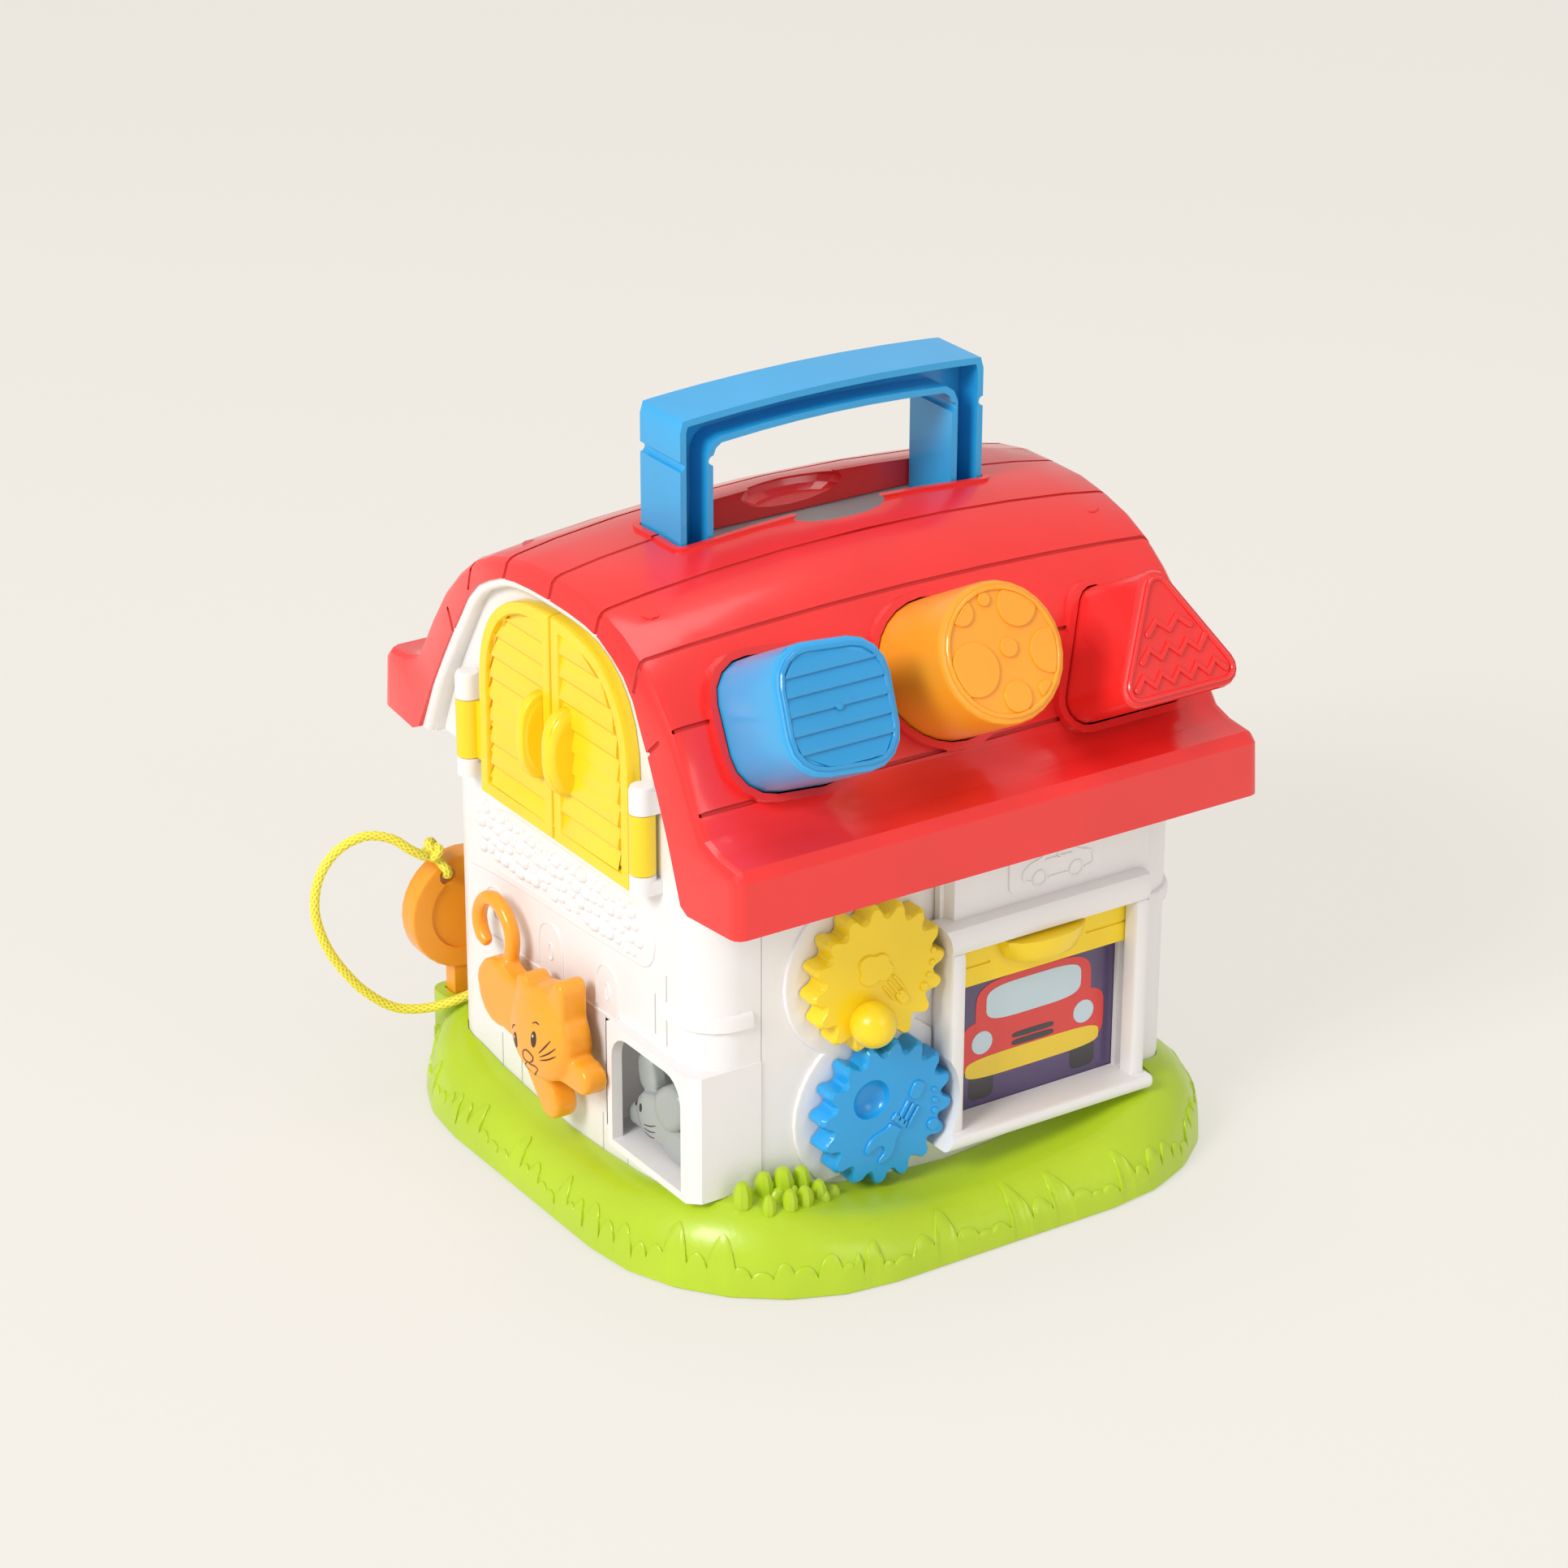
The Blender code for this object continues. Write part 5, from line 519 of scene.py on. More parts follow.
PLAIN = ("garage_picture", "key_rope", "roof_shell", "rope_knot", "cat", "mouse")
MATERIAL_OF = {"blue_gear": GEAR_BLUE}
for node in frame["nodes"]:
    if node not in PLAIN:
        skin_of(node, MATERIAL_OF.get(node))
CAT_CROWN = (-4.5 * MM, 60.0 * MM, 19.5 * MM, 17 * MM, math.radians(-24), 2.4 * MM)
cat = figure_skin("cat", 0.7 * MM, 20, CAT_CROWN)
mouse = figure_skin("mouse", 0.45 * MM, 8)

# %% [markdown]
# ## Roof boards
#
# Narrow grooves part the roof into boards. Each runs along the ridge direction, bends over the shoulder and
# goes down the end face to the rim. A thin tube follows the roof's own surface there, and is cut away.

# %% Roof with board grooves
ROOF_TREE = tree_of(frame["nodes"]["roof_shell"].data)
GROOVE_RADIUS = 0.85 * MM
SHOULDER_X = 101.5 * MM
END_FACE_X, END_FACE_LEAN = 103.5 * MM, 4 * MM
ROOF_MIDDLE_Z = 130 * MM
RAY_START = 40 * MM
OFF_GROOVE = 5 * MM
PAST_END = 1.2
SAMPLE_SPACING, MOST_CUTS = 6 * MM, 9
TINY_AREA, TINY_SUM = 1e-15, 1e-12
CORNERS_AT_ONCE = 400
# Each groove: y and z on the boards' surface, then y and z where it meets the rim of the end face
GROOVES = np.array([
    (0, 231.9, 0, 221.4), (30, 229, 30, 218.6), (55, 219.5, 54.5, 208.5),
    (73, 198.5, 63.4, 188.2), (88.8, 175, 76, 163),
]) * MM


def on_roof(point, way):
    """The first place on the roof's outside, coming from outside along the given way."""
    way = Vector(way).normalized()
    hit = ROOF_TREE.ray_cast(Vector(point) - way * RAY_START, way)
    return np.array(hit[0]) if hit[0] is not None else None


def groove_path(y, z, rim_y, rim_z):
    """Points of one groove, from past the rim of one end face to past the rim of the other."""
    xs = np.linspace(-SHOULDER_X, SHOULDER_X, 90)
    inward = Vector((0, -y, -abs(z - ROOF_MIDDLE_Z) * 1.4)).normalized()
    along = [on_roof((x, y, z), inward) for x in xs]
    along = [p for p in along if p is not None and np.hypot(p[1] - y, p[2] - z) < OFF_GROOVE]
    ends = []
    for side in (-1, 1):
        face = []
        for t in np.linspace(0, 1, 9):
            fy, fz = y + (rim_y - y) * t, z + (rim_z - z) * t
            hit = ROOF_TREE.find_nearest(Vector((side * (END_FACE_X + END_FACE_LEAN * t), fy, fz)))
            face.append(np.array(hit[0]))
        ends.append(face)
    path = ends[0][::-1] + along + ends[1]
    tail = path[0] + (path[0] - path[1]) * PAST_END
    nose = path[-1] + (path[-1] - path[-2]) * PAST_END
    return np.array([tail] + path + [nose])


def surface_samples(mesh):
    """Points, normals and areas spread over the faces. Long triangles are sampled at several places."""
    mesh.calc_loop_triangles()
    corners = np.array([v.co for v in mesh.vertices])[np.array([t.vertices for t in mesh.loop_triangles])]
    normal = np.cross(corners[:, 1] - corners[:, 0], corners[:, 2] - corners[:, 0])
    area = np.linalg.norm(normal, axis=1) / 2
    normal = normal / np.maximum(2 * area[:, None], TINY_AREA)
    longest = np.linalg.norm(corners - np.roll(corners, 1, 1), axis=2).max(1)
    cuts = np.clip(np.ceil(longest / SAMPLE_SPACING), 1, MOST_CUTS).astype(int)
    places, normals, areas = [], [], []
    for n in np.unique(cuts):
        chosen = cuts == n
        weights = np.array([((i + 1 / 3) / n, (j + 1 / 3) / n) for i in range(n) for j in range(n - i)])
        weights = np.column_stack([weights, 1 - weights.sum(1)])
        places.append(np.einsum("kc,tcd->tkd", weights, corners[chosen]).reshape(-1, 3))
        normals.append(np.repeat(normal[chosen], len(weights), 0))
        areas.append(np.repeat(area[chosen] / len(weights), len(weights)))
    return np.concatenate(places), np.concatenate(normals), np.concatenate(areas)


def shade_by_surroundings(mesh, samples, reach, angle):
    """Corner normals from the skin around: sum of area exp(-d^2 / 2 r^2) n over the samples that turn less
    than the angle from the corner's own face, so holes and grooves leave no streaks in the shading."""
    soften(mesh, angle)
    places, normals, areas = samples
    order = np.argsort(places[:, 0])
    places, normals, areas = places[order], normals[order], areas[order]
    count = len(mesh.loops)
    vertex = np.empty(count, int)
    mesh.loops.foreach_get("vertex_index", vertex)
    at = np.array([v.co for v in mesh.vertices])[vertex]
    own = np.repeat(np.array([p.normal for p in mesh.polygons]), [p.loop_total for p in mesh.polygons], 0)
    result = np.empty((count, 3))
    along = np.argsort(at[:, 0])
    for start in range(0, count, CORNERS_AT_ONCE):
        part = along[start:start + CORNERS_AT_ONCE]
        low, high = np.searchsorted(places[:, 0], (at[part[0], 0] - 3 * reach, at[part[-1], 0] + 3 * reach))
        near, ways = places[low:high], normals[low:high]
        apart = (at[part] ** 2).sum(1)[:, None] + (near ** 2).sum(1) - 2 * at[part] @ near.T
        weight = areas[low:high] * np.exp(-apart / (2 * reach ** 2))
        weight *= own[part] @ ways.T > math.cos(math.radians(angle))
        result[part] = weight @ ways
    size = np.linalg.norm(result, axis=1, keepdims=True)
    result = np.where(size > TINY_SUM, result / np.maximum(size, TINY_SUM), own)
    mesh.normals_split_custom_set(result.tolist())


grooves = []
for side in (-1, 1):
    for y, z, rim_y, rim_z in GROOVES:
        if y == 0 and side == 1:
            continue
        path = smooth_path(groove_path(side * y, z, side * rim_y, rim_z), 110, 2)
        grooves.append(tube(path, GROOVE_RADIUS, 8))
roof = skin_of("roof_shell", RED, 40)
roof_samples = surface_samples(roof.data)
# The cut groove walls take the darker red: painted shade in the grooves.
roof.data.materials.append(RED_GROOVE_SHADE)
for k, groove in enumerate(grooves):
    cut_with(roof, new_piece(f"groove_{k}", *groove, RED_GROOVE_SHADE, None))
shade_by_surroundings(roof.data, roof_samples, 4.5 * MM, 38)
print("roof:", len(roof.data.polygons), "faces,", len(grooves), "grooves")

# %% [markdown]
# ## Grass round the base
#
# The lower part of the tray's side stands 0.85 mm proud, and its upper edge is a row of blades. Each blade
# has a centre c, a half width w and a top t. The edge at arc length s is the highest of
# low + (t - low) (1 - ((s - c) / w)^2)^0.55.

# %% Grass relief
BASE_TREE = tree_of(frame["nodes"]["base_tray"].data)
GRASS_PROUD = 0.85 * MM
GRASS_LOW, GRASS_FOOT = 5.6 * MM, 0.6 * MM
GRASS_SPACING = 0.42 * MM
BLADE_ROUNDNESS = 0.55
TRACED_RUN, TRACED_GAP, RUNS = 392 * MM, 4 * MM, 3
FROM_OUTSIDE, NEAR_TRAY = 300 * MM, 125 * MM
RIM_LOOK_Z = 6 * MM
# Share of a blade's height and share of GRASS_PROUD, from the foot up and back behind the tray's face
GRASS_SECTION = ((0, -0.5), (0, 1), (0.35, 1), (0.72, 1), (0.93, 0.95), (0.985, 0.62), (1, -0.5))
# Centre, top height and half width of each blade, in millimetres of arc and height
BLADES = np.array([
    (350.5, 17.5, 3.2), (358, 11.5, 3.5), (364, 12.0, 3.4), (370, 14.2, 3), (375, 16.1, 3),
    (382, 15.4, 3.4), (389.5, 17.3, 4.2), (396.5, 10.8, 4), (403.5, 9.8, 3.8), (411, 9.8, 3.8),
    (418.5, 16.8, 4.2), (425.5, 10.5, 3.6), (431.5, 13.2, 3.8), (438, 9.4, 3.2), (443.5, 8.8, 3.2),
    (451.5, 16.2, 3.6), (457.5, 10.5, 2.8), (462.5, 13.4, 3.2), (471.5, 15.5, 4.6), (480.5, 13.2, 4),
    (489, 15.3, 4.4), (496.8, 12.3, 3.2), (503.6, 13.2, 4), (511, 21.8, 5), (519.4, 14.1, 4.4),
    (528.3, 21.2, 5.2), (535, 11.3, 4.2), (542.6, 9.8, 4.4), (550.1, 13.2, 3.8), (557, 11.6, 4.8),
    (566.1, 14.6, 4.6), (572.4, 11.0, 3.6), (576.1, 13.2, 1.6), (581.7, 15.6, 3.8), (587.4, 8.6, 2.6),
    (593.4, 8.8, 4), (601.8, 12.6, 4.8), (611.2, 16.2, 5), (620.2, 10.2, 5.2), (627.8, 7.8, 3.6),
    (634, 8.4, 3.8), (643.4, 16.2, 4.4), (652.4, 11.8, 4.4), (661.6, 16.6, 4.8), (669.6, 10.5, 5),
    (675.8, 8.7, 3.4), (681.4, 9.3, 3.6), (690, 18.0, 3.8), (696.4, 11.6, 3.4), (703.8, 15.6, 4),
    (711.6, 14.4, 3.6), (718, 11.6, 2.8), (724, 9.6, 2.8), (730.8, 14.6, 3.4), (737.4, 16.2, 3.6),
]) * MM


def tray_side(angle, height):
    """Where a level ray from outside, at that angle and height, meets the tray: place and normal."""
    c, s = math.cos(angle), math.sin(angle)
    outside = Vector((c * FROM_OUTSIDE, s * FROM_OUTSIDE, height))
    hit, normal, _, _ = BASE_TREE.ray_cast(outside, Vector((-c, -s, 0)))
    if hit is None:
        hit, normal, _, _ = BASE_TREE.find_nearest(Vector((c * NEAR_TRAY, s * NEAR_TRAY, height)))
    return hit, normal


def base_rim(count=1800):
    """Outer points of the tray at a low height, by angle, and the arc length up to each."""
    angle = angles(count)
    points = np.array([tray_side(a, RIM_LOOK_Z)[0] for a in angle])
    step = np.linalg.norm(np.roll(points, -1, 0) - points, axis=1)
    return angle, np.concatenate([[0], np.cumsum(step)]), points


def rounding_of(points, reach=14):
    """How far each point of the faceted rim lies from a smooth one: its running mean, less the point."""
    window = np.hanning(2 * reach + 1)
    window /= window.sum()
    wide = np.concatenate([points[-reach:], points, points[:reach]])
    mean = np.stack([np.convolve(wide[:, k], window, "valid") for k in range(3)], 1)
    return mean - points


def grass_height(s, whole):
    """Height of the blades' edge at arc length s. The traced run is repeated round the sides not seen."""
    height = np.full(len(s), GRASS_LOW)
    for k in range(RUNS):
        for c, top, half in BLADES:
            if k * TRACED_RUN + c - BLADES[0, 0] > whole - TRACED_GAP:
                continue
            away = (s - c - k * TRACED_RUN + whole / 2) % whole - whole / 2
            lift = np.clip(1 - (away / half) ** 2, 0, 1) ** BLADE_ROUNDNESS
            height = np.maximum(height, np.where(lift > 0, GRASS_LOW + (top - GRASS_LOW) * lift, 0))
    return height


rim_angle, rim_arc, rim_points = base_rim()
rim_shift = rounding_of(rim_points)
whole = rim_arc[-1]
s = np.arange(0, whole, GRASS_SPACING)
theta = np.interp(s, rim_arc, np.append(rim_angle, 2 * math.pi))
top = grass_height(s, whole)
rings = []
for share, proud in GRASS_SECTION:
    ring = []
    for a, height in zip(theta, GRASS_FOOT + (top - GRASS_FOOT) * share):
        hit, normal = tray_side(a, height)
        normal = Vector((normal.x, normal.y, max(normal.z, 0))).normalized()
        ring.append(np.array(hit + normal * (GRASS_PROUD * proud)))
    rings.append(ring)
rings = np.array(rings)
for axis in (0, 1):
    rings[:, :, axis] += np.interp(theta, rim_angle, rim_shift[:, axis])
grass = new_piece("grass_relief", *hoop(rings), LIME, "house", 38)
print("grass:", len(grass.data.vertices), "points")

# %% [markdown]
# ## Leaves at the corner
#
# A tuft of small egg-shaped leaves lies on the tray in front of the house's corner. Each is a half egg that
# rises out of the tray: an ellipse of rings, r = cos e, lifted by sin e.

# %% Leaf tuft
LEAVES = ((-82.4, -82.4), (-81.0, -88.8), (-74.0, -87.7), (-70.2, -93.0), (-75.7, -92.6), (-65.2, -90.0),
          (-64.9, -95.4), (-58.6, -91.0), (-59.9, -96.3), (-53.6, -93.4))
LEAF_HALF, LEAF_TALL = 2.9 * MM, 4.6 * MM
LEAF_LEAN, LEAF_REACH = 0.8 * MM, 6 * MM
LEAF_LONG, LEAF_NARROW = 1.15, 0.85
LEAF_TURN = 0.7
ABOVE_TRAY = 200 * MM


def leaf_egg(x, y, turn):
    """Half egg whose foot is the lowest place of the tray near it, leaning a little along X."""
    hits = []
    for w in np.linspace(0, 2 * math.pi, 8):
        above = Vector((x + LEAF_REACH * math.cos(w), y + LEAF_REACH * math.sin(w), ABOVE_TRAY))
        hits.append(BASE_TREE.ray_cast(above, Vector((0, 0, -1)))[0])
    ground = min(hit.z for hit in hits if hit is not None)
    lift = np.radians((-20, 0, 18, 36, 54, 70, 84))
    q = angles(14)
    out = np.cos(lift)[:, None] * np.ones(len(q))
    p = out * np.cos(q) * LEAF_HALF * LEAF_LONG
    r = out * np.sin(q) * LEAF_HALF * LEAF_NARROW
    rise = np.sin(lift)[:, None] * np.ones(len(q))
    px = x + p * math.cos(turn) - r * math.sin(turn)
    py = y + p * math.sin(turn) + r * math.cos(turn)
    return loft(np.stack([px + rise * LEAF_LEAN, py, ground + rise * LEAF_TALL], -1))


leaves = [leaf_egg(x * MM, y * MM, LEAF_TURN * k) for k, (x, y) in enumerate(LEAVES)]
new_piece("leaf_tuft", *merged(leaves), LIME, "house", 50)
print("leaves:", len(leaves))

# %% [markdown]
# ## Faces of the blocks
#
# Each block's face looks out square to the roof's front slope. Its plane has u along the ridge, v up the
# slope, and n outwards. A raised rim follows the edge, and inside it lie steps, discs or zigzags.

# %% Block faces
TILT = math.radians(28)
FACE_U = np.array((1.0, 0.0, 0.0))
FACE_V = np.array((0.0, math.sin(TILT), math.cos(TILT)))
FACE_N = np.cross(FACE_U, FACE_V)
FACES = {
    "square_block": np.array((-65.0, -112.0, 213.32)) * MM,
    "round_block": np.array((0.0, -112.0, 217.36)) * MM,
    "triangle_block": np.array((67.5, -116.32, 204.87)) * MM,
}
STEPS = 6
# Middle (a, b) and radius of each disc on the round block, in millimetres
SPOTS = ((-12.2, 15.6, 4.6), (-12.4, -3.6, 9.2), (2.4, 1.0, 3.4), (9.4, 14.0, 7.4), (17.6, -3.2, 7.6),
         (1.0, -15.4, 5.4), (12.6, -15.2, 3.0), (-2.4, 18.2, 2.4))
ZIGZAG_ROWS, ZIGZAG_PITCH = (8.0, -0.6, -9.2), 3.6 * MM


def face_outline(node):
    """Outline of the block's face in its own plane, and how far out the face lies."""
    points = np.array([v.co for v in frame["nodes"][node].data.vertices])
    centre = FACES[node]
    high = (points - centre) @ FACE_N
    flat = points[high > high.max() - 0.05 * MM] - centre
    flat = np.unique(np.round(np.stack([flat @ FACE_U, flat @ FACE_V], 1), 6), axis=0)
    flat = flat[np.argsort(np.arctan2(flat[:, 1], flat[:, 0]))]
    return flat, float(high.max())


def shrunk(outline, step):
    """The outline drawn in towards the middle of its own box by the same step on each side."""
    middle, size = (outline.max(0) + outline.min(0)) / 2, outline.max(0) - outline.min(0)
    return middle + (outline - middle) * (1 - 2 * step / size)


def rim_ring(outline, width, height, plane, inwards=inset):
    """A raised rim of the given width just inside an outline: outer wall, crown, inner wall."""
    levels = ((0.1 * MM, -0.4 * MM), (0.15 * MM, height * 0.6), (0.5 * MM, height),
              (width - 0.4 * MM, height), (width, height * 0.5), (width + 0.1 * MM, -0.4 * MM))
    return hoop(rings_on_plane(outline, levels, plane, inwards))


def clip_span(outline, b, margin):
    """Where a level line v = b crosses the outline, drawn in by a margin."""
    a = []
    for (a0, b0), (a1, b1) in zip(outline, np.roll(outline, -1, 0)):
        if (b0 - b) * (b1 - b) < 0:
            a.append(a0 + (a1 - a0) * (b - b0) / (b1 - b0))
    return (min(a) + margin, max(a) - margin) if len(a) > 1 else (0, 0)


def dense(outline, step=1.2 * MM):
    """The outline with points at an even spacing, so that a ring of it stays smooth."""
    closed = np.concatenate([outline, outline[:1]])
    whole = arc_length(closed)[-1]
    return spaced(closed, np.linspace(0, whole, int(whole / step), endpoint=False))


def framed_face(node, width):
    """The outline of a block's face, its plane, and a list that holds its raised rim."""
    outline, lift = face_outline(node)
    plane = FACES[node] + FACE_N * lift, FACE_U, FACE_V
    return outline, plane, [rim_ring(dense(outline), width, 0.9 * MM, plane)]


square, plane, parts = framed_face("square_block", 1.9 * MM)
origin = plane[0]
inner = inset(dense(square), 1.6 * MM)
top_v, low_v = inner[:, 1].max(), inner[:, 1].min()
pitch = (top_v - low_v) / (STEPS + 0.2)
for k in range(STEPS):
    v_low = low_v + pitch * (k + 0.1)
    section = np.array([(0, -0.3 * MM), (0, 0.95 * MM), (0.12 * pitch, 1.0 * MM), (0.95 * pitch, 0.12 * MM),
                        (0.95 * pitch, -0.3 * MM)])
    spans = [clip_span(inner, v_low + max(v, 0.02 * pitch), 0.1 * MM) for v, _ in section]
    rings = [[origin + span[end] * FACE_U + (v_low + v) * FACE_V + rise * FACE_N
              for (v, rise), span in zip(section, spans)] for end in (0, 1)]
    parts.append(loft(rings))
button = oval(0, 0, 1.5 * MM, 1.5 * MM)
parts.append(pad(button, (origin + FACE_N * 0.3 * MM, FACE_U, FACE_V), 0.9 * MM, 0.5 * MM))
# The face, its rim, steps and button take the darker blue: painted shade.
new_piece("square_block_face", *merged(parts), SKY_FACE_SHADE, "square_block", 35)

disc, plane, parts = framed_face("round_block", 1.7 * MM)
reach = np.linalg.norm(disc, axis=1).mean() - 1.7 * MM
for a, b, r in SPOTS:
    spot = oval(a * MM, b * MM, r * MM, r * MM, count=36)
    far = np.linalg.norm(spot, axis=1, keepdims=True)
    spot = spot * np.minimum(1, reach / np.maximum(far, TINY))
    parts.append(pad(spot, plane, 0.95 * MM, 0.4 * MM))
new_piece("round_block_face", *merged(parts), ORANGE, "round_block", 35)

wedge, plane, parts = framed_face("triangle_block", 1.7 * MM)
inner = inset(dense(wedge), 2.2 * MM)
for b in ZIGZAG_ROWS:
    low, high = clip_span(inner, (b + 1.4) * MM, 0.6 * MM)
    count = max(int((high - low) / ZIGZAG_PITCH), 2) + 1
    a = np.linspace(low, high, count)
    zig = b * MM + np.where(np.arange(count) % 2, 2.3, -1.6) * MM
    line = np.stack([a, zig], 1)
    parts.append(pad(stripe(line, 1.2 * MM), plane, 1.0 * MM, 0.35 * MM))
new_piece("triangle_block_face", *merged(parts), RED, "triangle_block", 35)
print("block faces:", len(FACES))

# %% [markdown]
# ## Reliefs on the gears
#
# A spanner on the blue gear and a brush on the yellow one stand 0.85 mm proud, with stripes for the grip
# and dots beside them. The plane of a gear has a along X and b up.

# %% Gear reliefs
FRONT_U, FRONT_V = (1, 0, 0), (0, 0, 1)
GEAR_PLANE = (0, -95.2 * MM, 0), FRONT_U, FRONT_V
MARK_RISE, MARK_EDGE = 0.85 * MM, 0.3 * MM
GRIP_STRIPES = (0, 1.9, 3.8)
# Middle (a, b) and radius of the dots, in millimetres
BLUE_DOTS = ((-12.6, 51.6, 1.0), (-12.2, 47.4, 1.15), (-12.0, 43.2, 1.3), (-13.0, 38.2, 2.3))
YELLOW_DOTS = ((-14.0, 105.4, 1.1), (-14.4, 101.0, 1.1), (-15.8, 96.6, 1.0), (-17.6, 92.6, 1.6))
SPANNER = np.array([
    (-31.0, 43.6), (-32.4, 42.0), (-34.9, 41.6), (-37.6, 40.6), (-39.8, 38.8), (-41.2, 36.4),
    (-41.4, 34.6), (-40.0, 34.0), (-37.0, 36.2), (-34.8, 36.2), (-33.0, 34.6), (-33.6, 32.6),
    (-35.9, 30.6), (-35.6, 29.2), (-33.2, 29.4), (-30.6, 31.0), (-29.0, 33.6), (-28.6, 36.4),
    (-27.8, 38.4), (-26.0, 40.4), (-27.4, 41.4), (-29.0, 42.9),
]) * MM
FERRULE = np.array([(-30.6, 45.2), (-25.3, 40.2), (-23.4, 42.2), (-28.6, 47.2)]) * MM
BRUSH = np.array([
    (-36.5, 100.2), (-39.0, 98.6), (-42.2, 99.4), (-44.4, 102.0), (-43.2, 104.4), (-44.8, 106.6),
    (-44.0, 109.6), (-40.6, 110.8), (-38.0, 109.4), (-35.4, 110.2), (-32.6, 108.6), (-32.2, 105.6),
    (-30.2, 104.0), (-31.4, 101.4), (-33.6, 99.2),
]) * MM


def gear_relief(name, outlines, material, body):
    parts = [pad(outline, GEAR_PLANE, MARK_RISE, MARK_EDGE) for outline in outlines]
    new_piece(name, *merged(parts), material, body, 35)


def ridge(a0, b0, a1, b1, half):
    return stripe(np.linspace((a0 * MM, b0 * MM), (a1 * MM, b1 * MM), 4), half * MM)


def round_corners(outline):
    closed = np.concatenate([outline, outline[:1]])
    return smooth_path(closed, 60, 2)[:-1]


blue_marks = [round_corners(SPANNER), FERRULE]
blue_marks += [ridge(-27.4 + k, 44.2 - k, -23.6 + k * 1.15, 50.2 - k * 0.9, 0.55) for k in GRIP_STRIPES]
blue_marks += [oval(-19.9 * MM, 53.6 * MM, 3.5 * MM, 2.5 * MM, 3.2, math.radians(62))]
blue_marks += [oval(a * MM, b * MM, r * MM, r * MM) for a, b, r in BLUE_DOTS]
gear_relief("blue_gear_marks", blue_marks, GEAR_BLUE, "blue_gear")
yellow_marks = [round_corners(BRUSH)]
yellow_marks += [ridge(-34.0 + k, 96.6 + k * 0.9, -30.2 + k, 91.4 + k * 0.9, 0.55) for k in GRIP_STRIPES]
yellow_marks += [oval(-26.6 * MM, 91.2 * MM, 2.9 * MM, 2.0 * MM, 3.2, math.radians(-52))]
yellow_marks += [oval(a * MM, b * MM, r * MM, r * MM) for a, b, r in YELLOW_DOTS]
gear_relief("yellow_gear_marks", yellow_marks, YELLOW, "yellow_gear")
print("gear marks:", len(blue_marks) + len(yellow_marks))

# %% [markdown]
# ## Shutters
#
# Each shutter is a frame round lapped slats. A slat's lower edge stands proud, and its upper edge tucks
# under the next one. The pulls are thick D-shaped plates. The plane of the gable has a along -Y and b up.

# %% Shutters and pulls
GABLE_U, GABLE_V = np.array((0.0, -1.0, 0.0)), np.array((0.0, 0.0, 1.0))
SHUTTER_FACE_X = -104.4 * MM
SHUTTER_PLANE = (SHUTTER_FACE_X, 0, 0), GABLE_U, GABLE_V
SHUTTER_HALF, SHUTTER_LOW, SHUTTER_SPRING, SHUTTER_TOP = 49.5 * MM, 132.5 * MM, 169 * MM, 215.5 * MM
LEAF_GAP = 0.35 * MM
ARCH_POWER = 0.78
FRAME_WIDTH, FRAME_RISE = 5.2 * MM, 1.9 * MM
SLAT_PITCH, SLAT_RISE, SHORTEST_SLAT = 8.3 * MM, 1.75 * MM, 6 * MM
PULL_HALF_Z, PULL_REACH, PULL_THICK, PULL_AWAY = 16.2 * MM, 10.1 * MM, 5.0 * MM, 8.6 * MM
PULL_SINK = 0.6 * MM
# Step in from the pull's outline in millimetres, and share of its thickness
PULL_SECTION = ((1.3, -0.5), (0.45, -0.42), (0.0, -0.26), (0.0, 0.26), (0.45, 0.42), (1.3, 0.5))
SHUTTERS = (("left_shutter", -1), ("right_shutter", 1))


def shutter_leaf(side):
    """Half of a round-headed window in (a, b), side 1 towards +a."""
    turn = np.linspace(0, math.pi / 2, 24)
    a = np.concatenate([[LEAF_GAP, SHUTTER_HALF], SHUTTER_HALF * np.cos(turn[1:]) ** ARCH_POWER])
    arch = SHUTTER_SPRING + (SHUTTER_TOP - SHUTTER_SPRING) * np.sin(turn[1:]) ** ARCH_POWER
    b = np.concatenate([[SHUTTER_LOW, SHUTTER_LOW], arch])
    return np.stack([side * np.maximum(a, LEAF_GAP), b], 1)


def slat(leaf, low, side):
    """Wedge between two levels of a leaf: proud at its lower edge, flush at its upper one."""
    inner = shrunk(dense(leaf), FRAME_WIDTH - 0.3 * MM)
    section = ((0, -0.3 * MM), (0, SLAT_RISE * 0.9), (0.5 * MM, SLAT_RISE), (SLAT_PITCH, 0.15 * MM),
               (SLAT_PITCH, -0.3 * MM))
    spans = [clip_span(inner, min(low + step, inner[:, 1].max() - 0.2 * MM), 0) for step, _ in section]
    if spans[-1][1] - spans[-1][0] < SHORTEST_SLAT:
        return []
    ends = []
    for end in (0, 1):
        outer = (end == 1) == (side > 0)
        draw = (2.4 * MM if outer else 0.0) * (-1 if end else 1)
        ends.append([(SHUTTER_FACE_X - rise, -(span[end] + draw), low + step)
                     for (step, rise), span in zip(section, spans)])
    return [loft(ends)]


def slat_shade(leaf, top, side):
    """Painted shade: a darker strip under the next slat's edge, and a darker triangle at its outer end."""
    low, high = clip_span(shrunk(dense(leaf), FRAME_WIDTH - 0.6 * MM), top - 0.8 * MM, 0)
    if high - low < SHORTEST_SLAT:
        return []
    outer, way = (high, -1) if side > 0 else (low, 1)
    inner = low if side > 0 else high
    band = [(inner, top - 1.3 * MM), (outer, top - 1.5 * MM), (outer, top + 0.1 * MM), (inner, top)]
    corner = [(outer, top - 6.2 * MM), (outer + way * 2.9 * MM, top - 0.2 * MM), (outer, top)]
    return [pad(band, SHUTTER_PLANE, 0.42 * MM, 0.05 * MM), pad(corner, SHUTTER_PLANE, 0.9 * MM, 0.05 * MM)]


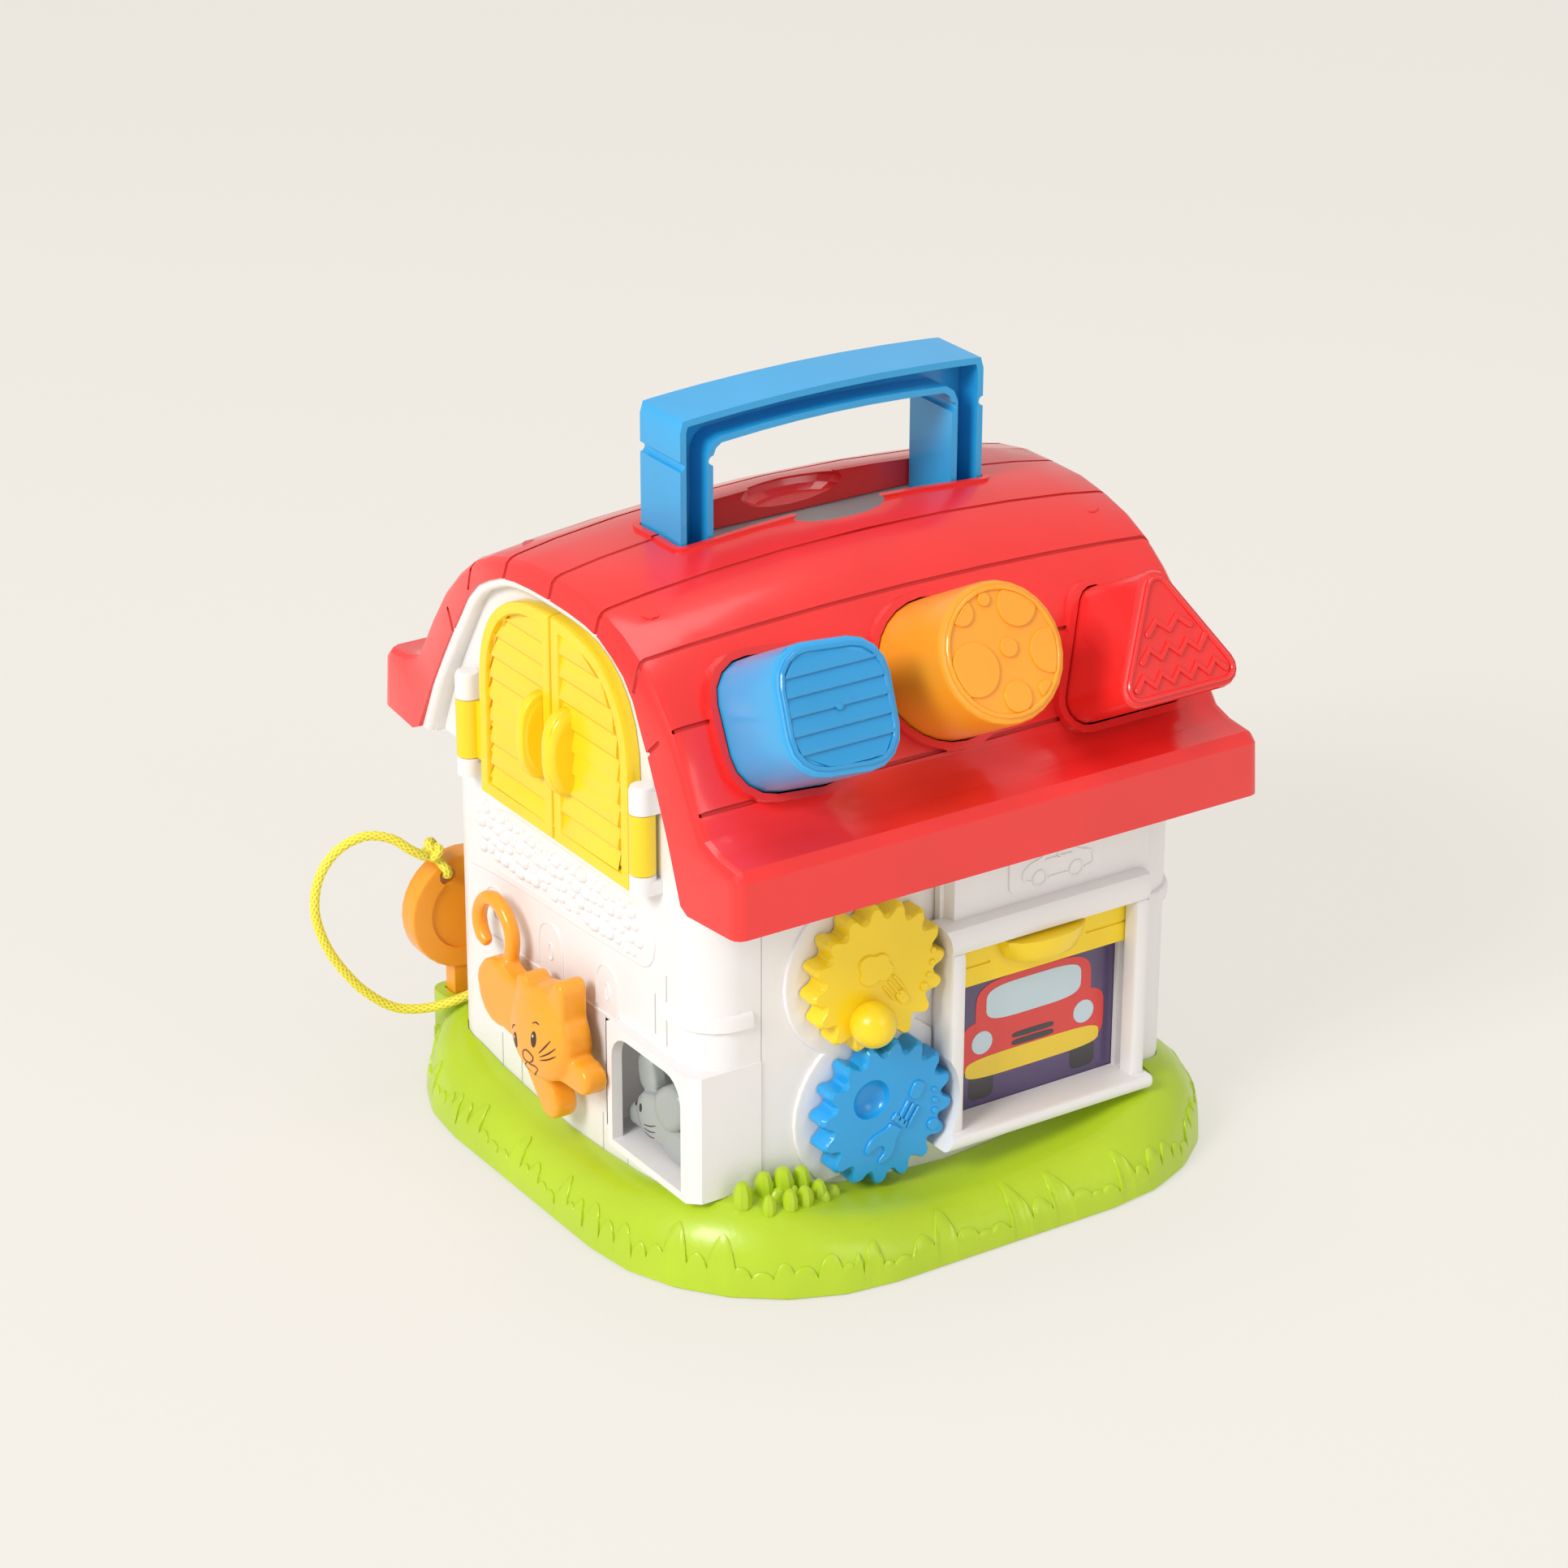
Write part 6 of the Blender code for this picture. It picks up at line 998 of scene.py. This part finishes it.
def pull(side):
    """D-shaped plate that stands out from the leaf by R (1 - |t|^2.8)^(1 / 2.2), with rounded edges."""
    half = np.linspace(-1, 1, 33)
    depth = PULL_REACH * (1 - np.abs(half) ** 2.8) ** (1 / 2.2)
    curve = np.stack([depth, half * PULL_HALF_Z], 1)
    profile = np.concatenate([[(-PULL_SINK, -PULL_HALF_Z)], curve, [(-PULL_SINK, PULL_HALF_Z)]])
    rings = []
    for step, across in PULL_SECTION:
        ring = inset(dense(profile, 1.0 * MM), step * MM)
        y = np.full(len(ring), -side * PULL_AWAY + across * PULL_THICK)
        rings.append(np.stack([SHUTTER_FACE_X - ring[:, 0], y, SHUTTER_SPRING + ring[:, 1]], 1))
    return loft(rings)


for name, side in SHUTTERS:
    leaf = shutter_leaf(side)
    parts = [rim_ring(dense(leaf), FRAME_WIDTH, FRAME_RISE, SHUTTER_PLANE, shrunk)]
    shades = []
    first, past = SHUTTER_LOW + FRAME_WIDTH - 0.4 * MM, SHUTTER_TOP - FRAME_WIDTH - 5 * MM
    for low in np.arange(first, past, SLAT_PITCH):
        wedge = slat(leaf, low, side)
        parts += wedge
        if wedge:
            shades += slat_shade(leaf, low + SLAT_PITCH, side)
    # The darker strips and triangles are painted shade under the slats.
    new_piece(f"{name}_painted_slat_shade", *merged(shades), YELLOW_SLAT_SHADE, name, 32)
    parts.append(pull(side))
    new_piece(f"{name}_slats", *merged(parts), YELLOW, name, 32)
print("shutters:", len(SHUTTERS))

# %% [markdown]
# ## Relief on the gable
#
# Below the sill hangs a flower box full of blossoms: small domes of random size in staggered rows. Small
# arched windows, a ledge and board joints lie under it.

# %% Flower box, windows and board joints
GABLE_X = -101 * MM
GABLE_PLANE = (GABLE_X, 0, 0), GABLE_U, GABLE_V
BLOSSOM_ROWS, BLOSSOM_COLUMNS, BLOSSOM_SEED = 4, 21, 5
BLOSSOM_PITCH, BLOSSOM_ROW_PITCH = 5.4 * MM, 4.9 * MM
BOX_LINE = np.array([
    (-66, 96.5), (-50, 98.5), (-17, 100.2), (11, 101.2), (46, 103.2), (51.5, 103.8), (55.6, 107.5),
    (57.4, 112), (57.2, 117), (54, 121), (49, 124.5), (42, 127), (-66, 127),
]) * MM
WINDOWS = ((-12.2, 8.2, 94.8, 76.5), (25.6, 7.2, 94.2, 77.0), (-50.0, 8.0, 93.6, 77.0))
JOINTS = ((-48, 20, 36), (-34.5, 20, 38), (21.5, 20, 35), (37.7, 20, 31), (56.7, 81.6, 96.3), (64, 80, 106))


def blossoms(rows, columns, seed):
    """Small domes in staggered rows, each with its own size: centre (a, b) and radius in metres."""
    chance = np.random.default_rng(seed)
    column, row = np.meshgrid(np.arange(columns), np.arange(rows))
    a = -57 * MM + (column + 0.5 * (row % 2)) * BLOSSOM_PITCH + chance.uniform(-0.9, 0.9, column.shape) * MM
    b = 107.6 * MM + row * BLOSSOM_ROW_PITCH + chance.uniform(-0.9, 0.9, column.shape) * MM
    size = chance.uniform(2.0, 3.3, column.shape) * MM
    keep = a < (50.5 - 1.2 * row) * MM
    return np.stack([a[keep], b[keep], size[keep]], 1)


def dome(a, b, radius, height, sides=12):
    """Low dome on the gable: rings at radius cos e, rise height sin e."""
    lift = np.radians((-12, 15, 40, 65, 82))
    q = angles(sides)
    out = radius * np.cos(lift)[:, None]
    rise = np.broadcast_to(GABLE_X - height * np.sin(lift)[:, None], (len(lift), sides))
    return loft(np.stack([rise, -(a + out * np.cos(q)), b + out * np.sin(q)], -1))


def raised_line(points, half, height=0.5 * MM, plane=GABLE_PLANE):
    """A raised line on a plane, through points given in millimetres."""
    return pad(stripe(smooth_path(np.array(points) * MM, 40, 2), half), plane, height, 0.2 * MM)


box = smooth_path(np.concatenate([BOX_LINE, BOX_LINE[:1]]), 120, 1)[:-1]
parts = [pad(box, GABLE_PLANE, 0.7 * MM, 0.5 * MM)]
parts.append(raised_line([(-60, 100.6), (-17, 103.4), (20, 104.6), (47, 106.4)], 0.3 * MM, 0.95 * MM))
flowers = blossoms(BLOSSOM_ROWS, BLOSSOM_COLUMNS, BLOSSOM_SEED)
parts += [dome(a, b, size, 0.75 * size + 0.5 * MM) for a, b, size in flowers]
for a, half, top, low in WINDOWS:
    arch = [(a - half, low), (a - half, top - half), (a - half * 0.75, top - half * 0.25), (a, top),
            (a + half * 0.75, top - half * 0.25), (a + half, top - half), (a + half, low)]
    pane = [(a - 1.4, low + 5), (a - 1.4, low + 9), (a, low + 10.6), (a + 1.4, low + 9),
            (a + 1.4, low + 5), (a, low + 3.6), (a - 1.2, low + 4.6)]
    parts += [raised_line(arch, 0.45 * MM), raised_line(pane, 0.3 * MM, 0.4 * MM)]
ledge = [(-66, 72.8), (-40, 73.2), (0, 74.0), (40, 75.0), (66, 76.4)]
parts.append(raised_line(ledge, 0.5 * MM, 0.45 * MM))
new_piece("gable_relief", *merged(parts), WHITE, "house", 40)
print("gable reliefs:", len(parts), "with", len(flowers), "blossoms")
joints = [np.linspace((a * MM, low * MM), (a * MM, high * MM), 6) for a, low, high in JOINTS]
parts = [pad(stripe(joint, 0.3 * MM), GABLE_PLANE, 0.12 * MM, 0.05 * MM) for joint in joints]
new_piece("gable_joints", *merged(parts), JOINT_GREY, "house", 40)
print("board joints:", len(parts))

# %% [markdown]
# ## Hood lips and the plaque
#
# The white hood of each gable fills the roof's open edge nearly up to its rim, so a lip follows the edge
# 0.9 mm inside the rim. Over the garage door a plaque carries a small plain car in relief.

# %% Hood lips and plaque
GABLE_EDGE = np.array([
    (91.5, 143.5), (87.3, 143.9), (84.5, 150), (78, 164), (71.5, 176), (65.5, 186.3), (60, 194.8),
    (54.5, 203.8), (48, 210.4), (40.5, 214.6), (32, 218.3), (23, 220), (12, 220.8), (0, 221),
]) * MM
GABLE_MIDDLE = (0, 170 * MM)
PAST_RIM_X, FARTHEST_RIM_X = 114 * MM, 109 * MM
LIP_LOW_X, LIP_BEHIND_RIM = 103.6 * MM, 0.9 * MM
# Millimetres outside the edge, and share of the way from the wall to the rim
LIP_SECTION = ((-3.2, 0.0), (-3.0, 0.55), (-2.2, 0.85), (-0.6, 1.0), (0.4, 1.0), (0.4, 0.0))
PLAQUE_PLANE = (0, -93.9 * MM, 0), FRONT_U, FRONT_V
CAR_WHEELS = ((31.2, 120.0), (46.8, 120.0))
CAR_LINES = (
    [(27.4, 119.6), (24.2, 120.2), (24.0, 124.0), (27.0, 126.2), (31.6, 127.0), (34.6, 130.0),
     (43.0, 130.0), (47.6, 126.6), (52.6, 125.6), (54.4, 123.4), (54.2, 120.2), (50.8, 119.6)],
    [(35.2, 119.4), (42.8, 119.4)], [(34.0, 126.2), (44.6, 126.2)], [(39.0, 126.4), (39.0, 129.4)],
)


def hood_lip(side):
    """Lip along the gable's opening, from 3.2 mm inside its edge to 0.4 mm outside it."""
    half = GABLE_EDGE[1:]
    edge = smooth_path(np.concatenate([half, (half * (-1, 1))[::-1][1:]]), 150, 1)
    way = ways_along(edge)
    out = np.stack([way[:, 1], -way[:, 0]], 1)
    out *= np.sign(np.sum(out * (edge - GABLE_MIDDLE), axis=1))[:, None]
    rim = np.array([ROOF_TREE.find_nearest(Vector((side * PAST_RIM_X, y, z)))[0].x for y, z in edge])
    rim = side * np.minimum(np.abs(rim), FARTHEST_RIM_X)
    low_x = side * LIP_LOW_X
    rings = []
    for away, share in LIP_SECTION:
        place = edge + out * away * MM
        x = low_x + (rim - side * LIP_BEHIND_RIM - low_x) * share
        rings.append(np.column_stack([x, place]))
    return loft(np.array(rings).transpose(1, 0, 2))


for side, name in ((-1, "left_hood_lip"), (1, "right_hood_lip")):
    new_piece(name, *hood_lip(side), WHITE, "house", 50)
wheels = [oval(a * MM, b * MM, 3.3 * MM, 3.3 * MM, count=28) for a, b in CAR_WHEELS]
parts = [rim_ring(wheel, 0.9 * MM, 0.6 * MM, PLAQUE_PLANE) for wheel in wheels]
parts += [raised_line(line, 0.5 * MM, plane=PLAQUE_PLANE) for line in CAR_LINES]
new_piece("plaque_car", *merged(parts), WHITE, "house", 40)
print("plaque car:", len(parts), "reliefs")

# %% [markdown]
# ## Printed faces of the cat and the mouse
#
# Ink lies on the moulded heads, and small white patches on the cat's eyes are painted highlights. Each mark
# is a
# thin closed patch: a small grid in the plane of y and z, laid onto the head along X, 0.14 to 0.26 mm above
# it.

# %% Printed marks, and painted highlights on the cat's eyes
FROM_LEFT = -200 * MM
# Middle (y, z), half sizes and turn of each eye, in millimetres
CAT_EYES = ((3.6, 58.3, 1.5, 3.1, 0.08), (-9.7, 64.4, 1.5, 3.1, 0.08))
# White glints on the cat's eyes: painted highlights.
CAT_PAINTED_GLINTS = ((3.9, 59.5, 0.34, 0.6), (-9.4, 65.6, 0.34, 0.6))
MOUSE_EYES = ((-37.5, 45.6, 0.8, 1.6, 0.1, 7), (-41.9, 45.4, 0.85, 1.7, 0.1, 7))
# Points (y, z) and half width of each line: brows, nose, mouth, then the whiskers of either side
CAT_LINES = (
    (((6.2, 61.6), (5.6, 63.4), (3.6, 64.0)), 0.22),
    (((-8.4, 69.9), (-9.9, 71.2), (-12.0, 70.8)), 0.22),
    (((-1.9, 53.6), (-1.8, 56.2), (-4.4, 58.6), (-7.6, 58.0), (-9.6, 57.4), (-8.4, 55.2), (-5.6, 53.2),
      (-2.6, 53.2), (-1.9, 53.8)), 0.24),
    (((-4.6, 53.4), (-2.4, 51.6), (-0.9, 50.2), (-1.4, 48.0), (-3.6, 46.8), (-6.6, 48.4), (-9.6, 51.6),
      (-10.8, 52.6)), 0.24),
    (((-10.8, 52.8), (-9.4, 53.8), (-7.4, 53.2), (-5.4, 53.0)), 0.22),
    (((-12.9, 60.4), (-16.0, 63.8), (-18.4, 67.0)), 0.26),
    (((-13.2, 59.0), (-17.4, 61.6), (-20.6, 64.8)), 0.26),
    (((-13.2, 57.6), (-17.4, 59.4), (-20.6, 61.8)), 0.26),
    (((6.4, 52.4), (8.6, 52.6), (10.8, 53.2)), 0.22),
    (((5.9, 51.0), (8.0, 50.6), (10.2, 50.8)), 0.22),
    (((5.2, 49.4), (7.2, 48.8), (9.2, 48.8)), 0.22),
)
MOUSE_LINES = (
    (((-43.9, 39.9), (-48.4, 41.0), (-52.0, 42.9)), 0.2),
    (((-43.8, 38.4), (-48.0, 38.6), (-51.6, 40.2)), 0.2),
    (((-44.2, 36.9), (-47.6, 36.4), (-50.4, 37.4)), 0.2),
    (((-38.4, 36.4), (-39.4, 34.6), (-41.4, 34.0)), 0.2),
)


def laid(grid, tree, lift=0.14 * MM, sink=0.25 * MM):
    """Closed patch over a grid of (y, z) laid on a surface that faces -X."""
    rows, columns = grid.shape[:2]
    out = np.zeros((rows, columns, 3))
    for i in range(rows):
        for j in range(columns):
            y, z = grid[i, j]
            hit = tree.ray_cast(Vector((FROM_LEFT, y, z)), Vector((1, 0, 0)))[0]
            out[i, j] = (hit.x if hit is not None else np.nan, y, z)
    x = out[:, :, 0]
    x[np.isnan(x)] = np.nanmax(x) if np.isfinite(x).any() else -0.1
    upper, lower = out.copy(), out.copy()
    upper[:, :, 0] -= lift
    lower[:, :, 0] += sink
    count = rows * columns
    faces = skin_faces(rows, columns, False)
    faces += [[count + i for i in quad][::-1] for quad in skin_faces(rows, columns, False)]
    edge = list(range(columns))
    edge += [i * columns + columns - 1 for i in range(1, rows)]
    edge += [(rows - 1) * columns + j for j in range(columns - 2, -1, -1)]
    edge += [i * columns for i in range(rows - 2, 0, -1)]
    faces += [[a, count + a, count + b, b] for a, b in zip(edge, edge[1:] + edge[:1])]
    return np.concatenate([upper.reshape(-1, 3), lower.reshape(-1, 3)]), faces


def round_grid(y, z, half_y, half_z, turn=0.0, count=9):
    """A square grid bent to an ellipse: (u sqrt(1 - v^2/2), v sqrt(1 - u^2/2))."""
    u, v = np.meshgrid(np.linspace(-1, 1, count), np.linspace(-1, 1, count))
    p, q = u * np.sqrt(1 - v * v / 2) * half_y, v * np.sqrt(1 - u * u / 2) * half_z
    c, s = math.cos(turn), math.sin(turn)
    return np.stack([y + p * c - q * s, z + p * s + q * c], -1) * MM


def line_grid(points, half, taper=0.35, count=14):
    """A band along a curve in the plane, thinner at its ends."""
    path = smooth_path(np.array(points, float), count, 3)
    way = ways_along(path)
    side = np.stack([-way[:, 1], way[:, 0]], 1)
    t = np.linspace(0, 1, count)
    width = half * (taper + (1 - taper) * np.sin(math.pi * t) ** 0.7)
    across = np.linspace(-1, 1, 4)
    return (path[:, None] + side[:, None] * (across[None, :, None] * width[:, None, None])) * MM


cat_ink = [round_grid(*eye) for eye in CAT_EYES] + [line_grid(*line) for line in CAT_LINES]
cat_tree = tree_of(cat.data)
new_piece("cat_print", *merged([laid(g, cat_tree, 0.2 * MM) for g in cat_ink]), INK, "chase", 50)
mouse_ink = [round_grid(*eye) for eye in MOUSE_EYES] + [line_grid(*line) for line in MOUSE_LINES]
# Painted highlights: small white patches on the cat's eyes.
painted_glints = [round_grid(*glint) for glint in CAT_PAINTED_GLINTS]
new_piece("cat_painted_glints", *merged([laid(g, cat_tree, 0.26 * MM) for g in painted_glints]), WHITE, "chase", 50)
mouse_tree = tree_of(mouse.data)
new_piece("mouse_print", *merged([laid(g, mouse_tree) for g in mouse_ink]), INK, "chase", 50)
print("printed marks:", len(cat_ink) + len(mouse_ink))

# %% [markdown]
# ## Garage picture
#
# The card behind the sliding door shows a plain red van on a dark ground: a generic drawing in flat inks,
# built as thin layers on the card.

# %% Garage picture
CARD_PLANE = (0, -86.1 * MM, 0), FRONT_U, FRONT_V
INK_LAYER, INK_EDGE, INK_SINK = 0.06 * MM, 0.02 * MM, 0.1 * MM
PRINT_FINISH = (0.22, 0.02, 0.6)
PRINT_COLOURS = {
    "print_red": (0.72, 0.035, 0.03), "print_yellow": (0.85, 0.60, 0.02), "print_pale": (0.55, 0.68, 0.76),
    "print_dark": (0.03, 0.03, 0.035),
}
# Name, ink and rank of each layer, then the middle, half sizes and power of its ovals in millimetres
VAN = (
    ("van_wheels", "print_dark", 1, ((14, 41, 5.4, 5.2, 4.0), (58, 41, 5.4, 5.2, 4.0))),
    ("van_bonnet", "print_red", 2, ((36, 56, 31, 11.5, 4.6),)),
    ("van_cabin", "print_red", 3, ((36, 69, 25, 12.5, 4.0),)),
    ("van_bumper", "print_yellow", 4, ((36, 48, 29, 4.2, 4.0),)),
    ("van_lamps", "print_pale", 5, ((14, 58, 4.4, 4.4, 2.0), (58, 58, 4.4, 4.4, 2.0))),
    ("van_glass", "print_pale", 5, ((36, 72, 20.5, 6.8, 4.0),)),
    ("van_grille", "print_dark", 5, ((36, 57, 9.0, 1.1, 4.0), (36, 54, 9.0, 1.1, 4.0))),
)


def print_layer(name, ink, rank, ovals):
    """Thin pads on the card. A layer of a higher rank stands further out than the ones it covers."""
    parts = []
    for a, b, half_a, half_b, power in ovals:
        outline = oval(a * MM, b * MM, half_a * MM, half_b * MM, power, 0, 40)
        parts.append(pad(outline, CARD_PLANE, INK_LAYER * rank, INK_EDGE, INK_SINK))
    new_piece(name, *merged(parts), prints[ink], "house", 60)


skin_of("garage_picture", plastic("card_ground", (0.085, 0.055, 0.15), *PRINT_FINISH))
prints = {name: plastic(name, colour, *PRINT_FINISH) for name, colour in PRINT_COLOURS.items()}
for layer in VAN:
    print_layer(*layer)
print("garage picture:", len(VAN), "layers")

# %% [markdown]
# ## Knot
#
# The rope ends in a loop through the key's bow and a trefoil knot above it. The trefoil's curve is
# (cos t - 2 cos 2t, sin t + 2 sin 2t, -1.3 sin 3t).

# %% Knot, and the facts of the cord
KNOT_SCALE, KNOT_RADIUS_SHARE = 1.15 * MM, 0.95
BOW_CENTRE = np.array([-87.5, 100, 62.5]) * MM
BOW_LEAN = math.radians(27.2)
BOW_WAY = np.array([-math.sin(BOW_LEAN), 0, math.cos(BOW_LEAN)])
KNOT_AT = BOW_CENTRE + BOW_WAY * 30.8 * MM - (0, 4.8 * MM, 0)
LOOP_CENTRE = BOW_CENTRE + BOW_WAY * 22.0 * MM
LOOP_UP, LOOP_ACROSS = BOW_WAY * 4.5 * MM, np.array((0, 7.8 * MM, 0))
turn = np.linspace(0, 2 * math.pi, 90)[:, None]
loop_line = LOOP_CENTRE + LOOP_UP * np.cos(turn) + LOOP_ACROSS * np.sin(turn)
t = np.linspace(0, 2 * math.pi, 150)
trefoil = np.stack([np.cos(t) - 2 * np.cos(2 * t), np.sin(t) + 2 * np.sin(2 * t), -1.3 * np.sin(3 * t)], 1)
knot_line = KNOT_AT + trefoil[:, [2, 0, 1]] * KNOT_SCALE
knot = rope_piece("rope_knot_skin", [loop_line, knot_line], ROPE_RADIUS * KNOT_RADIUS_SHARE)
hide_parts("rope_knot")
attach(knot, body_of_node("rope_knot"))
print("knot:", len(knot.data.vertices), "points")

# %% [markdown]
# ## Floor
#
# A wide sheet of pale paper lies just under the toy. What the camera sees of it is mostly its own even
# tone, and the rest keeps the soft shadow.

# %% Floor
FLOOR_PAPER_SHARE = 0.68
FLOOR_HALF, FLOOR_POINTS, FLOOR_DROP = 6, 41, 0.2 * MM
FLOOR_TONES = ((0.80, 0.765, 0.71, 1), (0.84, 0.805, 0.755, 1))
PAPER_TONE = (0.865, 0.835, 0.775, 1)


def floor_material():
    """Matt paper. To the camera and in reflections, a fixed share of it glows in its own even tone."""
    material = bpy.data.materials.new("studio_floor")
    material.use_nodes = True
    shader = material.node_tree.nodes["Principled BSDF"]
    shader.inputs["Roughness"].default_value = 0.9
    shader.inputs["Specular IOR Level"].default_value = 0.1
    place, cloud, ramp = add_nodes(material, "TexCoord", "TexNoise", "ValToRGB")
    cloud.inputs["Scale"].default_value = 1.5
    ramp.color_ramp.elements[0].color, ramp.color_ramp.elements[1].color = FLOOR_TONES
    link = material.node_tree.links.new
    link(place.outputs["Object"], cloud.inputs["Vector"])
    link(cloud.outputs["Fac"], ramp.inputs["Fac"])
    link(ramp.outputs["Color"], shader.inputs["Base Color"])
    path, seen, either, share, paper, mix = add_nodes(
        material, "LightPath", "Math", "Math", "Math", "Emission", "MixShader")
    seen.operation, either.operation, share.operation = "ADD", "ADD", "MULTIPLY"
    either.use_clamp = True
    share.inputs[1].default_value = FLOOR_PAPER_SHARE
    paper.inputs["Color"].default_value = PAPER_TONE
    link(path.outputs["Is Camera Ray"], seen.inputs[0])
    link(path.outputs["Is Glossy Ray"], seen.inputs[1])
    link(seen.outputs[0], either.inputs[0])
    link(path.outputs["Is Transmission Ray"], either.inputs[1])
    link(either.outputs[0], share.inputs[0])
    link(share.outputs[0], mix.inputs[0])
    link(shader.outputs[0], mix.inputs[1])
    link(paper.outputs[0], mix.inputs[2])
    link(mix.outputs[0], material.node_tree.nodes["Material Output"].inputs["Surface"])
    return material


line = np.linspace(-FLOOR_HALF, FLOOR_HALF, FLOOR_POINTS)
gx, gy = np.meshgrid(line, line)
sheet = np.stack([gx, gy, np.full_like(gx, -FLOOR_DROP)], -1).reshape(-1, 3)
quads = skin_faces(FLOOR_POINTS, FLOOR_POINTS, False)
floor = new_piece("studio_floor", sheet, quads, floor_material(), None)
if floor.data.polygons[0].normal.z < 0:
    floor.data.flip_normals()
print("floor:", len(quads), "quads")

# %% [markdown]
# ## Light
#
# A large soft lamp high on the left is the key. A weaker one in front and one overhead fill the shadows,
# and a pale sky lights the rest.

# %% World and lamps
SKY_TONE, SKY_STRENGTH = (1.0, 0.985, 0.96, 1), 0.58
LAMP_AIM = Vector((0, 0, 0.1))
# Name, place, size and watts
LAMPS = (
    ("key", (-3.0, -0.9, 2.3), 1.3, 96),
    ("fill", (0.9, -3.2, 1.8), 1.6, 16),
    ("top", (0.2, 0.3, 3.4), 1.8, 24),
)


def soft_box(name, place, size, watts):
    light = bpy.data.lights.new(name, "AREA")
    light.shape, light.size, light.energy = "SQUARE", size, watts
    lamp = bpy.data.objects.new(name, light)
    scene.collection.objects.link(lamp)
    lamp.location = place
    lamp.rotation_euler = (LAMP_AIM - Vector(place)).to_track_quat("-Z", "Y").to_euler()


scene = bpy.context.scene
scene.view_settings.view_transform = "Standard"
world = bpy.data.worlds.new("studio")
scene.world = world
world.use_nodes = True
sky = world.node_tree.nodes["Background"]
sky.inputs["Color"].default_value = SKY_TONE
sky.inputs["Strength"].default_value = SKY_STRENGTH
for lamp in LAMPS:
    soft_box(*lamp)
print("lamps:", len(LAMPS))
